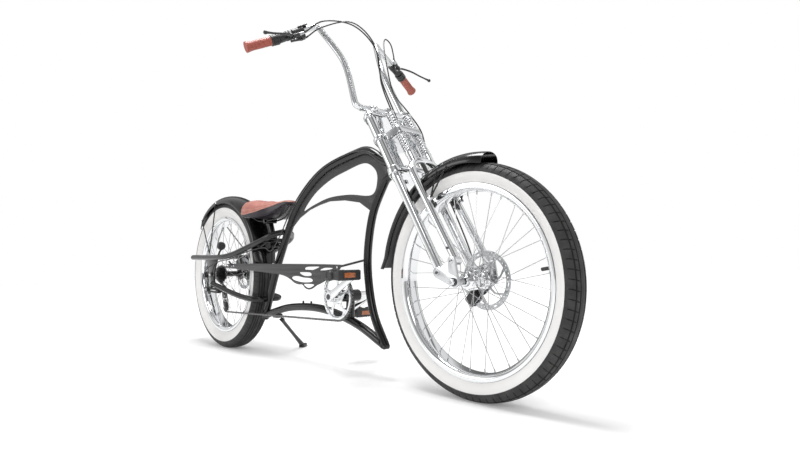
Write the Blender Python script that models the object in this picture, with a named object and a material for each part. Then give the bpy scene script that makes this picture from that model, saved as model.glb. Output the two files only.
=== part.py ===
"""Stretch cruiser bicycle with a springer fork, modelled as its separate pieces.

Units are metres and +Z is up. Places are written in the bicycle's own plan: x runs forward from the
rear axle, y to the rider's left and z up from the floor. An empty named bicycle shifts that plan so
that the origin lies on the floor under the middle of the machine.
"""

import math

import bmesh
import bpy
from mathutils import Matrix, Vector

# Fits and gaps
GAP = 0.0003
RUNNING_GAP = 0.0003

# Wheels
WHEELBASE = 1.612
WHEEL_STEPS = 32
RIM_OUTER_RADIUS = 0.2885
RIM_DEPTH = 0.023
RIM_WALL = 0.002
FRONT_TYRE_RADIUS = 0.349
FRONT_TYRE_HALF_WIDTH = 0.040
FRONT_TREAD_HALF_WIDTH = 0.015
FRONT_RIM_HALF_WIDTH = 0.031
REAR_TYRE_RADIUS = 0.370
REAR_TYRE_HALF_WIDTH = 0.048
REAR_TREAD_HALF_WIDTH = 0.027
REAR_RIM_HALF_WIDTH = 0.038
SPOKE_COUNT = 24
SPOKE_RADIUS = 0.0011
AXLE_RADIUS = 0.006
NUT_RADIUS = 0.0105
SPACER_RADIUS = 0.0095
FRONT_FLANGE_Y = 0.034
FRONT_FLANGE_RADIUS = 0.029
REAR_FLANGE_RIGHT_Y = -0.037
REAR_FLANGE_LEFT_Y = 0.052
REAR_FLANGE_RADIUS = 0.032
HALF_FLANGE = 0.0026
HUB_STEPS = 12

# Disc brakes
ROTOR_THICKNESS = 0.002
ROTOR_BAND = 0.014
ROTOR_HOLES = 8
FRONT_ROTOR_RADIUS = 0.090
FRONT_ROTOR_Y = 0.054
REAR_ROTOR_RADIUS = 0.080
REAR_ROTOR_Y = 0.074
CALIPER_SLOT = 0.0044

# Steering geometry
RAKE = math.radians(30.7)
STEERING_FOOT_X = 1.7300
STEERING_FOOT_Z = -0.0229
LEG_FORWARD = 0.045
LEG_HALF_SPACING = 0.075
LEG_UPPER_RADIUS = 0.017
LEG_LOWER_RADIUS = 0.0145
HOOP_FOOT_FORWARD = 0.1115
HOOP_LEAN = -0.0164
HOOP_HALF_SPACING = 0.070
HOOP_RADIUS = 0.0120
ROCKER_H = 0.4349
LOWER_CROWN_BASE = 0.804
LOWER_CROWN_THICKNESS = 0.024
HEAD_TUBE_LENGTH = 0.117
CROWN_THICKNESS = 0.012
CROWN_SPACING = 0.089
PERCH_DROP = 0.014
PERCH_RISE = 0.0006
BAR_RISE = 0.0446
STEERER_RADIUS = 0.0142
HEAD_TUBE_RADIUS = 0.0235
CROWN_HUB_RADIUS = 0.020
CROWN_EYE_RADIUS = 0.0235
PERCH_RADIUS = 0.0185

# Heights along the steering axis, from the floor end of it
LOWER_CROWN_H = (LOWER_CROWN_BASE, LOWER_CROWN_BASE + LOWER_CROWN_THICKNESS)
MIDDLE_CROWN_LOW = LOWER_CROWN_H[1] + HEAD_TUBE_LENGTH
MIDDLE_CROWN_H = (MIDDLE_CROWN_LOW, MIDDLE_CROWN_LOW + CROWN_THICKNESS)
TOP_CROWN_LOW = MIDDLE_CROWN_H[1] + CROWN_SPACING
TOP_CROWN_H = (TOP_CROWN_LOW, TOP_CROWN_LOW + CROWN_THICKNESS)
PERCH_H = (MIDDLE_CROWN_H[0] - PERCH_DROP, MIDDLE_CROWN_H[1] + PERCH_RISE)

# Fork springs
SPRING_ROD_Y = 0.040
SPRING_ROD_RADIUS = 0.006
ROD_CLEARANCE = 0.0008
SPRING_WIRE_RADIUS = 0.0022
SPRING_MEAN_RADIUS = 0.0127
LOWER_SPRING_LENGTH = 0.079
UPPER_SPRING_LENGTH = 0.0664
SLEEVE_LENGTH = 0.030
LOWER_SPRING_START_H = PERCH_H[0] - LOWER_SPRING_LENGTH
UPPER_SPRING_END_H = PERCH_H[1] + UPPER_SPRING_LENGTH
HOOP_TOP_H = LOWER_SPRING_START_H - SLEEVE_LENGTH
LOWER_SPRING_CURLS = 5
UPPER_SPRING_CURLS = 4
POINTS_PER_CURL = 8

# Rocker and hub area
ROCKER_PLATE_Y = (0.0855, 0.0925)
LUG_OUTER_Y = 0.0852
ROCKER_BOLT_RADIUS = 0.005

# Frame tubes
ARCH_RADIUS = 0.0168
DOWN_TUBE_RADIUS = 0.0145
LOWER_TUBE_RADIUS = 0.0158
STAY_RADIUS = 0.0125
WEB_THICKNESS = 0.005
BRACKET_X = 1.007
BRACKET_Z = 0.287
BRACKET_HALF_WIDTH = 0.036
BRACKET_RADIUS = 0.0215
SPINDLE_RADIUS = 0.0085
DROPOUT_Y = (0.0960, 0.1020)
STAY_END_Y = 0.1040

# Drive
CHAIN_PITCH = 0.0127
CHAIN_Y = -0.060
CHAINRING_TEETH = 44
COG_TEETH = (22, 20, 18, 16, 14)
COG_SPACING = 0.006
DRIVEN_COG_INDEX = 2
PULLEY_TEETH = 11
TOOTH_DEPTH = 0.0032
COG_THICKNESS = 0.0022
CRANK_LENGTH = 0.172
CRANK_ANGLE = math.radians(28.0)
CRANK_ARM_Y = (0.0890, 0.1020)
PEDAL_LENGTH = 0.095
PEDAL_PIN_RADIUS = 0.0055
GUIDE_PULLEY = (0.054, 0.287)
TENSION_PULLEY = (0.078, 0.207)

# Cockpit
BAR_RADIUS = 0.011
GRIP_RADIUS = 0.0160
GRIP_FLARE_RADIUS = 0.0195

# Seat
SEAT_POST_RADIUS = 0.0136
SEAT_SLEEVE_RADIUS = 0.0175
SEAT_POST_FOOT = Vector((0.4515, 0.0, 0.4895))
SEAT_CLAMP = Vector((0.4040, 0.0, 0.6050))

# Kickstand
KICKSTAND_PIVOT = Vector((0.445, 0.036, 0.158))
KICKSTAND_FOOT = Vector((0.300, 0.235, 0.0085))
KICKSTAND_FOLDED = Vector((-0.955, 0.25, 0.16))
KICKSTAND_RADIUS = 0.0065
KICKSTAND_EYE_RADIUS = 0.011

# Cables
CABLE_RADIUS = 0.0025


def wheel_axle_height(radius):
    """Height of an axle whose tyre stands on the flat of one facet, as a loaded tyre stands."""
    return radius * math.cos(math.pi / WHEEL_STEPS)


def running_bore(radius, sides=12):
    """Radius of a faceted bore in which a bar of the given radius turns freely."""
    return (radius + RUNNING_GAP) / math.cos(math.pi / sides)


REAR_AXLE = Vector((0.0, 0.0, wheel_axle_height(REAR_TYRE_RADIUS)))
FRONT_AXLE = Vector((WHEELBASE, 0.0, wheel_axle_height(FRONT_TYRE_RADIUS)))
MIDDLE_X = (WHEELBASE + (FRONT_TYRE_RADIUS - REAR_TYRE_RADIUS) * math.cos(math.pi / WHEEL_STEPS)) / 2
STEERING_UP = Vector((-math.sin(RAKE), 0.0, math.cos(RAKE)))
STEERING_FORWARD = Vector((math.cos(RAKE), 0.0, math.sin(RAKE)))


def fork_point(forward, y, height):
    """A place on the fork: forward of the steering axis, sideways, and along the axis."""
    foot = Vector((STEERING_FOOT_X, y, STEERING_FOOT_Z))
    return foot + forward * STEERING_FORWARD + height * STEERING_UP


def hoop_point(y, height):
    """A place on the sprung hoop's plane, which leans a little back from the steering axis."""
    return fork_point(HOOP_FOOT_FORWARD + HOOP_LEAN * (height - ROCKER_H), y, height)


ROCKER_PIVOT = fork_point(LEG_FORWARD, 0.0, ROCKER_H)
STRUT_PIVOT = hoop_point(0.0, ROCKER_H)

# Finishes: colour, roughness, metallic
BLACK_PAINT = ((0.012, 0.012, 0.013, 1), 0.22, 0.0)
DARK_PAINT = ((0.05, 0.05, 0.052, 1), 0.30, 0.2)
BLACK_PLASTIC = ((0.02, 0.02, 0.02, 1), 0.50, 0.0)
CHROME = ((0.80, 0.81, 0.82, 1), 0.06, 1.0)
SILVER = ((0.62, 0.63, 0.64, 1), 0.28, 1.0)
STEEL = ((0.45, 0.46, 0.47, 1), 0.35, 1.0)
TYRE_RUBBER = ((0.03, 0.03, 0.03, 1), 0.75, 0.0)
GRIP_LEATHER = ((0.50, 0.12, 0.08, 1), 0.55, 0.0)
SADDLE_LEATHER = ((0.55, 0.20, 0.15, 1), 0.50, 0.0)
REFLECTOR = ((0.80, 0.22, 0.02, 1), 0.15, 0.0)


# Scene helpers

def clear_scene():
    """Remove every object that the file holds."""
    for old in list(bpy.data.objects):
        bpy.data.objects.remove(old, do_unlink=True)


def make_finish(name, finish):
    """A Principled material of one colour, roughness and metallic value."""
    colour, roughness, metallic = finish
    material = bpy.data.materials.new(name + "_finish")
    material.use_nodes = True
    shader = material.node_tree.nodes["Principled BSDF"]
    shader.inputs["Base Color"].default_value = colour
    shader.inputs["Roughness"].default_value = roughness
    shader.inputs["Metallic"].default_value = metallic
    return material


def make_body(name, pivot, parent=None):
    """An empty on a moving body's joint axis, placed in the bicycle's plan."""
    body = bpy.data.objects.new(name, None)
    body.empty_display_size = 0.03
    bpy.context.scene.collection.objects.link(body)
    body["pivot"] = list(pivot)
    if parent is None:
        body.location = pivot - Vector((MIDDLE_X, 0.0, 0.0))
    else:
        body.parent = parent
        body.location = pivot - Vector(parent["pivot"])
    return body


def make_piece(name, body, mesh, finish, smooth=40.0):
    """A named piece with its origin on its body's pivot."""
    mesh.transform(Matrix.Translation(-Vector(body["pivot"])))
    mesh.name = name
    piece = bpy.data.objects.new(name, mesh)
    bpy.context.scene.collection.objects.link(piece)
    piece.parent = body
    mesh.materials.clear()
    mesh.materials.append(make_finish(name, finish))
    mesh.shade_smooth()
    mesh.set_sharp_from_angle(angle=math.radians(smooth))
    return piece


def mesh_from(bm):
    """Close a bmesh into a mesh whose faces point outwards."""
    bmesh.ops.remove_doubles(bm, verts=bm.verts, dist=1e-7)
    bmesh.ops.recalc_face_normals(bm, faces=bm.faces)
    mesh = bpy.data.meshes.new("shape")
    bm.to_mesh(mesh)
    bm.free()
    return mesh


# Shape helpers: each gives a closed mesh in the bicycle's plan

def rod(start, end, radius, sides=10, end_radius=None):
    """A round bar, or a cone where the far radius differs."""
    start, end = Vector(start), Vector(end)
    along = end - start
    bm = bmesh.new()
    bmesh.ops.create_cone(
        bm, cap_ends=True, segments=sides, radius1=radius,
        radius2=radius if end_radius is None else end_radius, depth=along.length,
        matrix=Matrix.Translation((start + end) / 2) @ along.to_track_quat("Z", "Y").to_matrix().to_4x4(),
    )
    return mesh_from(bm)


def cross_rod(x, z, low, high, radius, sides=12):
    """A bar square to the bicycle's plane, from one y to another."""
    return rod((x, low, z), (x, high, z), radius, sides)


def ball(centre, radius, squash=(1.0, 1.0, 1.0), rings=6, sides=10):
    """A ball, or an egg where the sides are scaled."""
    bm = bmesh.new()
    bmesh.ops.create_uvsphere(
        bm, u_segments=sides, v_segments=rings, radius=radius,
        matrix=Matrix.Translation(centre) @ Matrix.Diagonal((*squash, 1.0)),
    )
    return mesh_from(bm)


def block(centre, size, turn=0.0, bevel=0.0):
    """A rectangular block, turned about Y, with its edges cut back by the bevel."""
    bm = bmesh.new()
    bmesh.ops.create_cube(bm, size=1.0, matrix=Matrix.Diagonal((*size, 1.0)))
    if bevel:
        bmesh.ops.bevel(bm, geom=bm.edges[:], offset=bevel, segments=1, affect="EDGES")
    bmesh.ops.transform(
        bm, verts=bm.verts, matrix=Matrix.Translation(centre) @ Matrix.Rotation(turn, 4, "Y")
    )
    return mesh_from(bm)


def smooth_path(points, steps, closed=False):
    """Points along a Catmull-Rom curve through the given points, with that many steps to a span."""
    knots = [Vector(p) for p in points]
    count = len(knots)
    path = []
    for i in range(count if closed else count - 1):
        if closed:
            a, b, c, d = (knots[(i + k) % count] for k in (-1, 0, 1, 2))
        else:
            b, c = knots[i], knots[i + 1]
            a = knots[i - 1] if i else b * 2 - c
            d = knots[i + 2] if i + 2 < count else c * 2 - b
        for step in range(steps):
            t = step / steps
            path.append(0.5 * (2 * b + (c - a) * t + (2 * a - 5 * b + 4 * c - d) * t ** 2
                               + (3 * b - a - 3 * c + d) * t ** 3))
    if not closed:
        path.append(knots[-1])
    return path


def tube(path, radius, resolution=3):
    """A bar bent along a path. It has 4 sides and 2 more for each step of resolution."""
    curve = bpy.data.curves.new("route", "CURVE")
    curve.dimensions = "3D"
    curve.bevel_depth = radius
    curve.bevel_resolution = resolution
    curve.use_fill_caps = True
    spline = curve.splines.new("POLY")
    spline.points.add(len(path) - 1)
    for point, place in zip(spline.points, path):
        point.co = (*place, 1.0)
    carrier = bpy.data.objects.new("route", curve)
    bpy.context.scene.collection.objects.link(carrier)
    graph = bpy.context.evaluated_depsgraph_get()
    mesh = bpy.data.meshes.new_from_object(carrier.evaluated_get(graph), depsgraph=graph)
    bpy.data.objects.remove(carrier)
    bm = bmesh.new()
    bm.from_mesh(mesh)
    bmesh.ops.remove_doubles(bm, verts=bm.verts, dist=1e-5)
    return mesh_from(bm)


def loft(rings, closed=False):
    """A skin over rings of equal count, capped at both ends unless it closes on itself."""
    bm = bmesh.new()
    rows = [[bm.verts.new(p) for p in ring] for ring in rings]
    pairs = list(zip(rows, rows[1:]))
    if closed:
        pairs.append((rows[-1], rows[0]))
    for near, far in pairs:
        for i in range(len(near)):
            j = (i + 1) % len(near)
            bm.faces.new((near[i], near[j], far[j], far[i]))
    if not closed:
        bm.faces.new(rows[0])
        bm.faces.new(rows[-1])
    return mesh_from(bm)


def turned(profile, centre, steps=WHEEL_STEPS):
    """A ring spun about the Y axis through a centre, from a closed outline of (radius, y) pairs."""
    rings = []
    for step in range(steps):
        angle = 2 * math.pi * (step + 0.5) / steps - math.pi / 2
        rings.append([
            (centre[0] + r * math.cos(angle), centre[1] + y, centre[2] + r * math.sin(angle))
            for r, y in profile
        ])
    return loft(rings, closed=True)


def slab(outline, low, high, matrix):
    """A flat plate with the outline in a frame's own X and Y, from low to high along its Z."""
    bm = bmesh.new()
    face = bm.faces.new([bm.verts.new((p[0], p[1], low)) for p in outline])
    grown = bmesh.ops.extrude_face_region(bm, geom=[face])["geom"]
    top = [v for v in grown if isinstance(v, bmesh.types.BMVert)]
    bmesh.ops.translate(bm, verts=top, vec=(0.0, 0.0, high - low))
    bmesh.ops.transform(bm, verts=bm.verts, matrix=matrix)
    return mesh_from(bm)


SIDE_VIEW = Matrix(((1, 0, 0, 0), (0, 0, 1, 0), (0, 1, 0, 0), (0, 0, 0, 1)))


def side_plate(outline, low, high):
    """A plate drawn in x and z, from one y to another."""
    return slab(outline, low, high, SIDE_VIEW)


def fork_matrix():
    """The fork's frame: X forward of the steering axis, Y to the left, Z up along the axis."""
    rotation = Matrix((STEERING_FORWARD, (0.0, 1.0, 0.0), STEERING_UP)).transposed()
    return Matrix.Translation((STEERING_FOOT_X, 0.0, STEERING_FOOT_Z)) @ rotation.to_4x4()


def circle(centre, radius, sides=12, turn=0.0):
    """Points round a circle in a plane."""
    return [
        (centre[0] + radius * math.cos(2 * math.pi * i / sides + turn),
         centre[1] + radius * math.sin(2 * math.pi * i / sides + turn))
        for i in range(sides)
    ]


def hull_outline(circles, sides=16):
    """The belt round some (centre, radius) circles, as an outline in order."""
    points = sorted({p for centre, radius in circles for p in circle(centre, radius, sides)})

    def half(sequence):
        chain = []
        for p in sequence:
            while len(chain) > 1:
                ax, ay = chain[-1][0] - chain[-2][0], chain[-1][1] - chain[-2][1]
                bx, by = p[0] - chain[-1][0], p[1] - chain[-1][1]
                if ax * by - ay * bx > 1e-9:
                    break
                chain.pop()
            chain.append(p)
        return chain[:-1]

    return half(points) + half(points[::-1])


def stadium(start, end, radius, sides=10):
    """A slot's outline: a straight run with round ends."""
    return hull_outline([(start, radius), (end, radius)], sides)


def combined(operation, base, others):
    """Join other meshes to a base, or cut them from it, with exact Booleans."""
    carrier = bpy.data.objects.new("base", base)
    bpy.context.scene.collection.objects.link(carrier)
    helpers = []
    for i, other in enumerate(others):
        helper = bpy.data.objects.new(f"helper_{i}", other)
        bpy.context.scene.collection.objects.link(helper)
        helpers.append(helper)
        modifier = carrier.modifiers.new(f"step_{i}", "BOOLEAN")
        modifier.operation = operation
        modifier.solver = "EXACT"
        modifier.object = helper
    bpy.context.view_layer.update()
    graph = bpy.context.evaluated_depsgraph_get()
    mesh = bpy.data.meshes.new_from_object(carrier.evaluated_get(graph), depsgraph=graph)
    for helper in [carrier, *helpers]:
        bpy.data.objects.remove(helper)
    return mesh


def fused(base, *others):
    """One mesh from several that overlap."""
    return combined("UNION", base, others)


def cut(base, *others):
    """A mesh with others taken away."""
    return combined("DIFFERENCE", base, others)


def mirrored(point):
    """The same place on the other side of the bicycle."""
    return Vector((point[0], -point[1], point[2]))


def on_side(points, side):
    """Points given for the left side, moved to the asked one: 1 is left and -1 is right."""
    return [Vector((p[0], p[1] * side, p[2])) for p in points]


# Wheels

def tyre_profile(outer, half_width, tread_half_width, rim_half_width):
    """Half of a balloon tyre's section mirrored: bead in the rim, bulging wall and flat crown."""
    bead_y = rim_half_width - RIM_WALL - GAP
    bead_r = RIM_OUTER_RADIUS - RIM_DEPTH + RIM_WALL + GAP
    height = outer - RIM_OUTER_RADIUS
    half = [
        (bead_r, bead_y),
        (RIM_OUTER_RADIUS + 0.0005, bead_y),
        (RIM_OUTER_RADIUS + 0.50 * height, half_width),
        (outer, tread_half_width),
    ]
    return half + [(r, -y) for r, y in reversed(half)]


def rim_profile(half_width):
    """A drop-centre rim's section: two side walls and a floor, open outwards."""
    floor = RIM_OUTER_RADIUS - RIM_DEPTH
    ring = [(floor + RIM_WALL, half_width - RIM_WALL), (RIM_OUTER_RADIUS, half_width - RIM_WALL / 2),
            (floor, half_width)]
    return ring + [(r, -y) for r, y in reversed(ring)]


def hub_profile(right_flange, left_flange, right_end, left_end, flange_radius, bore, barrel=0.016):
    """A hub shell's section with two flanges and a through bore."""
    return [
        (bore, right_end), (barrel, right_end),
        (flange_radius, right_flange - HALF_FLANGE), (flange_radius, right_flange + HALF_FLANGE),
        (barrel, right_flange + 0.007), (barrel, left_flange - 0.007),
        (flange_radius, left_flange - HALF_FLANGE), (flange_radius, left_flange + HALF_FLANGE),
        (barrel, left_end), (bore, left_end),
    ]


def laced_hub(axle, shell, flanges, flange_radius):
    """A hub with its crossed spokes, each ending just under the rim."""
    reach = RIM_OUTER_RADIUS - RIM_DEPTH - GAP
    spokes = []
    for i in range(SPOKE_COUNT):
        side = i % 2
        lead = 1 if (i // 2) % 2 else -1
        rim_angle = 2 * math.pi * (i + 0.5) / SPOKE_COUNT
        hub_angle = rim_angle + lead * math.radians(62.0)
        flange_y = flanges[side] + lead * 0.0012
        root = flange_radius - 0.005
        start = Vector((root * math.cos(hub_angle), flange_y, root * math.sin(hub_angle)))
        aim_y = 0.006 if flange_y > 0 else -0.006
        end = Vector((reach * math.cos(rim_angle), aim_y, reach * math.sin(rim_angle)))
        end -= (end - start).normalized() * 0.0012
        spokes.append(rod(axle + start, axle + end, SPOKE_RADIUS, 3))
    return fused(shell, *spokes)


def rotor(axle, y, radius, bore):
    """A brake disc: a drilled band on six swept arms."""
    inner = radius - ROTOR_BAND
    middle = (axle.x, axle.z)
    low, high = y - ROTOR_THICKNESS / 2, y + ROTOR_THICKNESS / 2
    disc = side_plate(circle(middle, radius, 24), low, high)
    windows = []
    for i in range(5):
        start = 2 * math.pi * i / 5
        swept = [(0.022, 0.10), (0.022, 1.00), (inner, 1.45), (inner, 0.57)]
        windows.append(side_plate(
            [(middle[0] + r * math.cos(start + a), middle[1] + r * math.sin(start + a)) for r, a in swept],
            low - 0.01, high + 0.01))
    holes = []
    for i in range(ROTOR_HOLES):
        angle = 2 * math.pi * (i + 0.5) / ROTOR_HOLES
        mid = radius - ROTOR_BAND / 2
        holes.append(cross_rod(middle[0] + mid * math.cos(angle), middle[1] + mid * math.sin(angle),
                               low - 0.01, high + 0.01, 0.0026, 4))
    return cut(disc, cross_rod(*middle, low - 0.01, high + 0.01, bore, 8), *windows, *holes)


def axle_bar(place, half_length, plate_y, spacer_y):
    """A hexagonal stepped axle with a nut outside each plate and a spacer inside it."""
    profile = [(AXLE_RADIUS, -half_length)]
    for side, order in ((-1, 1), (1, -1)):
        steps = [(AXLE_RADIUS, plate_y[1] + 0.008), (NUT_RADIUS, plate_y[1] + 0.008),
                 (NUT_RADIUS, plate_y[1] + GAP), (AXLE_RADIUS, plate_y[1] + GAP),
                 (AXLE_RADIUS, plate_y[0] - GAP), (SPACER_RADIUS, plate_y[0] - GAP),
                 (SPACER_RADIUS, spacer_y[side]), (AXLE_RADIUS, spacer_y[side])]
        profile += [(radius, side * y) for radius, y in steps[::order]]
    profile.append((AXLE_RADIUS, half_length))
    rings = [[(place.x + radius * math.cos(math.pi * k / 3), y, place.z + radius * math.sin(math.pi * k / 3))
              for k in range(6)] for radius, y in profile]
    return loft(rings)


def build_front_wheel(body):
    """Tyre, rim, laced hub and brake disc of the front wheel."""
    make_piece("front_tyre", body, turned(tyre_profile(
        FRONT_TYRE_RADIUS, FRONT_TYRE_HALF_WIDTH, FRONT_TREAD_HALF_WIDTH, FRONT_RIM_HALF_WIDTH),
        FRONT_AXLE), TYRE_RUBBER)
    make_piece("front_rim", body, turned(rim_profile(FRONT_RIM_HALF_WIDTH), FRONT_AXLE), CHROME)
    end = FRONT_ROTOR_Y - ROTOR_THICKNESS / 2 - GAP
    shell = turned(hub_profile(-FRONT_FLANGE_Y, FRONT_FLANGE_Y, -0.050, end, FRONT_FLANGE_RADIUS,
                               AXLE_RADIUS + RUNNING_GAP), FRONT_AXLE, HUB_STEPS)
    make_piece("front_hub", body, laced_hub(FRONT_AXLE, shell, (-FRONT_FLANGE_Y, FRONT_FLANGE_Y),
                                            FRONT_FLANGE_RADIUS), CHROME)
    make_piece("front_rotor", body, rotor(FRONT_AXLE, FRONT_ROTOR_Y, FRONT_ROTOR_RADIUS, 0.0125), STEEL)


def build_rear_wheel(body):
    """Tyre, rim, laced hub and brake disc of the rear wheel."""
    make_piece("rear_tyre", body, turned(tyre_profile(
        REAR_TYRE_RADIUS, REAR_TYRE_HALF_WIDTH, REAR_TREAD_HALF_WIDTH, REAR_RIM_HALF_WIDTH),
        REAR_AXLE), TYRE_RUBBER)
    make_piece("rear_rim", body, turned(rim_profile(REAR_RIM_HALF_WIDTH), REAR_AXLE), CHROME)
    end = REAR_ROTOR_Y - ROTOR_THICKNESS / 2 - GAP
    shell = turned(hub_profile(REAR_FLANGE_RIGHT_Y, REAR_FLANGE_LEFT_Y, -0.0425, end, REAR_FLANGE_RADIUS,
                               AXLE_RADIUS + RUNNING_GAP), REAR_AXLE, HUB_STEPS)
    make_piece("rear_hub", body, laced_hub(REAR_AXLE, shell, (REAR_FLANGE_RIGHT_Y, REAR_FLANGE_LEFT_Y),
                                           REAR_FLANGE_RADIUS), BLACK_PAINT)
    make_piece("rear_rotor", body, rotor(REAR_AXLE, REAR_ROTOR_Y, REAR_ROTOR_RADIUS, 0.0125), STEEL)


# Frame

HEAD_JOINT = ((-0.0515, 0.162), (-0.040, 0.113), (-0.020, 0.091), (0.0, 0.072))
DOWN_JOINT_RISE = 0.025
ARCH_POINTS = ((1.130, 0.8145), (1.045, 0.8155), (0.870, 0.7872), (0.741, 0.7255), (0.630, 0.6385),
               (0.539, 0.514), (0.449, 0.361), (0.374, 0.205), (0.355, 0.166))
DOWN_POINTS = ((1.236, 0.704), (1.203, 0.672), (1.146, 0.580), (1.115, 0.455), (1.115, 0.345),
               (1.143, 0.222), (1.202, 0.120))
LOWER_POINTS = ((0.365, 0.1775), (0.445, 0.1985), (0.574, 0.223), (0.740, 0.2315), (0.885, 0.220),
                (1.050, 0.181), (1.195, 0.1215))
FRAME_TIP = (1.2035, 0.1175)
WEB_HOLE = ((0.691, 0.632), (0.771, 0.694), (0.880, 0.738), (0.981, 0.759), (1.100, 0.774),
            (1.163, 0.744), (1.176, 0.700), (1.143, 0.652), (1.012, 0.667), (0.881, 0.669), (0.770, 0.650))
WEB_LOWER_EDGE = ((1.140, 0.592), (1.072, 0.631), (0.980, 0.648), (0.881, 0.654), (0.811, 0.646),
                  (0.737, 0.632), (0.660, 0.604), (0.600, 0.566))


def plan(points, y=0.0):
    """Pairs of x and z as places in the bicycle's plane."""
    return [Vector((x, y, z)) for x, z in points]


def arch_path():
    """The arch tube's centre line, from the head tube to the frame's rear bottom corner."""
    joint = [fork_point(forward, 0.0, LOWER_CROWN_H[1] + rise) for forward, rise in HEAD_JOINT]
    return joint[:0:-1] + smooth_path([joint[0], *plan(ARCH_POINTS)], 2)


def down_path():
    """The down tube's centre line, from the head tube to the frame's front tip."""
    return [fork_point(0.0, 0.0, LOWER_CROWN_H[1] + DOWN_JOINT_RISE), *plan(DOWN_POINTS)]


def web_plate():
    """The flat web under the arch, behind the head tube, with its long window."""
    top = [(p.x, p.z) for p in arch_path() if 0.60 < p.x < 1.25]
    outline = top[::-1] + [(1.272, 0.712), (1.203, 0.672), (1.156, 0.610), *WEB_LOWER_EDGE]
    half = WEB_THICKNESS / 2
    return cut(side_plate(outline, -half, half), side_plate(WEB_HOLE, -0.05, 0.05))


def kickstand_axis():
    """The stand's slanted pivot axis, square to the leg both down and folded."""
    return (KICKSTAND_FOOT - KICKSTAND_PIVOT).cross(KICKSTAND_FOLDED).normalized()


def build_main_frame(body):
    """Head tube, arch, down tube, lower tube, bottom bracket, web and kickstand bracket, welded."""
    arch = tube(arch_path(), ARCH_RADIUS, 2)
    down = tube(down_path(), DOWN_TUBE_RADIUS, 2)
    lower = tube(plan(LOWER_POINTS), LOWER_TUBE_RADIUS, 2)
    head = rod(fork_point(0, 0, LOWER_CROWN_H[1] + GAP), fork_point(0, 0, MIDDLE_CROWN_H[0] - GAP),
               HEAD_TUBE_RADIUS, 12)
    cups = [rod(fork_point(0, 0, low), fork_point(0, 0, high), HEAD_TUBE_RADIUS + 0.003, 12)
            for low, high in ((LOWER_CROWN_H[1] + GAP, LOWER_CROWN_H[1] + 0.010),
                              (MIDDLE_CROWN_H[0] - 0.010, MIDDLE_CROWN_H[0] - GAP))]
    tip = cross_rod(*FRAME_TIP, -0.0125, 0.0125, 0.0105, 10)
    shell = cross_rod(BRACKET_X, BRACKET_Z, -BRACKET_HALF_WIDTH, BRACKET_HALF_WIDTH, BRACKET_RADIUS, 14)
    post = rod((BRACKET_X - 0.006, 0, 0.200), (BRACKET_X, 0, BRACKET_Z), 0.0165, 10)
    studs = [rod((x, 0, 0.240), (x, 0, 0.256), 0.004, 6) for x in (0.680, 0.740)]
    stand = cut(block((KICKSTAND_PIVOT.x, 0.014, 0.176), (0.040, 0.034, 0.026), 0.0, 0.003),
                rod(KICKSTAND_PIVOT - kickstand_axis() * 0.03, KICKSTAND_PIVOT + kickstand_axis() * 0.03,
                    running_bore(KICKSTAND_EYE_RADIUS), 12))
    bores = [
        rod(fork_point(0, 0, LOWER_CROWN_H[0] - 0.014), fork_point(0, 0, MIDDLE_CROWN_H[1] + 0.023),
            running_bore(STEERER_RADIUS), 12),
        cross_rod(BRACKET_X, BRACKET_Z, -0.05, 0.05, running_bore(SPINDLE_RADIUS), 12),
    ]
    solid = fused(arch, down, lower, tip, head, *cups, shell, post, stand, *studs, web_plate())
    make_piece("main_frame", body, cut(solid, *bores), BLACK_PAINT)


UPPER_STAY = ((0.552, 0.012, 0.552), (0.510, 0.048, 0.540), (0.458, 0.068, 0.519), (0.330, 0.083, 0.487),
              (0.200, 0.096, 0.459), (0.080, STAY_END_Y, 0.451),
              (-0.225, STAY_END_Y, 0.457))
LOWER_STAY = ((0.396, 0.014, 0.254), (0.388, 0.046, 0.254), (0.355, 0.070, 0.257), (0.290, 0.080, 0.264),
              (0.200, 0.088, 0.280), (0.110, 0.097, 0.301), (0.018, STAY_END_Y, 0.322))
DROPOUT_OUTLINE = ((-0.064, 0.455), (0.060, 0.455), (0.047, 0.405), (0.032, 0.372), (0.036, 0.325),
                   (0.020, 0.306), (-0.008, 0.312), (-0.024, 0.350), (-0.040, 0.406), (-0.058, 0.424))


HANGER_HOLE = (-0.010, 0.294)


def seat_axis():
    """The direction of the seat post, upwards."""
    return (SEAT_CLAMP - SEAT_POST_FOOT).normalized()


def build_rear_stays(body):
    """Both pairs of stays with the dropout plates, seat sleeve and its bridge, welded."""
    parts = []
    for side in (1, -1):
        parts.append(tube(on_side(UPPER_STAY, side), STAY_RADIUS, 2))
        parts.append(tube(on_side(LOWER_STAY, side), STAY_RADIUS, 2))
        parts.append(side_plate(DROPOUT_OUTLINE, *sorted((side * DROPOUT_Y[0], side * DROPOUT_Y[1]))))
    hanger = side_plate(stadium((-0.002, 0.322), HANGER_HOLE, 0.010), -DROPOUT_Y[1], -DROPOUT_Y[0])
    bridge = cross_rod(0.462, 0.517, -0.066, 0.066, 0.010, 8)
    low = SEAT_POST_FOOT - seat_axis() * 0.008
    sleeve = rod(low, low + seat_axis() * 0.072, SEAT_SLEEVE_RADIUS, 12)
    solid = fused(parts[0], *parts[1:], hanger, bridge, sleeve)
    arch = tube(arch_path(), ARCH_RADIUS + 2 * GAP, 2)
    bores = [
        arch,
        rod(low - seat_axis() * 0.01, low + seat_axis() * 0.1, SEAT_POST_RADIUS + GAP, 12),
        cross_rod(REAR_AXLE.x, REAR_AXLE.z, -0.2, 0.2, AXLE_RADIUS + GAP, 12),
    ]
    make_piece("rear_stays", body, cut(solid, *bores), BLACK_PAINT)


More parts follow.
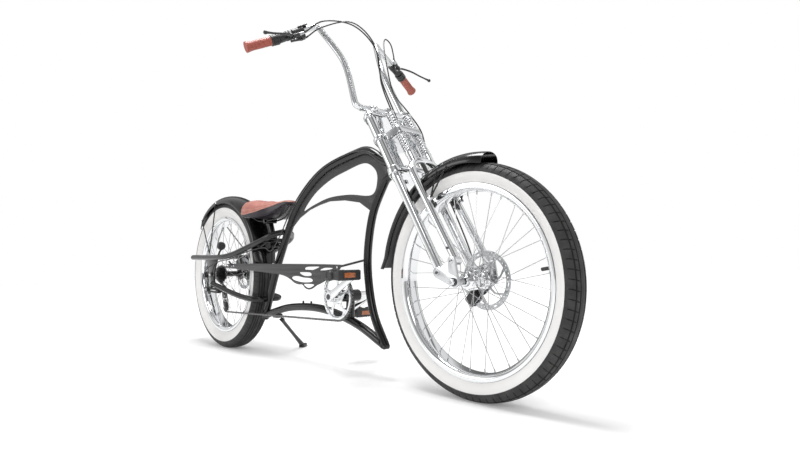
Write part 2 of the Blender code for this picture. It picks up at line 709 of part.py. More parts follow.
def fender(axle, crown, edge, half_width, start, end, steps, thickness=0.0018):
    """A crowned mudguard: an arched section swept round an axle between two angles in degrees."""
    outer = []
    for i in range(5):
        lean = math.radians(-90 + 45 * i)
        outer.append((edge + (crown - edge) * math.cos(lean) ** 0.8, half_width * math.sin(lean)))
    inner = [(r - thickness, y * (1 - thickness / half_width)) for r, y in reversed(outer)]
    inner[0] = (outer[-1][0], outer[-1][1] - thickness)
    inner[-1] = (outer[0][0], outer[0][1] + thickness)
    rings = []
    for step in range(steps + 1):
        angle = math.radians(start + (end - start) * step / steps)
        rings.append([(axle.x + r * math.cos(angle), y, axle.z + r * math.sin(angle))
                      for r, y in outer + inner])
    return loft(rings)


def build_rear_fender(body):
    """The rear mudguard with its two pairs of stays and its front bracket."""
    crown, edge_radius = REAR_TYRE_RADIUS + 0.026, REAR_TYRE_RADIUS - 0.004
    guard = fender(REAR_AXLE, crown, REAR_TYRE_RADIUS - 0.012, REAR_TYRE_HALF_WIDTH + 0.009, 7.0, 138.0, 13)
    parts = []
    for side in (1, -1):
        foot = Vector((-0.020, side * STAY_END_Y, 0.4536 + STAY_RADIUS + 0.004))
        for angle in (98.0, 128.0):
            edge = Vector((edge_radius * math.cos(math.radians(angle)), side * (REAR_TYRE_HALF_WIDTH + 0.0065),
                           REAR_AXLE.z + edge_radius * math.sin(math.radians(angle))))
            parts.append(rod(foot, edge, 0.0028, 4))
        parts.append(rod((foot.x, foot.y, 0.4536 + STAY_RADIUS + GAP), foot + Vector((0, 0, 0.003)), 0.006, 6))
    bracket_angle = math.atan2(0.517 - REAR_AXLE.z, 0.462)
    reach = math.hypot(0.517 - REAR_AXLE.z, 0.462) - 0.010 - GAP
    for y in (0.034, -0.034):
        near, far = crown - 0.0095, reach
        parts.append(rod(
            (near * math.cos(bracket_angle), y, REAR_AXLE.z + near * math.sin(bracket_angle)),
            (far * math.cos(bracket_angle), y, REAR_AXLE.z + far * math.sin(bracket_angle)), 0.005, 6))
    make_piece("rear_fender", body, fused(guard, *parts), BLACK_PAINT)


GUARD_OUTLINE = ((0.151, 0.408), (0.161, 0.4185), (0.600, 0.4125), (1.046, 0.4035), (1.056, 0.395),
                 (1.046, 0.384), (1.000, 0.370), (0.960, 0.345), (0.930, 0.334), (0.905, 0.327),
                 (0.891, 0.321), (0.867, 0.312), (0.843, 0.3095), (0.819, 0.3155), (0.802, 0.3275),
                 (0.770, 0.3285), (0.739, 0.3355), (0.708, 0.349), (0.640, 0.366), (0.476, 0.378),
                 (0.161, 0.398))
GUARD_SLOTS = (
    ((0.820, 0.3905), (0.835, 0.3965), (0.873, 0.3975), (0.920, 0.3965), (0.885, 0.3865), (0.854, 0.3830),
     (0.830, 0.3850)),
    ((0.925, 0.3835), (0.951, 0.3915), (0.995, 0.3920), (1.005, 0.3885), (0.960, 0.3835)),
    ((0.783, 0.3755), (0.820, 0.3765), (0.859, 0.3745), (0.866, 0.3640), (0.830, 0.3615), (0.800, 0.3660)),
    ((0.724, 0.3540), (0.740, 0.3605), (0.770, 0.3610), (0.810, 0.3555), (0.858, 0.3530), (0.875, 0.3450),
     (0.861, 0.3385), (0.810, 0.3370), (0.770, 0.3405), (0.739, 0.3460)),
    ((0.812, 0.3290), (0.845, 0.3310), (0.884, 0.3285), (0.863, 0.3185), (0.843, 0.3160), (0.827, 0.3200)),
)


def build_chain_guard(body):
    """The flat chain guard with its flame-like slots and its two brackets."""
    low, high = -0.0812, -0.0790
    plate = side_plate(GUARD_OUTLINE, low, high)
    slots = [side_plate(slot, low - 0.01, high + 0.01) for slot in GUARD_SLOTS]
    front = rod((1.036, high - 0.001, 0.394), (1.108, -0.004, 0.421), 0.004, 8)
    rear = rod((0.185, -0.0800, 0.408), (0.170, -0.0935, 0.436), 0.004, 8)
    stay = tube(on_side(UPPER_STAY, -1), STAY_RADIUS + GAP, 2)
    down = tube(down_path(), DOWN_TUBE_RADIUS + GAP, 2)
    solid = cut(fused(cut(plate, *slots), front, rear), stay, down)
    make_piece("chain_guard", body, solid, DARK_PAINT)


def disc_slot(axle, y, radius):
    """The room that a caliper leaves for its disc: a ring a little larger than the disc."""
    low, high = y - CALIPER_SLOT / 2, y + CALIPER_SLOT / 2
    return cut(cross_rod(axle.x, axle.z, low, high, radius + 0.0022, 36),
               cross_rod(axle.x, axle.z, low - 0.01, high + 0.01, 0.030, 16))


def build_rear_brake(body):
    """The rear caliper, held inside the left dropout over the disc."""
    angle = math.radians(128.0)
    reach = REAR_ROTOR_RADIUS - 0.011
    centre = Vector((reach * math.cos(angle), REAR_ROTOR_Y, REAR_AXLE.z + reach * math.sin(angle)))
    housing = block(centre, (0.044, 0.028, 0.034), -angle, 0.004)
    arm = cross_rod(-0.045, 0.430, REAR_ROTOR_Y + 0.010, DROPOUT_Y[0] - GAP, 0.007, 12)
    slot = disc_slot(REAR_AXLE, REAR_ROTOR_Y, REAR_ROTOR_RADIUS)
    make_piece("rear_caliper", body, cut(fused(housing, arm), slot), BLACK_PLASTIC)


def build_reflector(body):
    """The round rear reflector in its cup, clamped on the right upper stay."""
    stem = rod((0.085, -STAY_END_Y, 0.451 + 0.004), (0.096, -0.092, 0.492), 0.005, 8)
    cup = rod((0.100, -0.092, 0.505), (0.084, -0.092, 0.507), 0.018, 14, 0.020)
    stay = tube(on_side(UPPER_STAY, -1), STAY_RADIUS + GAP, 2)
    make_piece("rear_reflector", body, cut(fused(cup, stem), stay), BLACK_PLASTIC)


# Drive

def pitch_radius(teeth):
    """Radius of the chain's pin line round a sprocket."""
    return CHAIN_PITCH / (2 * math.sin(math.pi / teeth))


def sprocket(centre, y, teeth, thickness, bore):
    """A toothed disc of two points to a tooth, with a round bore unless that is 0."""
    tip = pitch_radius(teeth) + TOOTH_DEPTH / 2 - 0.0012
    root = tip - TOOTH_DEPTH
    outline = []
    for i in range(teeth):
        for share, radius in ((0.0, tip), (0.5, root)):
            angle = 2 * math.pi * (i + share) / teeth
            outline.append((centre[0] + radius * math.cos(angle), centre[1] + radius * math.sin(angle)))
    disc = side_plate(outline, y - thickness / 2, y + thickness / 2)
    return cut(disc, cross_rod(*centre, y - 0.02, y + 0.02, bore, 12)) if bore else disc


def build_cassette(body):
    """Five cogs on one carrier, which turns round the rear axle."""
    middle = (REAR_AXLE.x, REAR_AXLE.z)
    cogs = []
    for i, teeth in enumerate(COG_TEETH):
        y = CHAIN_Y + (DRIVEN_COG_INDEX - i) * COG_SPACING
        cogs.append(sprocket(middle, y, teeth, COG_THICKNESS, 0.0))
    carrier = rod((*middle[:1], -0.0765, middle[1]), (*middle[:1], -0.0430, middle[1]), 0.016, 6, 0.019)
    bore = cross_rod(*middle, -0.1, 0.0, AXLE_RADIUS + RUNNING_GAP, 12)
    make_piece("cassette", body, cut(fused(carrier, *cogs), bore), STEEL)


def belt_stops():
    """The round places that the chain runs over: centre, pin radius and turn (1 anticlockwise)."""
    return (
        ((BRACKET_X, BRACKET_Z), pitch_radius(CHAINRING_TEETH), 1),
        ((REAR_AXLE.x, REAR_AXLE.z), pitch_radius(COG_TEETH[DRIVEN_COG_INDEX]), 1),
        (GUIDE_PULLEY, pitch_radius(PULLEY_TEETH), -1),
        (TENSION_PULLEY, pitch_radius(PULLEY_TEETH), 1),
    )


def chain_path():
    """The chain's pin line as one closed loop of points, arcs and straight runs."""
    stops = belt_stops()
    lift = 0.0042
    contacts = []
    for i, (centre, radius, turn) in enumerate(stops):
        after_centre, after_radius, after_turn = stops[(i + 1) % len(stops)]
        dx, dz = after_centre[0] - centre[0], after_centre[1] - centre[1]
        span = math.hypot(dx, dz)
        heading = math.atan2(dz, dx)
        lean = math.asin(((radius + lift) * turn - (after_radius + lift) * after_turn) / span)
        normal = heading + lean - math.pi / 2
        leave = (centre[0] + turn * (radius + lift) * math.cos(normal),
                 centre[1] + turn * (radius + lift) * math.sin(normal))
        enter = (after_centre[0] + after_turn * (after_radius + lift) * math.cos(normal),
                 after_centre[1] + after_turn * (after_radius + lift) * math.sin(normal))
        contacts.append((leave, enter))
    points = []
    for i, (centre, radius, turn) in enumerate(stops):
        start, end = contacts[i - 1][1], contacts[i][0]
        first = math.atan2(start[1] - centre[1], start[0] - centre[0])
        last = math.atan2(end[1] - centre[1], end[0] - centre[0])
        sweep = (turn * (last - first)) % (2 * math.pi)
        stretch = CHAIN_PITCH * (2 if radius > 0.06 else 1)
        count = max(2, round(sweep * (radius + lift) / stretch))
        for step in range(count + 1):
            angle = first + turn * sweep * step / count
            points.append((centre[0] + (radius + lift) * math.cos(angle),
                           centre[1] + (radius + lift) * math.sin(angle)))
        run = math.hypot(contacts[i][1][0] - end[0], contacts[i][1][1] - end[1])
        count = max(1, round(run / (8 * CHAIN_PITCH)))
        for step in range(1, count):
            share = step / count
            points.append((end[0] + (contacts[i][1][0] - end[0]) * share,
                           end[1] + (contacts[i][1][1] - end[1]) * share))
    return points


def build_chain(body):
    """The closed chain as a run of waisted links, lying just over the teeth."""
    points = chain_path()
    count = len(points)
    rings = []
    for i, (x, z) in enumerate(points):
        before, after = points[i - 1], points[(i + 1) % count]
        heading = Vector((after[0] - before[0], 0.0, after[1] - before[1])).normalized()
        normal = Vector((-heading.z, 0.0, heading.x))
        half = 0.0030 if i % 2 else 0.0022
        tall = 0.0026
        centre = Vector((x, CHAIN_Y, z))
        rings.append([centre + normal * a * tall + Vector((0, b * half, 0))
                      for a, b in ((-1, -1), (1, -1), (1, 1), (-1, 1))])
    make_piece("chain", body, loft(rings, closed=True), STEEL)


def build_crankset(body):
    """Chainring on its spider, both crank arms and the spindle between them."""
    middle = (BRACKET_X, BRACKET_Z)
    windows = []
    for i in range(5):
        start = 2 * math.pi * i / 5 + 0.3
        outline = [(0.034, 0.15), (0.034, 1.10), (0.071, 1.12), (0.071, 0.63), (0.071, 0.14)]
        windows.append(side_plate(
            [(middle[0] + r * math.cos(start + a), middle[1] + r * math.sin(start + a)) for r, a in outline],
            CHAIN_Y - 0.02, CHAIN_Y + 0.02))
    ring = sprocket(middle, CHAIN_Y, CHAINRING_TEETH, 0.0032, SPINDLE_RADIUS + GAP)
    boss = cut(cross_rod(*middle, -0.0875, CHAIN_Y, 0.020, 12),
               cross_rod(*middle, -0.1, 0.0, SPINDLE_RADIUS + GAP, 12))
    make_piece("chainring", body, fused(cut(ring, *windows), boss), CHROME)
    for side, word in ((-1, "right"), (1, "left")):
        turn = CRANK_ANGLE if side < 0 else CRANK_ANGLE + math.pi
        end = (middle[0] + CRANK_LENGTH * math.cos(turn), middle[1] + CRANK_LENGTH * math.sin(turn))
        low, high = sorted((side * CRANK_ARM_Y[0], side * CRANK_ARM_Y[1]))
        arm = side_plate(hull_outline([(middle, 0.019), (end, 0.0125)], 12), low, high)
        waist = (middle[0] + 0.5 * CRANK_LENGTH * math.cos(turn), middle[1] + 0.5 * CRANK_LENGTH * math.sin(turn))
        groove = side_plate(stadium(
            (waist[0] - 0.042 * math.cos(turn), waist[1] - 0.042 * math.sin(turn)),
            (waist[0] + 0.048 * math.cos(turn), waist[1] + 0.048 * math.sin(turn)), 0.0045, 8),
            *sorted((side * (CRANK_ARM_Y[1] - 0.0025), side * (CRANK_ARM_Y[1] + 0.01))))
        arm = cut(arm, groove)
        pin = cross_rod(*end, *sorted((side * (CRANK_ARM_Y[1] - 0.004), side * (CRANK_ARM_Y[1] + 0.008
                                                                             + PEDAL_LENGTH))), PEDAL_PIN_RADIUS, 8)
        if side < 0:
            arm = cut(arm, cross_rod(*middle, -0.2, 0.0, SPINDLE_RADIUS + GAP, 12))
            arm = fused(arm, pin)
        else:
            spindle = cross_rod(*middle, -0.1035, 0.100, SPINDLE_RADIUS, 12)
            collar = cross_rod(*middle, BRACKET_HALF_WIDTH + GAP, CRANK_ARM_Y[0] + 0.002, 0.0135, 12)
            arm = fused(arm, pin, spindle, collar)
        make_piece(f"crank_arm_{word}", body, arm, CHROME)


def pedal_place(side):
    """Middle of a pedal's spindle on one side."""
    turn = CRANK_ANGLE if side < 0 else CRANK_ANGLE + math.pi
    return Vector((BRACKET_X + CRANK_LENGTH * math.cos(turn),
                   side * (CRANK_ARM_Y[1] + 0.005 + PEDAL_LENGTH / 2),
                   BRACKET_Z + CRANK_LENGTH * math.sin(turn)))


def build_pedal(body, side, word):
    """A platform pedal: barrel, two ribbed bars, end plates and reflector housings."""
    place = pedal_place(side)
    half = PEDAL_LENGTH / 2
    barrel = cross_rod(place.x, place.z, place.y - half, place.y + half, 0.0125, 8)
    parts = []
    for step in (-1, 1):
        parts.append(block(place + Vector((step * 0.042, 0, 0)), (0.014, PEDAL_LENGTH, 0.026)))
        parts.append(block(place + Vector((0, step * (half - 0.004), 0)), (0.086, 0.008, 0.022)))
    parts.append(block(place, (0.086, 0.010, 0.016)))
    bore = cross_rod(place.x, place.z, place.y - 0.1, place.y + 0.1, running_bore(PEDAL_PIN_RADIUS, 8), 8)
    make_piece(f"pedal_{word}", body, cut(fused(barrel, *parts), bore), BLACK_PLASTIC)


def build_derailleur(frame_body, cage_body, guide_body, tension_body):
    """Rear derailleur: knuckle on the hanger, cage on its pivot and two jockey wheels."""
    outer = (-0.0690, -0.0668)
    inner = (-0.0532, -0.0510)
    cage_outline = hull_outline([(GUIDE_PULLEY, 0.012), (TENSION_PULLEY, 0.010)], 10)
    plates = [side_plate(cage_outline, *outer), side_plate(cage_outline, *inner)]
    pins = [cross_rod(x, z, -0.0685, -0.0515, 0.0022, 8) for x, z in (GUIDE_PULLEY, TENSION_PULLEY)]
    boss = cross_rod(*GUIDE_PULLEY, -0.0795, -0.0680, 0.0085, 10)
    make_piece("derailleur_cage", cage_body, fused(plates[0], plates[1], *pins, boss), BLACK_PLASTIC)
    for name, place, body in (("guide_pulley", GUIDE_PULLEY, guide_body),
                              ("tension_pulley", TENSION_PULLEY, tension_body)):
        make_piece(name, body, sprocket(place, CHAIN_Y, PULLEY_TEETH, 0.0040, 0.0022 + RUNNING_GAP),
                   BLACK_PLASTIC)
    knuckle = cross_rod(*HANGER_HOLE, -0.1240, -DROPOUT_Y[1] - GAP, 0.0115, 10)
    pivot = cross_rod(*GUIDE_PULLEY, -0.1000, -0.0798, 0.0120, 10)
    links = [rod((HANGER_HOLE[0], -0.114, HANGER_HOLE[1] + rise), (GUIDE_PULLEY[0], -0.093, GUIDE_PULLEY[1] + rise),
                 0.0055, 6) for rise in (0.0060, -0.0070)]
    make_piece("derailleur_body", frame_body, fused(knuckle, pivot, *links), BLACK_PLASTIC)


# Kickstand

def build_kickstand(body):
    """The leg with its pivot eye and rubber foot, standing on the floor."""
    eye = rod(KICKSTAND_PIVOT - kickstand_axis() * 0.008, KICKSTAND_PIVOT + kickstand_axis() * 0.008,
              KICKSTAND_EYE_RADIUS, 12)
    direction = (KICKSTAND_FOOT - KICKSTAND_PIVOT).normalized()
    knee = KICKSTAND_PIVOT + direction * 0.02 + Vector((0, 0.002, 0))
    leg = tube([KICKSTAND_PIVOT, knee, KICKSTAND_FOOT], KICKSTAND_RADIUS, 2)
    foot = rod(KICKSTAND_FOOT - Vector((0, 0, 0.0085)), KICKSTAND_FOOT + Vector((0, 0, 0.006)), 0.011, 12)
    make_piece("kickstand_leg", body, fused(leg, eye, foot), BLACK_PAINT)


# Seat

SADDLE_REAR = 0.285
SADDLE_NOSE = 0.612
RAIL_RADIUS = 0.0038
PAN_DEPTH = 0.010
SADDLE_SECTIONS = ((0.0, 0.055, 0.690, 0.664), (0.06, 0.090, 0.703, 0.648), (0.17, 0.110, 0.709, 0.634),
                   (0.32, 0.111, 0.704, 0.630), (0.48, 0.088, 0.695, 0.629), (0.62, 0.060, 0.689, 0.636),
                   (0.76, 0.041, 0.689, 0.654), (0.90, 0.030, 0.689, 0.671), (1.0, 0.014, 0.682, 0.676))


def saddle_rings():
    """Sections of the saddle from rear to nose, each a closed round of points."""
    rings = []
    for share, width, crown, base in SADDLE_SECTIONS:
        x = SADDLE_REAR + (SADDLE_NOSE - SADDLE_REAR) * share
        middle = 0.006 * (1 - share)
        rings.append([Vector((x, y * width, base + (crown - base) * rise - dip * middle)) for y, rise, dip in (
            (-1.0, 0.0, 0), (-1.0, 0.38, 0), (-0.86, 0.80, 0), (-0.5, 1.0, 0), (0.0, 1.0, 1),
            (0.5, 1.0, 0), (0.86, 0.80, 0), (1.0, 0.38, 0), (1.0, 0.0, 0), (0.0, 0.0, 0))])
    return rings


def spring_path(start, end, mean_radius, curls, turn=1):
    """Points of an open coil from one seat to the other."""
    start, end = Vector(start), Vector(end)
    along = end - start
    across = along.orthogonal().normalized()
    other = along.normalized().cross(across)
    path = []
    total = curls * POINTS_PER_CURL
    for i in range(total + 1):
        angle = turn * 2 * math.pi * i / POINTS_PER_CURL
        path.append(start + along * (i / total)
                    + mean_radius * (across * math.cos(angle) + other * math.sin(angle)))
    return path


def least_self_gap(path, wire_radius):
    """Least clear distance between points of a coil that lie half a curl or more apart."""
    least = math.inf
    for i, near in enumerate(path):
        for far in path[i + POINTS_PER_CURL // 2:]:
            least = min(least, (near - far).length - 2 * wire_radius)
    return least


def coil(name, body, start, end, mean_radius, wire_radius, curls, finish):
    """A coil spring as one unbroken tube. It prints its least gap to itself."""
    along = (Vector(end) - Vector(start)).normalized()
    seat = wire_radius + GAP
    path = spring_path(Vector(start) + along * seat, Vector(end) - along * seat, mean_radius, curls)
    print(f"{name}: least gap to itself {1000 * least_self_gap(path, wire_radius):.2f} mm")
    make_piece(name, body, tube(path, wire_radius, 1), finish, 60.0)


def rail_path(side):
    """One saddle rail's centre line, from the saddle's rear to its nose."""
    return on_side(((0.326, 0.044, 0.6290), (0.360, 0.026, 0.6105), (0.450, 0.020, 0.6105),
                    (0.510, 0.016, 0.6190), (0.560, 0.010, 0.6420), (0.588, 0.007, 0.6660)), side)


def build_seat(body):
    """Seat post with its clamp, saddle base with rails, and the padded cover."""
    clamp = block(SEAT_CLAMP + Vector((0, 0, 0.003)), (0.040, 0.052, 0.020), 0.0, 0.004)
    post = rod(SEAT_POST_FOOT, SEAT_CLAMP, SEAT_POST_RADIUS, 12)
    rail_bores = [tube(rail_path(side), RAIL_RADIUS + GAP, 1) for side in (1, -1)]
    make_piece("seat_post", body, cut(fused(post, clamp), *rail_bores), BLACK_PAINT)
    rings = saddle_rings()
    make_piece("saddle_cover", body, loft(rings), SADDLE_LEATHER)
    pan_rings = []
    for ring, (_, half_width, _, base) in zip(rings, SADDLE_SECTIONS):
        width = half_width - 0.003
        pan_rings.append([Vector((ring[0].x, y * width, base - GAP - fall * PAN_DEPTH)) for y, fall in (
            (-1, 0.0), (1, 0.0), (1, 0.6), (0.8, 1.0), (-0.8, 1.0), (-1, 0.6))])
    rails = [tube(rail_path(side), RAIL_RADIUS, 1) for side in (1, -1)]
    make_piece("saddle_base", body, fused(loft(pan_rings), *rails), BLACK_PLASTIC)


# Fork

def crown(heights, steerer_bore=STEERER_RADIUS + GAP):
    """A crown plate square to the steering axis, with eyes for the legs and a steerer bore."""
    circles = [((0.0, 0.0), CROWN_HUB_RADIUS)]
    circles += [((LEG_FORWARD, s * LEG_HALF_SPACING), CROWN_EYE_RADIUS) for s in (1, -1)]
    solid = slab(hull_outline(circles, 12), *heights, fork_matrix())
    tall = (heights[0] - 0.02, heights[1] + 0.02)
    bores = []
    if steerer_bore:
        bores.append(rod(fork_point(0, 0, tall[0]), fork_point(0, 0, tall[1]), steerer_bore, 12))
    for side in (1, -1):
        y = side * LEG_HALF_SPACING
        bores.append(rod(fork_point(LEG_FORWARD, y, tall[0]), fork_point(LEG_FORWARD, y, tall[1]),
                         LEG_UPPER_RADIUS + GAP, 12))
    return cut(solid, *bores)


def spring_perch():
    """The thick front part of the middle crown that the springs seat on, bored for their rods."""
    forward = HOOP_FOOT_FORWARD + HOOP_LEAN * (PERCH_H[0] - ROCKER_H)
    circles = [((forward, s * SPRING_ROD_Y), PERCH_RADIUS) for s in (1, -1)]
    circles += [((LEG_FORWARD + 0.026, s * LEG_HALF_SPACING * 0.8), 0.010) for s in (1, -1)]
    bores = [rod(hoop_point(s * SPRING_ROD_Y, PERCH_H[0] - 0.02), hoop_point(s * SPRING_ROD_Y, PERCH_H[1] + 0.02),
                 SPRING_ROD_RADIUS + ROD_CLEARANCE, 8) for s in (1, -1)]
    leg_bores = [rod(fork_point(LEG_FORWARD, s * LEG_HALF_SPACING, PERCH_H[0] - 0.02),
                     fork_point(LEG_FORWARD, s * LEG_HALF_SPACING, PERCH_H[1] + 0.02),
                     CROWN_EYE_RADIUS - 0.002, 12) for s in (1, -1)]
    return cut(slab(hull_outline(circles, 12), *PERCH_H, fork_matrix()), *leg_bores), bores


def build_crowns(body):
    """Steerer with its three crowns and the handlebar clamp."""
    steerer = fused(
        rod(fork_point(0, 0, LOWER_CROWN_H[0] - 0.006), fork_point(0, 0, TOP_CROWN_H[1] + 0.006),
            STEERER_RADIUS, 12),
        rod(fork_point(0, 0, TOP_CROWN_H[1] + GAP), fork_point(0, 0, TOP_CROWN_H[1] + 0.010), 0.019, 6))
    make_piece("lower_crown", body, fused(crown(LOWER_CROWN_H, 0.0), steerer), CHROME)
    perch, rod_bores = spring_perch()
    make_piece("middle_crown", body, cut(fused(crown(MIDDLE_CROWN_H), perch), *rod_bores), CHROME)
    top = crown(TOP_CROWN_H)
    risers = []
    for side in (1, -1):
        y = side * 0.036
        risers.append(rod(fork_point(BAR_FORWARD, y, TOP_CROWN_H[1] - 0.004),
                          fork_point(BAR_FORWARD, y, BAR_H), 0.0130, 10))
        risers.append(cross_rod(BAR_BOTTOM.x, BAR_BOTTOM.z, y - 0.013, y + 0.013, 0.0170, 12))
    channel = tube(bar_path(), BAR_RADIUS + GAP, 2)
    make_piece("top_crown", body, cut(fused(top, *risers), channel), CHROME)


def build_fork_leg(body, side, word):
    """A fixed fork leg: thick through the crowns, slimmer below, with the rocker's pivot lug."""
    y = side * LEG_HALF_SPACING
    upper = rod(fork_point(LEG_FORWARD, y, LOWER_CROWN_H[0] - 0.012),
                fork_point(LEG_FORWARD, y, TOP_CROWN_H[1] + 0.004), LEG_UPPER_RADIUS, 12)
    cap = rod(fork_point(LEG_FORWARD, y, TOP_CROWN_H[1] + 0.002),
              fork_point(LEG_FORWARD, y, TOP_CROWN_H[1] + 0.014), LEG_UPPER_RADIUS - 0.001, 12, 0.010)
    lower = rod(fork_point(LEG_FORWARD, y, ROCKER_H), fork_point(LEG_FORWARD, y, LOWER_CROWN_H[0] - 0.010),
                LEG_LOWER_RADIUS, 12)
    lug = cross_rod(ROCKER_PIVOT.x, ROCKER_PIVOT.z, *sorted((side * 0.063, side * LUG_OUTER_Y)), 0.0140, 12)
    flat = side_plate(hull_outline([((ROCKER_PIVOT.x, ROCKER_PIVOT.z), 0.0230),
                                    ((STRUT_PIVOT.x, STRUT_PIVOT.z), 0.0180)], 12),
                      *sorted((side * LUG_OUTER_Y, side * 0.12)))
    bolt = cross_rod(ROCKER_PIVOT.x, ROCKER_PIVOT.z, *sorted((side * 0.070, side * 0.0960)),
                     ROCKER_BOLT_RADIUS, 10)
    head = cross_rod(ROCKER_PIVOT.x, ROCKER_PIVOT.z,
                     *sorted((side * (ROCKER_PLATE_Y[1] + GAP), side * 0.0985)), 0.0090, 6)
    leg = cut(fused(upper, cap, lower, lug), flat)
    make_piece(f"fork_leg_{word}", body, fused(leg, bolt, head), CHROME)


def hoop_path():
    """The sprung hoop's centre line: up one side, over a half circle and down the other."""
    path = [hoop_point(-HOOP_HALF_SPACING, ROCKER_H + 0.004)]
    for i in range(9):
        angle = math.pi * i / 8
        path.append(hoop_point(-HOOP_HALF_SPACING * math.cos(angle),
                               HOOP_TOP_H - HOOP_HALF_SPACING * (1 - math.sin(angle))))
    return path + [mirrored(path[0])]


def build_strut(body):
    """The sprung hoop with its spring rods, sleeves, collars, nuts and lower lugs."""
    parts = []
    base = HOOP_TOP_H - HOOP_HALF_SPACING + math.sqrt(HOOP_HALF_SPACING ** 2 - SPRING_ROD_Y ** 2)
    for side in (1, -1):
        y = side * SPRING_ROD_Y
        top = UPPER_SPRING_END_H
        for low, high, radius, sides in (
                (base, LOWER_SPRING_START_H - GAP, 0.0140, 8),
                (base, top + 0.024, SPRING_ROD_RADIUS, 8),
                (top + GAP, top + 0.005, 0.0150, 8),
                (top + 0.004, top + 0.016, 0.0105, 6)):
            parts.append(rod(hoop_point(y, low), hoop_point(y, high), radius, sides))
        parts.append(cross_rod(
            STRUT_PIVOT.x, STRUT_PIVOT.z,
            *sorted((side * (HOOP_HALF_SPACING - HOOP_RADIUS), side * LUG_OUTER_Y)), 0.0125, 10))
    make_piece("springer_hoop", body, fused(tube(hoop_path(), HOOP_RADIUS, 2), *parts), CHROME)


def build_fork_springs(body):
    """The two lower and two upper coil springs on the spring rods."""
    for side, word in ((-1, "right"), (1, "left")):
        y = side * SPRING_ROD_Y
        coil(f"lower_spring_{word}", body, hoop_point(y, LOWER_SPRING_START_H),
             hoop_point(y, PERCH_H[0]), SPRING_MEAN_RADIUS, SPRING_WIRE_RADIUS,
             LOWER_SPRING_CURLS, CHROME)
        coil(f"upper_spring_{word}", body, hoop_point(y, PERCH_H[1]),
             hoop_point(y, UPPER_SPRING_END_H), SPRING_MEAN_RADIUS, SPRING_WIRE_RADIUS,
             UPPER_SPRING_CURLS, CHROME)


FENDER_CLAMP_DROP = 0.172


def build_front_fender(body):
    """The front mudguard with its strap to the hoop's top and twin stays to the hoop's legs."""
    crown, edge_radius = FRONT_TYRE_RADIUS + 0.032, FRONT_TYRE_RADIUS + 0.002
    guard = fender(FRONT_AXLE, crown, FRONT_TYRE_RADIUS - 0.004, FRONT_TYRE_HALF_WIDTH + 0.010, 79.0, 174.0, 10)
    top = hoop_point(0.0, HOOP_TOP_H)
    toward = (top - FRONT_AXLE).normalized()
    near = FRONT_AXLE + toward * (crown - 0.0002)
    strap = side_plate(stadium((near.x, near.z), (top.x, top.z), 0.0020, 8), -0.009, 0.009)
    parts = [cut(strap, tube(hoop_path(), HOOP_RADIUS + GAP, 2))]
    for side in (1, -1):
        seat = (hoop_point(side * HOOP_HALF_SPACING, HOOP_TOP_H - FENDER_CLAMP_DROP)
                + STEERING_FORWARD * (HOOP_RADIUS + GAP))
        clamp = seat + STEERING_FORWARD * 0.006
        for angle in (99.0, 106.0):
            edge = Vector((FRONT_AXLE.x + edge_radius * math.cos(math.radians(angle)),
                           side * (FRONT_TYRE_HALF_WIDTH + 0.008),
                           FRONT_AXLE.z + edge_radius * math.sin(math.radians(angle))))
            parts.append(rod(clamp, edge, 0.0026, 4))
        parts.append(rod(seat, clamp + STEERING_FORWARD * 0.003, 0.0080, 6))
    make_piece("front_fender", body, fused(guard, *parts), BLACK_PAINT)


def build_rocker(body, side, word):
    """A rocker plate that joins the leg, the hoop and the axle."""
    low, high = sorted((side * ROCKER_PLATE_Y[0], side * ROCKER_PLATE_Y[1]))
    pivot = (ROCKER_PIVOT.x, ROCKER_PIVOT.z)
    strut = (STRUT_PIVOT.x, STRUT_PIVOT.z)
    axle = (FRONT_AXLE.x, FRONT_AXLE.z)
    plate = side_plate(hull_outline([(pivot, 0.0165), (strut, 0.0145), (axle, 0.0170)], 14), low, high)
    parts = [cross_rod(*strut, *sorted((side * (ROCKER_PLATE_Y[1] - 0.001), side * 0.0975)), 0.0080, 6)]
    if side > 0:
        parts.append(side_plate(hull_outline([(pivot, 0.0120), (CALIPER_FOOT, 0.0120), (axle, 0.0120)], 10),
                                low, high))
    bores = [cross_rod(*pivot, low - 0.01, high + 0.01, ROCKER_BOLT_RADIUS + RUNNING_GAP, 12),
             cross_rod(*axle, low - 0.01, high + 0.01, AXLE_RADIUS + GAP, 12)]
    make_piece(f"rocker_{word}", body, cut(fused(plate, *parts), *bores), SILVER)


CALIPER_FOOT = (1.572, 0.312)
CALIPER_CENTRE = Vector((1.5600, FRONT_ROTOR_Y, 0.2920))


def build_front_brake(rocker_body, arm_body):
    """The front caliper on the left rocker, over the disc, and its cable arm."""
    turn = -math.atan2(CALIPER_CENTRE.z - FRONT_AXLE.z, CALIPER_CENTRE.x - FRONT_AXLE.x)
    housing = block(CALIPER_CENTRE + Vector((0, 0.004, 0)), (0.046, 0.034, 0.036), turn, 0.004)
    slot = disc_slot(FRONT_AXLE, FRONT_ROTOR_Y, FRONT_ROTOR_RADIUS)
    foot = cross_rod(*CALIPER_FOOT, 0.0650, ROCKER_PLATE_Y[0] - GAP, 0.0085, 12)
    stop = rod((1.548, 0.068, 0.303), (1.538, 0.068, 0.314), 0.0035, 8)
    make_piece("front_caliper", rocker_body, cut(fused(housing, foot, stop), slot), BLACK_PLASTIC)
    pivot = caliper_arm_pivot()
    arm = fused(cross_rod(pivot.x, pivot.z, pivot.y, pivot.y + 0.006, 0.0080, 10),
                side_plate(stadium((pivot.x, pivot.z), (pivot.x - 0.026, pivot.z - 0.004), 0.0050),
                           pivot.y + 0.0015, pivot.y + 0.0055))
    make_piece("caliper_arm", arm_body, arm, BLACK_PLASTIC)


def caliper_arm_pivot():
    """Where the cable arm turns on the caliper's outer face."""
    return Vector((CALIPER_CENTRE.x - 0.002, CALIPER_CENTRE.y + 0.004 + 0.017 + GAP, CALIPER_CENTRE.z - 0.003))


# Cockpit

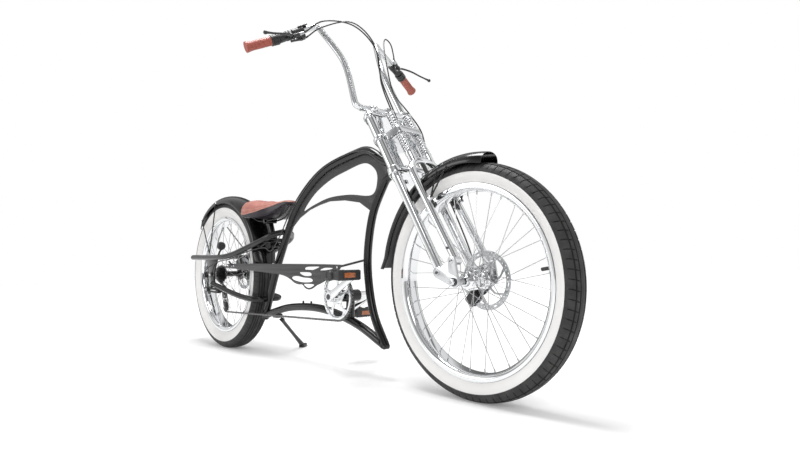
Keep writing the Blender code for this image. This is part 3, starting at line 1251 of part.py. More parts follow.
BAR_FORWARD = 0.037
BAR_H = TOP_CROWN_H[1] + BAR_RISE
BAR_BOTTOM = fork_point(BAR_FORWARD, 0.0, BAR_H)
BAR_OFFSETS = ((0.0, 0.074, 0.0), (0.0011, 0.096, 0.0014), (-0.0029, 0.105, 0.0089),
               (-0.0099, 0.109, 0.0239), (-0.0884, 0.0925, 0.1860), (-0.1689, 0.130, 0.3139),
               (-0.1799, 0.137, 0.3299), (-0.1879, 0.147, 0.3369), (-0.1959, 0.168, 0.3279),
               (-0.2029, 0.220, 0.2989), (-0.2129, 0.287, 0.2609), (-0.2456, 0.392, 0.2154))
BAR_SIDE = [BAR_BOTTOM + Vector(offset) for offset in BAR_OFFSETS]


def bar_path():
    """The whole handlebar's centre line from the right end to the left."""
    left = [Vector(p) for p in BAR_SIDE]
    return [mirrored(p) for p in reversed(left)] + left


def grip_ends():
    """Inner and outer end of the left grip."""
    inner, outer = Vector(BAR_SIDE[-2]), Vector(BAR_SIDE[-1])
    return inner, outer


def build_handlebar(body):
    """The one-piece ape-hanger handlebar."""
    make_piece("handlebar", body, tube(bar_path(), BAR_RADIUS, 2), CHROME)


def build_grip(body, side, word):
    """A grip over the bar's end, flared at its outer end, closed by a plug."""
    inner, outer = (on_side([p], side)[0] for p in grip_ends())
    along = (outer - inner).normalized()
    tip = outer + along * 0.005
    length = (tip - inner).length
    across = along.cross(Vector((0, 0, 1))).normalized()
    other = along.cross(across)
    shape = ((0.0, 0.0185), (0.004, 0.0190), (0.010, GRIP_RADIUS), (0.84, GRIP_RADIUS + 0.0004),
             (0.93, GRIP_FLARE_RADIUS), (0.985, GRIP_FLARE_RADIUS), (1.0, 0.0150))
    rings = []
    for share, radius in shape:
        share = share if share > 0.011 else share / length
        centre = inner + along * length * share
        rings.append([centre + radius * (across * math.cos(a) + other * math.sin(a))
                      for a in (2 * math.pi * k / 10 for k in range(10))])
    bore = tube(bar_path(), BAR_RADIUS + GAP, 2)
    make_piece(f"grip_{word}", body, cut(loft(rings), bore), GRIP_LEATHER)


LEVER_OFFSETS = ((-0.1809, 0.252, 0.2669), (-0.1639, 0.266, 0.2639), (-0.1469, 0.300, 0.2544),
                 (-0.1389, 0.342, 0.2424), (-0.1289, 0.385, 0.2309))
LEVER_POINTS = [BAR_BOTTOM + Vector(offset) for offset in LEVER_OFFSETS]
LEVER_PIVOT = LEVER_POINTS[0]


def bar_place(y):
    """The bar's centre and direction at a sideways distance, on the left."""
    path = [p for p in bar_path() if p.y > 0.15]
    for near, far in zip(path, path[1:]):
        if near.y <= y <= far.y:
            share = (y - near.y) / (far.y - near.y)
            return near.lerp(far, share), (far - near).normalized()
    return path[-1], (path[-1] - path[-2]).normalized()


def lever_axis():
    """The left brake lever's turning axis, square to the plane that its blade lies in."""
    first, second, last = (Vector(LEVER_POINTS[i]) for i in (0, 1, -1))
    return (second - first).cross(last - first).normalized()


def build_lever_set(fork_body, lever_body, side, word):
    """A brake perch clamped to the bar with its cable adjuster, and its lever."""
    centre, along = bar_place(0.250)
    start, end = centre - along * 0.012, centre + along * 0.012
    clamp = rod(*on_side((start, end), side), BAR_RADIUS + 0.006, 10)
    axis = lever_axis()
    pivot = LEVER_PIVOT
    ear_low = on_side([pivot - axis * 0.0090], side)[0]
    ear_high = on_side([pivot + axis * 0.0090], side)[0]
    ears = rod(ear_low, ear_high, 0.0095, 8)
    neck = rod(*on_side((centre + Vector((0.010, 0, 0)), pivot), side), 0.0085, 8)
    adjuster = rod(*on_side((pivot + Vector((0.004, -0.004, 0.004)), pivot + Vector((0.022, -0.038, 0.020))),
                            side), 0.0050, 6)
    gap_low = on_side([pivot - axis * 0.0046], side)[0]
    gap_high = on_side([pivot + axis * 0.0046], side)[0]
    gap = rod(gap_low, gap_high, 0.0200, 8)
    pin = rod(on_side([pivot - axis * 0.0070], side)[0], on_side([pivot + axis * 0.0070], side)[0], 0.0022, 8)
    perch = fused(cut(fused(clamp, neck, ears, adjuster), gap), pin)
    if side < 0:
        perch = fused(perch, *shifter_housing())
    perch = cut(perch, tube(bar_path(), BAR_RADIUS + GAP, 2))
    make_piece(f"lever_perch_{word}", fork_body, perch, BLACK_PLASTIC)
    blade_path = on_side(LEVER_POINTS, side)
    blade = tube(blade_path, 0.0042, 1)
    eye = rod(on_side([pivot - axis * 0.0043], side)[0], on_side([pivot + axis * 0.0043], side)[0], 0.0080, 10)
    tip = ball(blade_path[-1], 0.0068, rings=4, sides=6)
    pin_bore = rod(on_side([pivot - axis * 0.02], side)[0], on_side([pivot + axis * 0.02], side)[0],
                   0.0022 + RUNNING_GAP, 8)
    make_piece(f"brake_lever_{word}", lever_body, cut(fused(blade, eye, tip), pin_bore), BLACK_PLASTIC)


def shifter_pivot():
    """The thumb shifter's turning point, under the bar beside the right perch."""
    centre, _ = bar_place(0.205)
    return mirrored(centre + Vector((0.004, 0.0, -0.026)))


def shifter_housing():
    """The thumb shifter's housing and its clamp, beside the right brake perch."""
    centre, along = bar_place(0.205)
    clamp = rod(*on_side((centre - along * 0.010, centre + along * 0.046), -1), BAR_RADIUS + 0.005, 10)
    pivot = shifter_pivot()
    return clamp, rod(pivot + Vector((0, 0, -0.002)), pivot + Vector((0, 0, 0.016)), 0.018, 12)


def build_shifter_lever(lever_body):
    """The thumb shifter's lever."""
    pivot = shifter_pivot()
    top = pivot - Vector((0, 0, 0.002 + GAP))
    lever = fused(rod(top, top - Vector((0, 0, 0.005)), 0.0085, 12),
                  tube([top - Vector((0, 0, 0.0042)), top + Vector((-0.012, -0.014, -0.006)),
                        top + Vector((-0.026, -0.026, -0.008))], 0.0035, 2))
    make_piece("shifter_lever", lever_body, lever, BLACK_PLASTIC)


# Cables

FRONT_BRAKE_ROUTE = ((1.0407, 0.2128, 1.2316), (1.0520, 0.2010, 1.2430), (1.0540, 0.1850, 1.2850),
                     (1.0600, 0.1520, 1.2960), (1.0800, 0.1250, 1.2575), (1.1227, 0.1000, 1.1656),
                     (1.1740, 0.0860, 1.0400), (1.2500, 0.0900, 0.9450), (1.3000, 0.1010, 0.8700),
                     (1.3300, 0.1040, 0.7800), (1.4200, 0.1040, 0.6200), (1.4900, 0.1040, 0.4800),
                     (1.5150, 0.1060, 0.4100), (1.5120, 0.1020, 0.3700), (1.5180, 0.0900, 0.3400),
                     (1.5368, 0.0680, 0.3153))
REAR_BRAKE_ROUTE = ((1.0407, -0.2128, 1.2316), (1.1000, -0.1700, 1.2650), (1.1700, -0.0900, 1.2450),
                    (1.2300, -0.0400, 1.1500), (1.2450, -0.0330, 1.0300), (1.2700, -0.0100, 0.9300),
                    (1.2900, -0.0060, 0.8900))
SHIFT_ROUTE = ((1.00617, -0.18565, 1.23069), (1.0600, -0.1500, 1.2620), (1.1300, -0.0700, 1.2780),
               (1.2050, -0.0300, 1.1850), (1.2350, -0.0250, 1.0500), (1.2600, 0.0060, 0.9400),
               (1.2780, 0.0080, 0.9000))
FRAME_SHIFT_ROUTE = ((1.1900, -0.0225, 0.7900), (1.1150, -0.0235, 0.8150), (1.0000, -0.0235, 0.8150),
                     (0.8600, -0.0235, 0.7870), (0.7390, -0.0235, 0.7280), (0.6280, -0.0240, 0.6410),
                     (0.5500, -0.0350, 0.5300), (0.5100, -0.0560, 0.4700), (0.4600, -0.0640, 0.4850),
                     (0.3300, -0.0815, 0.4700), (0.2000, -0.0960, 0.4410), (0.0900, -0.1040, 0.4300),
                     (-0.0100, -0.1220, 0.3950), (-0.0550, -0.1240, 0.3400), (-0.0430, -0.1200, 0.3020),
                     (-0.0230, -0.1170, 0.2940))


def build_cables(fork_body, frame_body):
    """Brake and shift cables, each along its whole route."""
    for name, route, steps, body in (("front_brake_cable", FRONT_BRAKE_ROUTE, 1, fork_body),
                                     ("rear_brake_cable", REAR_BRAKE_ROUTE, 2, fork_body),
                                     ("shift_cable", SHIFT_ROUTE, 2, fork_body),
                                     ("frame_shift_cable", FRAME_SHIFT_ROUTE, 1, frame_body)):
        make_piece(name, body, tube(smooth_path(route, steps), CABLE_RADIUS, 2), BLACK_PLASTIC)


# Assembly

def main():
    """Build every body and its pieces in order."""
    clear_scene()
    frame = make_body("bicycle", Vector((0.0, 0.0, 0.0)))
    fork = make_body("fork", fork_point(0, 0, 0.885), frame)
    strut = make_body("strut", STRUT_PIVOT, fork)
    rocker = make_body("rocker", ROCKER_PIVOT, fork)
    front_wheel = make_body("front_wheel", FRONT_AXLE, rocker)
    caliper_arm = make_body("caliper_arm_pivot", caliper_arm_pivot(), rocker)
    rear_wheel = make_body("rear_wheel", REAR_AXLE, frame)
    cassette = make_body("cassette_centre", REAR_AXLE, frame)
    crankset = make_body("crankset", Vector((BRACKET_X, 0.0, BRACKET_Z)), frame)
    pedals = [make_body(f"pedal_pivot_{word}", pedal_place(side), crankset)
              for side, word in ((-1, "right"), (1, "left"))]
    cage = make_body("cage_pivot", Vector((GUIDE_PULLEY[0], CHAIN_Y, GUIDE_PULLEY[1])), frame)
    guide = make_body("guide_centre", Vector((GUIDE_PULLEY[0], CHAIN_Y, GUIDE_PULLEY[1])), cage)
    tension = make_body("tension_centre", Vector((TENSION_PULLEY[0], CHAIN_Y, TENSION_PULLEY[1])), cage)
    kickstand = make_body("kickstand_pivot", KICKSTAND_PIVOT, frame)
    seat = make_body("seat", SEAT_POST_FOOT, frame)
    levers = [make_body(f"lever_pivot_{word}", Vector((LEVER_PIVOT.x, side * LEVER_PIVOT.y, LEVER_PIVOT.z)),
                        fork) for side, word in ((-1, "right"), (1, "left"))]
    shifter = make_body("shifter_pivot", shifter_pivot(), fork)

    build_main_frame(frame)
    build_rear_stays(frame)
    build_rear_fender(frame)
    build_chain_guard(frame)
    build_rear_brake(frame)
    build_reflector(frame)
    make_piece("rear_axle", frame, axle_bar(REAR_AXLE, 0.116, DROPOUT_Y, {1: 0.0765, -1: 0.0770}), STEEL)
    build_rear_wheel(rear_wheel)
    build_cassette(cassette)
    build_chain(frame)
    build_crankset(crankset)
    for (side, word), body in zip(((-1, "right"), (1, "left")), pedals):
        build_pedal(body, side, word)
    build_derailleur(frame, cage, guide, tension)
    build_kickstand(kickstand)
    build_seat(seat)
    build_crowns(fork)
    for side, word in ((-1, "right"), (1, "left")):
        build_fork_leg(fork, side, word)
        build_grip(fork, side, word)
        build_rocker(rocker, side, word)
    build_strut(strut)
    build_fork_springs(fork)
    build_front_fender(strut)
    make_piece("front_axle", rocker, axle_bar(FRONT_AXLE, 0.108, ROCKER_PLATE_Y, {1: 0.0575, -1: 0.0530}),
               STEEL)
    build_front_wheel(front_wheel)
    build_front_brake(rocker, caliper_arm)
    build_handlebar(fork)
    for (side, word), body in zip(((-1, "right"), (1, "left")), levers):
        build_lever_set(fork, body, side, word)
    build_shifter_lever(shifter)
    build_cables(fork, frame)


main()
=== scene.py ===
"""The finished look of a stretch cruiser bicycle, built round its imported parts.

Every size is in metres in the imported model's frame. Places named in the bicycle's plan run x forward from
the rear axle, y to the rider's left and z up from the floor, and plan() shifts them into that frame.
"""

import logging
from dataclasses import dataclass, field
from enum import Enum
from functools import lru_cache
from math import asin, atan2, copysign, cos, exp, hypot, pi, radians, sin, sqrt, tau
from typing import Callable, Dict, List, Optional, Sequence, Tuple, Union

import bmesh
import bpy
from mathutils import Matrix, Vector


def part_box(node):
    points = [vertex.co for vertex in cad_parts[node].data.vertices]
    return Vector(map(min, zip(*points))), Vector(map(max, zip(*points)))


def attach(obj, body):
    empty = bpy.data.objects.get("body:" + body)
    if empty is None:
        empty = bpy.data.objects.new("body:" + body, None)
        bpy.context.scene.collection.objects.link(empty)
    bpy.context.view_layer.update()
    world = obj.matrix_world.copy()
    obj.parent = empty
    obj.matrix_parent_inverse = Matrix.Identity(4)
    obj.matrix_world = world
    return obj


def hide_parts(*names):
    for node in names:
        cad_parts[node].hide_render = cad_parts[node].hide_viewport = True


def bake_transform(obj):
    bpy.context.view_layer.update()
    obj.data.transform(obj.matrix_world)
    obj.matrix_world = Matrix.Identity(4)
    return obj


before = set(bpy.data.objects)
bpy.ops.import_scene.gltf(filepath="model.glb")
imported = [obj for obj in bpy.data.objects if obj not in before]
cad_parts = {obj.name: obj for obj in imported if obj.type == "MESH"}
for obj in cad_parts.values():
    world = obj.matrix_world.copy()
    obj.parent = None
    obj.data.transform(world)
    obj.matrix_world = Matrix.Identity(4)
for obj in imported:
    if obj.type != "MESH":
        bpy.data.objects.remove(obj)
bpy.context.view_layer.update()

logging.basicConfig(level=logging.INFO, format="%(message)s")
LOG = logging.getLogger("cruiser")

Pair = Tuple[float, float]
Triple = Tuple[float, float, float]
Outline = Sequence[Pair]
Route = Sequence[Triple]
Place = Union[Vector, Triple]
Colour = Sequence[float]
Socket = bpy.types.NodeSocket
Sockets = bpy.types.bpy_prop_collection
Number = Union[float, Socket]
Inputs = Dict[Union[str, int], object]

SIDES = ((-1, "right"), (1, "left"))
ALONG_Y = Vector((0.0, 1.0, 0.0))
ALONG_Z = Vector((0.0, 0.0, 1.0))
WHITE = (1.0, 1.0, 1.0, 1.0)


def axle_of(tyre: str) -> Vector:
    """Middle of a wheel, from its tyre's box.

    Args:
        tyre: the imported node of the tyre.

    Returns:
        The axle's place in the bicycle's middle plane.
    """
    low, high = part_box(tyre)
    return Vector(((low.x + high.x) / 2, 0.0, (low.z + high.z) / 2))


REAR_AXLE = axle_of("rear_tyre")
FRONT_AXLE = axle_of("front_tyre")


def plan(x: float, y: float = 0.0, z: float = 0.0) -> Vector:
    """A place of the bicycle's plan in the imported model's frame."""
    return Vector((x + REAR_AXLE.x, y, z))


def plan_points(points: Sequence[Sequence[float]], side: int = 1) -> List[Vector]:
    """Plan places given for the left side, on the asked side.

    Args:
        points: (x, y, z) places, or (x, z) pairs in the middle plane.
        side: 1 for the left side and -1 for the right.

    Returns:
        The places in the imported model's frame.
    """
    return [plan(p[0], p[1] * side, p[2]) if len(p) == 3 else plan(p[0], 0.0, p[1]) for p in points]


@dataclass(frozen=True)
class ForkFrame:
    """The steering axis and the sprung hoop's plane, in which the fork's places are written."""

    rake: float = radians(30.7)
    foot: Pair = (1.73, -0.0229)
    hoop_forward: float = 0.1115
    hoop_lean: float = -0.0164
    rocker_height: float = 0.4349
    bar_forward: float = 0.037
    bar_height: float = 1.1026

    @property
    def up(self) -> Vector:
        """Direction of the steering axis, upwards."""
        return Vector((-sin(self.rake), 0.0, cos(self.rake)))

    @property
    def forward(self) -> Vector:
        """Direction square to the steering axis, forwards."""
        return Vector((cos(self.rake), 0.0, sin(self.rake)))

    def place(self, forward: float, y: float, height: float) -> Vector:
        """A place forward of the axis, sideways and up along it."""
        return plan(self.foot[0], y, self.foot[1]) + forward * self.forward + height * self.up

    def hoop(self, y: float, height: float) -> Vector:
        """A place in the hoop's plane."""
        return self.place(self.hoop_forward + self.hoop_lean * (height - self.rocker_height), y, height)

    def matrix(self) -> Matrix:
        """The fork's own frame: X forward, Y to the left and Z up along the axis."""
        turn = Matrix((self.forward, ALONG_Y, self.up)).transposed().to_4x4()
        return Matrix.Translation(plan(self.foot[0], 0.0, self.foot[1])) @ turn


FORK = ForkFrame()
SIDE_VIEW = Matrix.Translation((REAR_AXLE.x, 0.0, 0.0)) @ Matrix(((1, 0, 0, 0), (0, 0, 1, 0), (0, 1, 0, 0),
    (0, 0, 0, 1)))


# Materials

class Wiring:
    """Adds nodes and links to one node tree."""

    def __init__(self, tree: bpy.types.NodeTree) -> None:
        """Keep the tree that the nodes go into."""
        self.tree = tree

    def feed(self, node: bpy.types.Node, inputs: Inputs) -> None:
        """Link sockets or set values on a node's inputs."""
        for key, value in inputs.items():
            if isinstance(value, Socket):
                self.tree.links.new(value, node.inputs[key])
            else:
                node.inputs[key].default_value = value

    def node(self, kind: str, inputs: Optional[Inputs] = None, **settings: object) -> Sockets:
        """Add a node.

        Args:
            kind: its type, without Blender's prefix.
            inputs: values or source sockets by input name or index.
            settings: attributes set on the node.

        Returns:
            The node's outputs.
        """
        made = self.tree.nodes.new(f"ShaderNode{kind}")
        for key, value in settings.items():
            setattr(made, key, value)
        self.feed(made, inputs or {})
        return made.outputs

    def place(self) -> Socket:
        """Coordinates in the piece's own space."""
        return self.node("TexCoord")["Object"]

    def noise(self, scale: Number, detail: float, roughness: float = 0.5) -> Socket:
        """Cloudy noise in the piece's own space."""
        return self.node("TexNoise", {"Vector": self.place(), "Scale": scale, "Detail": detail,
            "Roughness": roughness})[0]

    def maths(self, operation: str, first: Number, second: Number, clamp: bool = False) -> Socket:
        """Work out one value from two."""
        return self.node("Math", {0: first, 1: second}, operation=operation, use_clamp=clamp)[0]

    def ramp(self, source: Socket, low: Number, high: Number, out_low: Number, out_high: Number) -> Socket:
        """Map a value from one range to another, clamped."""
        return self.node("MapRange", {"Value": source, "From Min": low, "From Max": high, "To Min": out_low,
            "To Max": out_high})["Result"]

    def mix(self, share: Socket, first: Colour, second: Colour) -> Socket:
        """Mix two colours by a mask."""
        return self.node("Mix", {0: share, 6: (*first, 1.0), 7: (*second, 1.0)}, data_type="RGBA")[2]

    def bump(self, strength: Number, distance: Number, height: Socket) -> Socket:
        """A normal from a height."""
        return self.node("Bump", {"Strength": strength, "Distance": distance, "Height": height})["Normal"]

    def group(self, tree: bpy.types.NodeTree, **values: float) -> Sockets:
        """Place a node group with its own values."""
        return self.node("Group", values, node_tree=tree)


def new_group(name: str, inputs: Dict[str, float],
        make: Callable[[Wiring, Sockets], Dict[str, Socket]]) -> bpy.types.NodeTree:
    """Build a shader node group with named sockets.

    Args:
        name: the group's name.
        inputs: its number inputs with their default values.
        make: wires the group up and gives what goes to each of its outputs.

    Returns:
        The group.
    """
    group = bpy.data.node_groups.new(name, "ShaderNodeTree")
    for label, value in inputs.items():
        socket = group.interface.new_socket(name=label, in_out="INPUT", socket_type="NodeSocketFloat")
        socket.default_value = value
    wiring = Wiring(group)
    results = make(wiring, group.nodes.new("NodeGroupInput").outputs)
    for label in results:
        kind = "NodeSocketVector" if label == "Normal" else "NodeSocketFloat"
        group.interface.new_socket(name=label, in_out="OUTPUT", socket_type=kind)
    wiring.feed(group.nodes.new("NodeGroupOutput"), results)
    return group


def grain(wiring: Wiring, given: Sockets) -> Dict[str, Socket]:
    """Fine bumps of a moulded or painted skin."""
    return {"Normal": wiring.bump(given["Strength"], given["Depth"], wiring.noise(given["Scale"], 3.0))}


def smudge(wiring: Wiring, given: Sockets) -> Dict[str, Socket]:
    """Hand marks and drying streaks: a roughness that drifts between two values."""
    cloud = wiring.noise(given["Scale"], 5.0, 0.62)
    return {"Roughness": wiring.ramp(cloud, 0.35, 0.7, given["Low"], given["High"])}


def edge_wear(wiring: Wiring, given: Sockets) -> Dict[str, Socket]:
    """A mask that is 1 on sharp outer edges, broken up by noise."""
    end = wiring.maths("ADD", given["Start"], 0.16)
    sharp = wiring.ramp(wiring.node("NewGeometry")["Pointiness"], given["Start"], end, 0.0, 1.0)
    broken = wiring.maths("MULTIPLY", sharp, wiring.noise(given["Scale"], 4.0))
    return {"Mask": wiring.maths("MULTIPLY", broken, given["Amount"], True)}


def hide(wiring: Wiring, given: Sockets) -> Dict[str, Socket]:
    """Leather's pebbled hide with its creases: a mask of the hollows and a normal."""
    cells = wiring.node("TexVoronoi", {"Vector": wiring.place(), "Scale": given["Scale"]},
        feature="DISTANCE_TO_EDGE")
    soft = wiring.ramp(cells["Distance"], 0.0, 0.18, 0.0, 1.0)
    height = wiring.maths("MULTIPLY", soft, wiring.noise(60.0, 6.0))
    return {"Hollows": height, "Normal": wiring.bump(given["Strength"], given["Depth"], height)}


GRAIN = new_group("fine_grain", {"Scale": 900.0, "Strength": 0.2, "Depth": 0.0002}, grain)
SMUDGE = new_group("smudge", {"Scale": 14.0, "Low": 0.05, "High": 0.12}, smudge)
EDGE_WEAR = new_group("edge_wear", {"Start": 0.56, "Amount": 0.6, "Scale": 160.0}, edge_wear)
HIDE = new_group("leather_hide", {"Scale": 420.0, "Depth": 0.0004, "Strength": 0.7}, hide)


@dataclass(frozen=True)
class Recipe:
    """A material's colour, its range of roughness and what else goes into its shader."""

    colour: Triple
    low: float
    high: float

    def inputs(self, wiring: Wiring) -> Inputs:
        """What goes into the Principled shader, by input name."""
        raise NotImplementedError

    def rough(self, wiring: Wiring, scale: float) -> Socket:
        """Roughness with smudges of a scale."""
        return wiring.group(SMUDGE, Scale=scale, Low=self.low, High=self.high)["Roughness"]

    def build(self, name: str) -> bpy.types.Material:
        """Make the material."""
        material = bpy.data.materials.new(name)
        material.use_nodes = True
        wiring = Wiring(material.node_tree)
        wiring.feed(material.node_tree.nodes["Principled BSDF"], self.inputs(wiring))
        return material


@dataclass(frozen=True)
class Metal(Recipe):
    """Bare or plated metal with worn edges, and grain or drawn streaks where asked."""

    grain: float = 0.0
    streaks: bool = False

    def inputs(self, wiring: Wiring) -> Inputs:
        """Mirror-like, a little darker on worn edges."""
        wear = wiring.group(EDGE_WEAR, Start=0.57, Amount=0.5, Scale=220.0)["Mask"]
        result = {"Metallic": 1.0, "Roughness": self.rough(wiring, 22.0),
            "Base Color": wiring.mix(wear, self.colour, [c * 0.82 for c in self.colour])}
        if self.streaks:
            stretch = wiring.node("Mapping", {"Vector": wiring.place(), "Scale": (90.0, 900.0, 90.0)})[0]
            lines = wiring.node("TexNoise", {"Vector": stretch, "Scale": 1.0})[0]
            result["Normal"] = wiring.bump(0.25, 0.0002, lines)
        elif self.grain:
            result["Normal"] = wiring.group(GRAIN, Scale=1400.0, Strength=self.grain, Depth=0.0001)["Normal"]
        return result


@dataclass(frozen=True)
class Paint(Recipe):
    """Sprayed enamel under clear lacquer, with a faint orange peel."""

    coat: float

    def inputs(self, wiring: Wiring) -> Inputs:
        """Enamel, lighter where its edges have worn."""
        wear = wiring.group(EDGE_WEAR, Start=0.6, Amount=0.35, Scale=300.0)["Mask"]
        lighter = [min(1.0, c * 1.8 + 0.01) for c in self.colour]
        return {"Base Color": wiring.mix(wear, self.colour, lighter), "Roughness": self.rough(wiring, 9.0),
            "Normal": wiring.group(GRAIN, Scale=260.0, Strength=0.06, Depth=0.0004)["Normal"],
            "Coat Weight": self.coat, "Coat Roughness": 0.04, "Specular IOR Level": 0.35}


@dataclass(frozen=True)
class Moulded(Recipe):
    """Rubber or plastic from a mould: a matt skin with fine grain and a little dust in clouds."""

    grain: float
    scale: float
    dust: float

    def inputs(self, wiring: Wiring) -> Inputs:
        """Matt, dusted in clouds."""
        share = wiring.ramp(wiring.noise(26.0, 6.0), 0.45, 0.75, 0.0, self.dust)
        lighter = [0.75 * c + 0.25 * g for c, g in zip(self.colour, (0.3, 0.28, 0.25))]
        skin = wiring.group(GRAIN, Scale=self.scale, Strength=self.grain, Depth=0.0002)
        return {"Base Color": wiring.mix(share, self.colour, lighter), "Roughness": self.rough(wiring, 18.0),
            "Normal": skin["Normal"]}


@dataclass(frozen=True)
class Leather(Recipe):
    """Dyed hide: pebbled grain, uneven colour and creases painted darker as shade."""

    shade: Triple
    scale: float
    depth: float
    # How much of the darker colour is painted into the creases as shade.
    crease_shade: float = 0.5

    def inputs(self, wiring: Wiring) -> Inputs:
        """Two dyes in clouds; the darker one is also painted into the creases as shade."""
        skin = wiring.group(HIDE, Scale=self.scale, Depth=self.depth, Strength=0.6)
        cloud = wiring.ramp(wiring.noise(34.0, 7.0, 0.6), 0.35, 0.7, 0.0, 0.7)
        # Painted shade: the darker colour also goes into the grain's creases.
        share = wiring.maths("ADD", cloud, wiring.ramp(skin["Hollows"], 0.0, 0.35, self.crease_shade, 0.0), True)
        return {"Base Color": wiring.mix(share, self.colour, self.shade), "Roughness": self.rough(wiring,
            30.0), "Normal": skin["Normal"]}


@dataclass(frozen=True)
class Lens(Recipe):
    """A moulded reflector: clear-coated plastic over small cube corners."""

    def inputs(self, wiring: Wiring) -> Inputs:
        """Darker between its cells."""
        cells = wiring.node("TexVoronoi", {"Vector": wiring.place(), "Scale": 260.0, "Randomness": 0.0})
        share = wiring.ramp(cells["Distance"], 0.1, 0.6, 0.0, 1.0)
        return {"Base Color": wiring.mix(share, self.colour, [c * 0.45 for c in self.colour]),
            "Roughness": self.low, "Coat Weight": 1.0, "Normal": wiring.bump(0.6, 0.0006, cells["Distance"])}


class Finish(Enum):
    """Every finish on the bicycle, with the recipe of its material."""

    CHROME = Metal((0.74, 0.75, 0.76), 0.03, 0.08)
    POLISHED = Metal((0.66, 0.67, 0.68), 0.15, 0.24)
    SPOKE = Metal((0.42, 0.42, 0.43), 0.2, 0.32)
    SATIN = Metal((0.55, 0.56, 0.57), 0.24, 0.36, grain=0.15)
    STEEL = Metal((0.44, 0.45, 0.46), 0.24, 0.4, streaks=True)
    DARK_STEEL = Metal((0.09, 0.09, 0.095), 0.28, 0.42, grain=0.2)
    CHAIN_STEEL = Metal((0.15, 0.15, 0.15), 0.24, 0.38, grain=0.2)
    BLACK_ENAMEL = Paint((0.003, 0.003, 0.0033), 0.12, 0.22, 0.15)
    GREY_ENAMEL = Paint((0.034, 0.034, 0.036), 0.34, 0.46, 0.1)
    TREAD = Moulded((0.017, 0.017, 0.018), 0.55, 0.72, 0.35, 700.0, 0.35)
    # Painted shade: the walls and bottoms of the tread's cuts take this darker rubber in place of the shade
    # that falls in them.
    GROOVE = Moulded((0.004, 0.004, 0.004), 0.75, 0.9, 0.3, 700.0, 0.1)
    WHITEWALL = Moulded((0.8, 0.79, 0.78), 0.42, 0.55, 0.12, 900.0, 0.06)
    PLASTIC = Moulded((0.018, 0.018, 0.019), 0.36, 0.5, 0.25, 1300.0, 0.2)
    CABLE = Moulded((0.014, 0.014, 0.015), 0.24, 0.34, 0.08, 900.0, 0.1)
    SKIRT = Moulded((0.02, 0.016, 0.022), 0.34, 0.48, 0.3, 800.0, 0.2)
    THREAD = Moulded((0.72, 0.5, 0.42), 0.55, 0.7, 0.4, 2400.0, 0.0)
    GRIP = Leather((0.4, 0.1, 0.07), 0.42, 0.55, (0.32, 0.072, 0.05), 1500.0, 0.00006, 0.1)
    SADDLE = Leather((0.46, 0.19, 0.155), 0.46, 0.62, (0.31, 0.11, 0.086), 700.0, 0.0003)
    # Painted shade: a darker leather for the faces pressed in by the tooling, standing in for the shade in
    # the pattern's hollows.
    SADDLE_TOOLED = Leather((0.26, 0.08, 0.062), 0.46, 0.62, (0.18, 0.05, 0.038), 700.0, 0.0003)
    PIPING = Leather((0.5, 0.26, 0.21), 0.38, 0.58, (0.4, 0.18, 0.14), 900.0, 0.0002)
    AMBER = Lens((0.82, 0.2, 0.02), 0.16, 0.16)
    RED = Lens((0.55, 0.02, 0.02), 0.16, 0.16)

    @lru_cache(maxsize=None)
    def material(self) -> bpy.types.Material:
        """The finish's material, made the first time that it is asked for."""
        return self.value.build(self.name.lower())


# Shapes

def add_object(name: str, data: bpy.types.ID) -> bpy.types.Object:
    """Put a mesh, light, camera or curve into the scene."""
    made = bpy.data.objects.new(name, data)
    bpy.context.scene.collection.objects.link(made)
    return made


def polar(centre: Pair, radius: float, angle: float) -> Pair:
    """A point at a distance and an angle from a centre."""
    return centre[0] + radius * cos(angle), centre[1] + radius * sin(angle)


def round_angles(count: int) -> List[float]:
    """Angles spaced evenly round a circle."""
    return [tau * k / count for k in range(count)]


def squarish(value: float, power: float) -> float:
    """A sine or cosine bent so that a round section turns squarer."""
    return copysign(abs(value) ** power, value)


def swept(centre: Pair, ring: Outline, start: float) -> List[Pair]:
    """An outline given in (radius, angle) pairs, turned to a start angle."""
    return [polar(centre, radius, start + angle) for radius, angle in ring]


def circle(centre: Pair, radius: float, sides: int = 24) -> List[Pair]:
    """Points round a circle in a plane."""
    return [polar(centre, radius, angle) for angle in round_angles(sides)]


def flat_place(place: Vector) -> Pair:
    """A place's x and z in the bicycle's plan."""
    return place.x - REAR_AXLE.x, place.z


def round_axle(axle: Vector, radius: float, y: float, angle: float) -> Vector:
    """A place by its radius round an axle, its y and its angle from the front, upwards."""
    return axle + Vector((radius * cos(angle), y, radius * sin(angle)))


def belt(circles: Sequence[Tuple[Pair, float]], sides: int = 48) -> List[Pair]:
    """The outline of a belt pulled round some circles.

    Args:
        circles: each circle's centre and radius.
        sides: points to a circle.

    Returns:
        The outline, anticlockwise.
    """
    points = sorted({p for centre, radius in circles for p in circle(centre, radius, sides)})

    def half(sequence: Outline) -> List[Pair]:
        """One half of the outline."""
        chain: List[Pair] = []
        for p in sequence:
            while len(chain) > 1:
                ax, ay = chain[-1][0] - chain[-2][0], chain[-1][1] - chain[-2][1]
                if ax * (p[1] - chain[-1][1]) - ay * (p[0] - chain[-1][0]) > 1e-9:
                    break
                chain.pop()
            chain.append(p)
        return chain[:-1]

    return half(points) + half(points[::-1])


def blend_knots(a: Vector, b: Vector, c: Vector, d: Vector, t: float) -> Vector:
    """A place between b and c on the Catmull-Rom curve through four knots."""
    return 0.5 * (2 * b + (c - a) * t + (2 * a - 5 * b + 4 * c - d) * t ** 2 + (3 * b - a - 3 * c + d)
        * t ** 3)


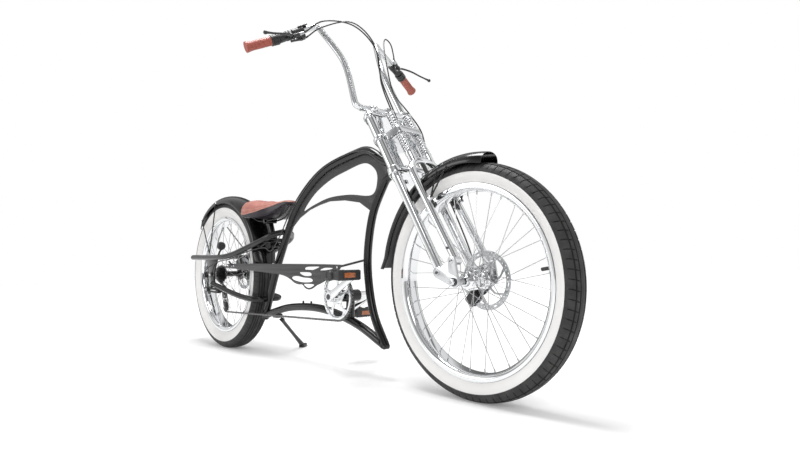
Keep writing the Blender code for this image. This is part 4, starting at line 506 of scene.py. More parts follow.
def spline(points: Sequence[Place], steps: int = 8, closed: bool = False) -> List[Vector]:
    """Points along a Catmull-Rom curve.

    Args:
        points: the places that the curve passes.
        steps: points to a span.
        closed: whether the curve runs back to its start.

    Returns:
        The points of the curve.
    """
    knots = [Vector(p) for p in points]
    count = len(knots)
    path: List[Vector] = []
    for i in range(count if closed else count - 1):
        if closed:
            a, b, c, d = (knots[(i + k) % count] for k in (-1, 0, 1, 2))
        else:
            b, c = knots[i], knots[i + 1]
            a = knots[i - 1] if i else b * 2 - c
            d = knots[i + 2] if i + 2 < count else c * 2 - b
        path += [blend_knots(a, b, c, d, step / steps) for step in range(steps)]
    if not closed:
        path.append(knots[-1])
    return path


def smooth_outline(points: Outline, steps: int = 4) -> List[Pair]:
    """A closed outline rounded through its points."""
    return [(p.x, p.y) for p in spline([(x, y, 0.0) for x, y in points], steps, closed=True)]


def turn_to(direction: Vector) -> Matrix:
    """The rotation that takes Z along a direction."""
    return direction.to_track_quat("Z", "Y").to_matrix().to_4x4()


@dataclass
class Skin:
    """Closed shells gathered into one mesh, each face with the number of its finish."""

    bm: bmesh.types.BMesh = field(default_factory=bmesh.new)

    def loft(self, rings: Sequence[Sequence[Vector]], finish: int = 0, closed: bool = False,
            stripes: Optional[Sequence[int]] = None,
            tone: Optional[Callable[[int, int], int]] = None) -> None:
        """Skin over rings of equal count.

        Args:
            rings: the rings in order.
            finish: number of the finish of every face.
            closed: whether the last ring joins the first; otherwise both ends are capped.
            stripes: numbers of the finish of each span, where they differ.
            tone: number of the finish by span and place round the ring, where that differs too.
        """
        rows = [[self.bm.verts.new(p) for p in ring] for ring in rings]
        spans = list(zip(rows, rows[1:]))
        if closed:
            spans.append((rows[-1], rows[0]))
        for k, (near, far) in enumerate(spans):
            for i in range(len(near)):
                j = (i + 1) % len(near)
                number = tone(k, i) if tone else stripes[k] if stripes else finish
                self.bm.faces.new((near[i], near[j], far[j], far[i])).material_index = number
        if not closed:
            for row in (rows[0], rows[-1]):
                self.bm.faces.new(row).material_index = finish

    def tube(self, path: Sequence[Place], radius: Union[float, Callable[[float], float]], sides: int = 20,
            finish: int = 0, closed: bool = False, flat: float = 1.0) -> None:
        """A round bar along a path.

        Args:
            path: its centre line.
            radius: its radius, or the radius by the share of the path.
            sides: points round it.
            finish: number of its finish.
            closed: whether it runs back into itself.
            flat: how much its second axis is squeezed.
        """
        points = [Vector(p) for p in path]
        count = len(points)
        across: Optional[Vector] = None
        rings = []
        for k, point in enumerate(points):
            before = points[k - 1] if k or closed else point
            after = points[(k + 1) % count] if k < count - 1 or closed else point
            along = (after - before).normalized()
            across = along.orthogonal() if across is None else across - along * across.dot(along)
            across.normalize()
            other = along.cross(across) * flat
            size = radius(k / (count - 1)) if callable(radius) else radius
            rings.append([point + size * (across * cos(a) + other * sin(a)) for a in round_angles(sides)])
        self.loft(rings, finish, closed)

    def lathe(self, profile: Outline, origin: Place, axis: Vector, steps: int = 32, finish: int = 0,
            closed: bool = False, stripes: Optional[Sequence[int]] = None) -> None:
        """A turned form from (radius, distance along the axis) pairs."""
        turn = Matrix.Translation(origin) @ turn_to(axis)
        rings = [[turn @ Vector((r * cos(a), r * sin(a), along)) for a in round_angles(steps)]
            for r, along in profile]
        self.loft(rings, finish, closed, stripes)

    def rod(self, start: Place, end: Place, radius: float, finish: int = 0, steps: int = 24,
            edge: float = 0.0008) -> None:
        """A straight round bar with its ends broken by a small chamfer."""
        start, end = Vector(start), Vector(end)
        length = (end - start).length
        self.lathe(((radius - edge, 0.0), (radius, edge), (radius, length - edge), (radius - edge, length)),
            start, end - start, steps, finish)

    def across(self, x: float, z: float, low: float, high: float, radius: float, finish: int = 0,
            steps: int = 32, edge: float = 0.0008) -> None:
        """A round bar across the bicycle at a plan place, from one y to another."""
        low, high = sorted((low, high))
        self.rod(plan(x, low, z), plan(x, high, z), radius, finish, steps, edge)

    def hexagon(self, start: Place, end: Place, radius: float, finish: int = 0) -> None:
        """A nut or bolt head."""
        self.rod(start, end, radius, finish, 6, 0.0006)

    def ball(self, centre: Place, radius: float, squash: Triple = (1.0, 1.0, 1.0), finish: int = 0,
            turn: Optional[Matrix] = None) -> None:
        """A ball or an egg."""
        made = bmesh.new()
        matrix = Matrix.Translation(centre) @ (turn or Matrix()) @ Matrix.Diagonal((*squash, 1.0))
        bmesh.ops.create_uvsphere(made, u_segments=20, v_segments=12, radius=radius, matrix=matrix)
        self.absorb(made, finish)

    def block(self, centre: Place, size: Triple, turn: Optional[Matrix] = None, edge: float = 0.002,
            finish: int = 0, segments: int = 3) -> None:
        """A rectangular block with rounded edges."""
        made = bmesh.new()
        bmesh.ops.create_cube(made, size=1.0, matrix=Matrix.Diagonal((*size, 1.0)))
        bmesh.ops.bevel(made, geom=made.edges[:], offset=edge, segments=segments, affect="EDGES", profile=0.6)
        bmesh.ops.transform(made, verts=made.verts, matrix=Matrix.Translation(centre) @ (turn or Matrix()))
        self.absorb(made, finish)

    def plate(self, outline: Outline, low: float, high: float, holes: Sequence[Outline] = (),
            matrix: Matrix = SIDE_VIEW, edge: float = 0.0006, finish: int = 0) -> None:
        """A plate with holes and softened edges.

        Args:
            outline: its outline in the matrix's X and Y.
            low: where it starts along the matrix's Z.
            high: where it ends.
            holes: outlines of its holes.
            matrix: the frame that it is drawn in.
            edge: radius of its rounded edges.
            finish: number of its finish.
        """
        curve = bpy.data.curves.new("outline", "CURVE")
        curve.dimensions = "2D"
        curve.fill_mode = "BOTH"
        curve.extrude = (high - low) / 2 - edge
        curve.bevel_depth = edge
        curve.bevel_resolution = 1
        curve.offset = -edge
        for ring in (outline, *holes):
            line = curve.splines.new("POLY")
            line.points.add(len(ring) - 1)
            for point, (x, y) in zip(line.points, ring):
                point.co = (x, y, 0.0, 1.0)
            line.use_cyclic_u = True
        carrier = add_object("outline", curve)
        graph = bpy.context.evaluated_depsgraph_get()
        mesh = bpy.data.meshes.new_from_object(carrier.evaluated_get(graph), depsgraph=graph)
        bpy.data.objects.remove(carrier)
        bpy.data.curves.remove(curve)
        mesh.transform(matrix @ Matrix.Translation((0.0, 0.0, (low + high) / 2)))
        made = bmesh.new()
        made.from_mesh(mesh)
        bpy.data.meshes.remove(mesh)
        bmesh.ops.remove_doubles(made, verts=made.verts, dist=1e-6)
        self.absorb(made, finish)

    def absorb(self, made: bmesh.types.BMesh, finish: int) -> None:
        """Take another mesh in, all in one finish."""
        for face in made.faces:
            face.material_index = finish
        mesh = bpy.data.meshes.new("part")
        made.to_mesh(mesh)
        made.free()
        self.bm.from_mesh(mesh)
        bpy.data.meshes.remove(mesh)

    def piece(self, name: str, body: str, finishes: Sequence[Finish], replaces: Sequence[str] = (),
            slot: str = "", smooth: float = 38.0) -> bpy.types.Object:
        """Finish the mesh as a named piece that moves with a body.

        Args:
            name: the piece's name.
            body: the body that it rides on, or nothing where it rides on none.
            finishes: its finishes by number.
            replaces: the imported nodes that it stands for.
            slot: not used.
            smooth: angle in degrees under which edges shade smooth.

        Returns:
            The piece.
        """
        bmesh.ops.recalc_face_normals(self.bm, faces=self.bm.faces)
        mesh = bpy.data.meshes.new(name)
        self.bm.to_mesh(mesh)
        self.bm.free()
        for finish in finishes:
            mesh.materials.append(finish.material())
        mesh.shade_smooth()
        mesh.set_sharp_from_angle(angle=radians(smooth))
        made = add_object(name, mesh)
        if body:
            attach(made, body)
        if replaces:
            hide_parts(*replaces)
        LOG.info("%s: %d faces", name, len(mesh.polygons))
        return made


# Wheels

@dataclass
class Wheel:
    """A wheel: balloon tyre with its white band, drop-centre rim, laced hub and brake disc."""

    word: str
    axle: Vector
    tyre_radius: float
    tyre_half_width: float
    rim_half_width: float
    white_radius: float
    flanges: Pair
    hub_ends: Pair
    flange_radius: float
    rotor_y: float
    rotor_radius: float
    groove_lines: Sequence[float]
    lateral_band: Pair
    laterals: int
    hub_finish: Finish
    spokes: int = 36
    rim_radius: float = 0.2885
    rim_depth: float = 0.023
    groove_depth: float = 0.0024
    squareness: float = 1.0
    rim_steps: int = 192
    valve_angle: float = 0.0

    def ring_point(self, radius: float, y: float, angle: float) -> Vector:
        """A place on the wheel."""
        return round_axle(self.axle, radius, y, angle)

    def nipple_y(self, spoke: int) -> float:
        """How far from the rim's middle a spoke's nipple sits."""
        return 0.006 if spoke % 2 else -0.006

    def section(self) -> List[Tuple[float, float, float, bool]]:
        """The tyre's outer skin from its left bead to its right one.

        Returns:
            For each point its radius, y, groove depth and whether side cuts reach it.
        """
        height, bead = self.tyre_radius - self.rim_radius, self.rim_half_width - 0.0022
        wall = self.tyre_half_width - bead
        knots = [(0.01, bead), (0.18, bead + 0.55 * wall), (0.36, bead + 0.9 * wall),
            (0.5, self.tyre_half_width)]
        shoulder = ((0.66, 0.955), (0.8, 0.83), (0.91, 0.62), (0.975, 0.36), (1.0, 0.0))
        knots += [(rise, self.tyre_half_width * share ** self.squareness) for rise, share in shoulder]
        curve = spline([(self.rim_radius + height * rise, y, 0.0) for rise, y in knots], 24)
        half = [(point.x, point.y, 0.0, False) for point in curve[:72:12]]
        edge = curve[72:]
        spots = [(edge[0].y * (1 - k / 14), 0.0) for k in range(15)]
        for line in self.groove_lines:
            spots = [m for m in spots if abs(m[0] - line) > 0.0026]
            spots += [(line + shift, 0.0 if abs(shift) > 0.0015 else self.groove_depth) for shift in (-0.002,
                -0.0012, 0.0012, 0.002)]
        white = next(point.y for point in edge if point.x > self.white_radius)
        spots = [m for m in spots if abs(m[0] - white) > 0.001] + [(white, 0.0)]
        for y, depth in sorted(spots, reverse=True):
            near = min(edge, key=lambda point: abs(point.y - y))
            cut_here = self.lateral_band[0] < y < self.lateral_band[1] and near.x > self.white_radius + 0.001
            half.append((near.x, y, depth, cut_here))
        return half + [(r, -y, d, c) for r, y, d, c in reversed(half[:-1])]

    def build_tyre(self) -> None:
        """The tyre with its tread cut into blocks and its white side bands."""
        section = self.section()
        period = tau / self.laterals
        shares = ((0.0, False), (0.02, True), (0.1, True), (0.12, False), (0.42, False), (0.72, False))
        count = len(shares)
        rings, angles = [], [(k + share) * period for k in range(self.laterals) for share, _ in shares]
        for radius, y, depth, cut_here in section:
            slant = 0.35 * period * min(1.0, max(0.0, (abs(y) - 0.01) / 0.03))
            depths = [max(depth, self.groove_depth if cut and cut_here else 0.0) for _, cut in shares]
            rings.append([self.ring_point(radius - depths[i % count], y, angle + slant)
                for i, angle in enumerate(angles)])
        bead = self.rim_half_width - 0.004
        inner = self.rim_radius - self.rim_depth + 0.006
        for y in (-bead, bead):
            rings.append([self.ring_point(inner, y, a) for a in angles])

        def tone(span: int, place: int) -> int:
            """Rubber, white wall or the inside of a cut, which is painted darker as shade."""
            if span >= len(section) - 1:
                return 0
            near, far = section[span], section[span + 1]
            if max(near[0], far[0]) < self.white_radius + 0.0006:
                return 1
            if near[2] > 0 or far[2] > 0 or (place % count < 3 and near[3] and far[3]):
                return 2
            return 0

        skin = Skin()
        skin.loft(rings, 0, True, None, tone)
        skin.piece(f"{self.word}_tyre_tread", f"{self.word}_wheel", (Finish.TREAD, Finish.WHITEWALL,
            Finish.GROOVE), (f"{self.word}_tyre",), "tyre", 30.0)

    def build_rim(self) -> None:
        """The rim with its hooked edges, valve and spoke nipples."""
        edge, wide = self.rim_radius, self.rim_half_width
        floor = edge - self.rim_depth
        outer = [(edge - 0.0006, wide - 0.0014), (edge, wide - 0.0006), (edge - 0.0012, wide),
            (edge - 0.009, wide - 0.0006), (edge - 0.015, wide - 0.0022), (floor + 0.0032, wide - 0.0065),
            (floor + 0.0004, wide - 0.012), (floor - 0.0008, 0.35 * wide)]
        inner = [(floor + 0.0016, 0.35 * wide), (floor + 0.003, wide - 0.0125), (floor + 0.006, wide - 0.008),
            (edge - 0.014, wide - 0.0042), (edge - 0.003, wide - 0.0024)]
        profile = outer + [(r, -y) for r, y in reversed(outer)] + [(r, -y)
            for r, y in reversed(inner)] + inner
        skin = Skin()
        skin.lathe(profile, self.axle, ALONG_Y, self.rim_steps, 0, True)
        for k in range(self.spokes):
            angle = tau * (k + 0.5) / self.spokes
            top, foot = (self.ring_point(floor + rise, self.nipple_y(k), angle) for rise in (0.001, -0.011))
            skin.rod(top, foot, 0.0021, 1, 8, 0.0004)
        rises = (0.002, -0.02, -0.008, -0.034)
        seat, neck, shoulder, tip = (self.ring_point(floor + rise, 0, self.valve_angle) for rise in rises)
        skin.rod(seat, neck, 0.0032, 1, 16)
        skin.rod(shoulder, tip, 0.005, 2, 16, 0.0015)
        skin.piece(f"{self.word}_rim_hoop", f"{self.word}_wheel",
            (Finish.CHROME, Finish.SATIN, Finish.PLASTIC), (f"{self.word}_rim",), "chrome")

    def build_hub(self) -> None:
        """The hub shell with its drilled flanges, and the crossed spokes."""
        right, left = self.flanges
        low, high = self.hub_ends
        rim, barrel = self.flange_radius, 0.016
        skin = Skin()
        flange = ((barrel + 0.003, -0.0046), (rim - 0.0007, -0.0026), (rim, -0.0018), (rim, 0.0018),
            (rim - 0.0007, 0.0026), (barrel + 0.003, 0.0046))
        profile = [(0.0068, low), (0.013, low), (0.015, low + 0.002), (barrel, right - 0.006)]
        profile += [(r, right + y) for r, y in flange]
        profile += [(0.0145, right + 0.01), (0.0128, (right + left) / 2), (0.0145, left - 0.01)]
        profile += [(r, left + y) for r, y in flange]
        profile += [(barrel, left + 0.006), (0.015, high - 0.002), (0.013, high), (0.0068, high)]
        skin.lathe(profile, self.axle, ALONG_Y, 64, 0, True)
        reach = self.rim_radius - self.rim_depth - 0.004
        for k in range(self.spokes):
            lead = 1 if (k // 2) % 2 else -1
            rim_angle = tau * (k + 0.5) / self.spokes
            hub_angle = rim_angle + lead * radians(66.0)
            flange_y, half_flange = self.flanges[k % 2], lead * 0.0034
            root = self.ring_point(rim - 0.004, flange_y + half_flange, hub_angle)
            start = self.ring_point(rim - 0.0036, flange_y - half_flange, hub_angle)
            end = self.ring_point(reach, self.nipple_y(k), rim_angle)
            skin.tube([start, root, root + (end - root).normalized() * 0.006, end], 0.00105, 8, 1)
            skin.ball(start, 0.0019, finish=1)
        skin.piece(f"{self.word}_hub_laced", f"{self.word}_wheel", (self.hub_finish, Finish.SPOKE),
            (f"{self.word}_hub",), "chrome")

    def build_rotor(self) -> None:
        """The brake disc: a drilled and slotted band on six swept arms, with its bolts."""
        radius = self.rotor_radius
        middle = flat_place(self.axle)
        inner = radius - 0.0165
        root, arms = 0.0265, 6
        spread = tau / arms
        window = [(root, 0.1 + 0.13 * i) for i in range(7)] + [(0.5 * (root + inner), 1.13)]
        window += [(inner, 1.44 - 0.115 * i) for i in range(9)] + [(0.5 * (root + inner), 0.22)]
        corners = ((0.006, 0.78), (0.0106, 0.8), (0.0106, 0.94), (0.006, 0.92))
        slot = [(inner + rise, share * spread) for rise, share in corners]
        drilled = ((0.0055, 0.1), (0.011, 0.24), (0.0055, 0.38), (0.011, 0.52), (0.0055, 0.66))
        windows, holes = [], []
        for start in round_angles(arms):
            windows.append(swept(middle, window, start))
            for rise, share in drilled:
                holes.append(circle(polar(middle, inner + rise, start + share * spread), 0.0021, 12))
            holes.append(swept(middle, slot, start))
        skin = Skin()
        low, high = self.rotor_y - 0.001, self.rotor_y + 0.001
        skin.plate(circle(middle, radius, 144), low, high, [circle(middle, 0.013, 32), *windows, *holes],
            edge=0.0002)
        for start in round_angles(arms):
            spot = self.ring_point(0.02, high, start + spread / 2)
            skin.rod(spot, spot + ALONG_Y * 0.0016, 0.0032, 1, 16, 0.0006)
            skin.hexagon(spot + ALONG_Y * 0.001, spot + ALONG_Y * 0.0018, 0.0016, 1)
        skin.piece(f"{self.word}_brake_disc", f"{self.word}_wheel", (Finish.STEEL, Finish.DARK_STEEL),
            (f"{self.word}_rotor",), "steel")

    def build(self) -> None:
        """Build the whole wheel."""
        self.build_tyre()
        self.build_rim()
        self.build_hub()
        self.build_rotor()


@dataclass
class Axle:
    """A stepped axle with spacers, washers and domed nuts."""

    name: str
    node: str
    body: str
    place: Vector
    half_length: float
    plate_y: Pair
    spacer: Pair

    def build(self) -> None:
        """Build the axle."""
        skin = Skin()
        half = ALONG_Y * self.half_length
        skin.rod(self.place - half, self.place + half, 0.005, 0, 24)
        for side in (-1, 1):
            def at(y: float) -> Vector:
                """A place along the axle on this side."""
                return self.place + ALONG_Y * (side * y)
            inner, outer = self.plate_y
            skin.rod(at(self.spacer[0 if side < 0 else 1]), at(inner - 0.0003), 0.0094, 0, 32)
            skin.rod(at(outer + 0.0002), at(outer + 0.003), 0.0122, 2, 32, 0.001)
            skin.hexagon(at(outer + 0.003), at(outer + 0.0092), 0.0092, 1)
            skin.ball(at(outer + 0.009), 0.007, (1.0, 0.75, 1.0), 1)
        skin.piece(self.name, self.body, (Finish.STEEL, Finish.CHROME, Finish.DARK_STEEL), (self.node,),
            "steel")


# Frame

@dataclass
class MainFrame:
    """The welded frame: head tube, arch with its web, down tube, lower tube, bracket and stays."""

    arch_radius: float = 0.0168
    down_radius: float = 0.015
    lower_radius: float = 0.0158
    stay_radius: float = 0.0125
    web_half: float = 0.0028
    head_low: float = 0.828
    head_high: float = 0.945
    down_top: float = 0.853
    dropout_y: Pair = (0.096, 0.102)
    joint: Outline = ((0.0, 0.9), (-0.04, 0.941))
    arch: Outline = ((1.13, 0.8145), (1.045, 0.8155), (0.87, 0.7872), (0.741, 0.7255), (0.63, 0.6385),
        (0.539, 0.514), (0.449, 0.361), (0.374, 0.205), (0.355, 0.166))
    down: Outline = ((1.236, 0.704), (1.203, 0.672), (1.146, 0.58), (1.115, 0.455), (1.115, 0.345),
        (1.143, 0.222), (1.202, 0.12))
    lower: Outline = ((0.365, 0.1775), (0.445, 0.1985), (0.574, 0.223), (0.74, 0.2315), (0.885, 0.22),
        (1.05, 0.181), (1.195, 0.1215))
    window: Outline = ((0.691, 0.632), (0.771, 0.694), (0.88, 0.738), (0.981, 0.759), (1.1, 0.774),
        (1.163, 0.744), (1.176, 0.7), (1.143, 0.652), (1.012, 0.667), (0.881, 0.669), (0.77, 0.65))
    web_edge: Outline = ((1.272, 0.712), (1.203, 0.672), (1.156, 0.61), (1.14, 0.592), (1.072, 0.631),
        (0.98, 0.648), (0.881, 0.654), (0.811, 0.646), (0.737, 0.632), (0.66, 0.604), (0.6, 0.566))
    upper_stay: Route = ((0.552, 0.012, 0.552), (0.51, 0.048, 0.54), (0.458, 0.068, 0.519),
        (0.33, 0.083, 0.487), (0.2, 0.096, 0.459), (0.08, 0.104, 0.451), (-0.225, 0.104, 0.457))
    lower_stay: Route = ((0.396, 0.014, 0.254), (0.388, 0.046, 0.254), (0.355, 0.07, 0.257),
        (0.29, 0.08, 0.264), (0.2, 0.088, 0.28), (0.11, 0.097, 0.301), (0.018, 0.104, 0.322))
    dropout: Outline = ((-0.064, 0.455), (0.06, 0.455), (0.047, 0.405), (0.032, 0.372), (0.036, 0.325),
        (0.02, 0.306), (-0.008, 0.312), (-0.024, 0.35), (-0.04, 0.406), (-0.058, 0.424))
    bracket: Pair = (1.007, 0.287)
    bridge: Pair = (0.462, 0.517)
    seat_foot: Triple = (0.4515, 0.0, 0.4895)
    seat_top: Triple = (0.404, 0.0, 0.605)

    def arch_path(self) -> List[Vector]:
        """The arch's centre line from the head tube to the rear bottom corner."""
        joint = [FORK.place(forward, 0.0, height) for forward, height in self.joint]
        return spline([*joint, *plan_points(self.arch)], 10)

    def down_path(self) -> List[Vector]:
        """The down tube's centre line."""
        return spline([FORK.place(0.0, 0.0, self.down_top), *plan_points(self.down)], 10)

    def weld(self, skin: Skin, centre: Vector, axis: Vector, radius: float) -> None:
        """A rippled weld bead round a joint."""
        turn = Matrix.Translation(centre) @ turn_to(axis)
        path = [turn @ Vector((radius * cos(a), radius * sin(a), 0.0006 * sin(14 * a)))
            for a in round_angles(84)]
        skin.tube(path, 0.0022, 8, 0, True)

    def build_front(self) -> None:
        """Head tube, arch, web, down tube, lower tube and bracket shell."""
        skin = Skin()
        arch = self.arch_path()
        skin.tube(arch, self.arch_radius, 28)
        skin.tube(self.down_path(), self.down_radius, 28)
        skin.tube(spline(plan_points(self.lower), 10), self.lower_radius, 28)
        top = [(x, z) for x, z in map(flat_place, arch) if 0.6 < x < 1.25]
        skin.plate(top[::-1] + list(self.web_edge), -self.web_half, self.web_half,
            [smooth_outline(self.window, 6)], edge=0.0012, finish=1)
        cup = ((0.015, 0.0003), (0.0268, 0.0003), (0.0268, 0.009), (0.0238, 0.011), (0.0235, 0.02))
        head = [(r, self.head_low + h) for r, h in cup] + [(r, self.head_high - h) for r, h in reversed(cup)]
        skin.lathe(head, FORK.place(0, 0, 0), FORK.up, 48, 2, True)
        skin.across(1.2035, 0.1175, -0.013, 0.013, 0.0105, edge=0.003)
        skin.across(*self.bracket, -0.036, 0.036, 0.0215, steps=48, edge=0.0012)
        skin.rod(plan(1.001, 0, 0.2), plan(self.bracket[0], 0, self.bracket[1]), 0.0165)
        for x in (0.68, 0.74):
            skin.rod(plan(x, 0, 0.24), plan(x, 0, 0.256), 0.004)
        skin.block(plan(0.445, 0.013, 0.18), (0.04, 0.03, 0.018), edge=0.003)
        self.weld(skin, FORK.place(0, 0, self.down_top) + Vector((-0.018, 0, -0.01)),
            Vector((-0.55, 0, -0.83)), 0.0165)
        for x, z in ((0.372, 0.196), (1.186, 0.132)):
            self.weld(skin, plan(x, 0, z), Vector((1.0, 0, 0.1)), 0.0168)
        self.weld(skin, plan(1.001, 0, 0.207), ALONG_Z, 0.0172)
        skin.piece("frame_arch_and_tubes", "frame", (Finish.BLACK_ENAMEL, Finish.GREY_ENAMEL,
            Finish.POLISHED), ("main_frame",), "black_paint")

    def build_stays(self) -> None:
        """Both pairs of rear stays with dropouts, bridge and seat sleeve."""
        skin = Skin()
        for side in (-1, 1):
            for stay in (self.upper_stay, self.lower_stay):
                path = spline(plan_points(stay, side), 8)
                skin.tube(path, self.stay_radius, 24)
                skin.ball(path[-1], self.stay_radius, (0.5, 1.0, 1.0))
            low, high = sorted(side * y for y in self.dropout_y)
            slot = belt((((0.0, REAR_AXLE.z), 0.0051), ((0.004, REAR_AXLE.z), 0.0051)), 16)
            skin.plate(smooth_outline(self.dropout, 3), low, high, [slot], edge=0.001)
        skin.plate(belt((((-0.002, 0.322), 0.01), ((-0.01, 0.294), 0.01))), -0.102, -0.096, edge=0.001)
        skin.across(*self.bridge, -0.066, 0.066, 0.01)
        foot, top = plan(*self.seat_foot), plan(*self.seat_top)
        axis = (top - foot).normalized()
        skin.lathe([(0.014, -0.008), (0.017, -0.008), (0.0175, -0.006), (0.0175, 0.048), (0.0195, 0.05),
            (0.0195, 0.063), (0.019, 0.064), (0.014, 0.064)], foot, axis, 40, 0, True)
        lug = foot + axis * 0.057 + Vector((-0.022, 0, 0))
        skin.block(lug, (0.012, 0.016, 0.011), edge=0.002)
        skin.rod(lug - ALONG_Y * 0.012, lug + ALONG_Y * 0.012, 0.0028, 1)
        for y in (0.062, -0.062):
            self.weld(skin, plan(0.458, y, 0.518), ALONG_Y, 0.0105)
        skin.piece("rear_stays_and_sleeve", "frame", (Finish.BLACK_ENAMEL, Finish.CHROME), ("rear_stays",),
            "black_paint")

    def build(self) -> None:
        """Build the whole frame."""
        self.build_front()
        self.build_stays()


@dataclass
class Guards:
    """Both mudguards with their stays, and the chain guard."""

    rear_foot: Triple = (-0.02, 0.104, 0.4701)
    rear_rim: Pair = (0.366, 0.0575)
    front_foot: float = 0.65
    front_rim: Pair = (0.351, 0.049)
    outline: Outline = ((0.151, 0.408), (0.161, 0.4185), (0.6, 0.4125), (1.046, 0.4035), (1.056, 0.395),
        (1.046, 0.384), (1.0, 0.37), (0.96, 0.345), (0.93, 0.334), (0.905, 0.327), (0.891, 0.321),
        (0.867, 0.312), (0.843, 0.3095), (0.819, 0.3155), (0.802, 0.3275), (0.77, 0.3285), (0.739, 0.3355),
        (0.708, 0.349), (0.64, 0.366), (0.476, 0.378), (0.161, 0.398))
    slots: Sequence[Outline] = (((0.82, 0.3905), (0.835, 0.3965), (0.873, 0.3975), (0.92, 0.3965),
        (0.885, 0.3865), (0.854, 0.383), (0.83, 0.385)), ((0.925, 0.3835), (0.951, 0.3915), (0.995, 0.392),
        (1.005, 0.3885), (0.96, 0.3835)), ((0.783, 0.3755), (0.82, 0.3765), (0.859, 0.3745), (0.866, 0.364),
        (0.83, 0.3615), (0.8, 0.366)), ((0.724, 0.354), (0.74, 0.3605), (0.77, 0.361), (0.81, 0.3555),
        (0.858, 0.353), (0.875, 0.345), (0.861, 0.3385), (0.81, 0.337), (0.77, 0.3405), (0.739, 0.346)),
        ((0.812, 0.329), (0.845, 0.331), (0.884, 0.3285), (0.863, 0.3185), (0.843, 0.316), (0.827, 0.32)))

    def sweep(self, skin: Skin, axle: Vector, crown: float, edge: float, half: float, start: float,
            end: float, steps: int = 72, flare: float = 0.0) -> None:
        """A crowned guard with rolled edges, swept round an axle between two angles in degrees."""
        wall = 0.0016
        outer = [(edge + (crown - edge) * max(0.0, cos(lean)) ** 0.8, half * sin(lean))
            for lean in (radians(-90 + 10 * i) for i in range(19))]
        roll = [(edge - 0.0012, half - 0.0005), (edge - 0.0016, half - 0.0024), (edge + 0.0006, half - 0.003)]
        inner = [(r - wall, y * (1 - wall / half)) for r, y in reversed(outer[1:-1])]
        profile = outer + roll + inner + [(r, -y) for r, y in reversed(roll)]
        rings = []
        for step in range(steps + 1):
            share = step / steps
            angle = radians(start + (end - start) * share)
            tip = min(1.0, 8 * share, 8 * (1 - share))
            narrow = 0.8 + 0.2 * sin(0.5 * pi * tip)
            lift = flare * max(0.0, 14 * share - 13) ** 1.5
            wide = max(narrow, min(1.0, 0.5 + share)) if flare else narrow
            rings.append([Vector((axle.x + (r + lift) * cos(angle), y * wide * (1 + 4 * lift),
                axle.z + (r + lift) * sin(angle))) for r, y in profile])
        skin.loft(rings)

    def build_rear(self) -> None:
        """The rear mudguard, its two pairs of stays and its front bracket."""
        skin = Skin()
        self.sweep(skin, REAR_AXLE, crown=0.396, edge=0.358, half=0.057, start=7.0, end=138.0)
        for side in (-1, 1):
            foot = plan(self.rear_foot[0], side * self.rear_foot[1], self.rear_foot[2])
            for angle in (98.0, 128.0):
                tip = round_axle(REAR_AXLE, self.rear_rim[0], side * self.rear_rim[1], radians(angle))
                skin.rod(foot, tip, 0.0028, 0, 12)
                skin.ball(tip, 0.005, (1.0, 0.6, 1.0), 1)
            skin.rod(foot - ALONG_Z * 0.0042, foot + ALONG_Z * 0.004, 0.006, 1, 24)
        bridge = plan(MainFrame.bridge[0], 0.0, MainFrame.bridge[1]) - REAR_AXLE
        reach, along = bridge.length, bridge.normalized()
        for y in (0.034, -0.034):
            base = REAR_AXLE + ALONG_Y * y
            skin.rod(base + along * 0.3865, base + along * (reach - 0.0103), 0.005, 0, 20)
        skin.piece("rear_mudguard", "frame", (Finish.BLACK_ENAMEL, Finish.CHROME), ("rear_fender",),
            "black_paint")

    def build_front(self) -> None:
        """The front mudguard with its strap and stays to the hoop."""
        skin = Skin()
        self.sweep(skin, FRONT_AXLE, crown=0.381, edge=0.345, half=0.05, start=79.0, end=174.0, steps=84,
            flare=0.012)
        top = FORK.hoop(0.0, SpringerFork.hoop_top)
        near = FRONT_AXLE + (top - FRONT_AXLE).normalized() * 0.3808
        strap = belt(((flat_place(near), 0.002), (flat_place(top), 0.002)), 12)
        skin.plate(strap, -0.009, 0.009, edge=0.0006)
        for side in (-1, 1):
            leg = FORK.hoop(side * SpringerFork.hoop_half, self.front_foot)
            seat = leg + FORK.forward * 0.0123
            clamp = seat + FORK.forward * 0.006
            for angle in (99.0, 106.0):
                tip = round_axle(FRONT_AXLE, self.front_rim[0], side * self.front_rim[1], radians(angle))
                skin.rod(clamp, tip, 0.0026, 0, 12)
            skin.rod(seat, clamp + FORK.forward * 0.003, 0.008, 1, 24)
            along, inward = (FORK.hoop(0.0, 1.0) - FORK.hoop(0.0, 0.0)).normalized(), ALONG_Y * -side
            for shift in (-0.014, 0.014):
                eye = leg + along * shift
                skin.ball(eye + inward * 0.02 + FORK.forward * 0.004, 0.0095, (1.1, 0.8, 0.9), 2)
                skin.rod(eye + inward * 0.01, eye + inward * 0.029, 0.004, 1, 12)
            skin.block(leg + inward * 0.0175, (0.02, 0.01, 0.044), turn_to(along), 0.0035, 2)
        skin.piece("front_mudguard", "strut", (Finish.BLACK_ENAMEL, Finish.CHROME, Finish.PLASTIC),
            ("front_fender",), "black_paint")

    def build_chain_guard(self) -> None:
        """The flat chain guard with its flame-like openings and its two brackets."""
        skin = Skin()
        skin.plate(smooth_outline(self.outline, 4), -0.0812, -0.079,
            [smooth_outline(s, 4) for s in self.slots], edge=0.0006)
        front, back, spare = (1.036, 0.394), (0.185, 0.408), (0.205, 0.408)
        for (x, z), end in ((front, (1.108, -0.013, 0.417)), (back, (0.1735, -0.0915, 0.4305))):
            skin.rod(plan(x, -0.08, z), plan(*end), 0.004)
        for x, z in (front, back, spare):
            skin.across(x, z, -0.083, -0.081, 0.0046, 1, 24, 0.0008)
        skin.piece("chain_guard_plate", "frame", (Finish.GREY_ENAMEL, Finish.CHROME), ("chain_guard",),
            "grey_paint")

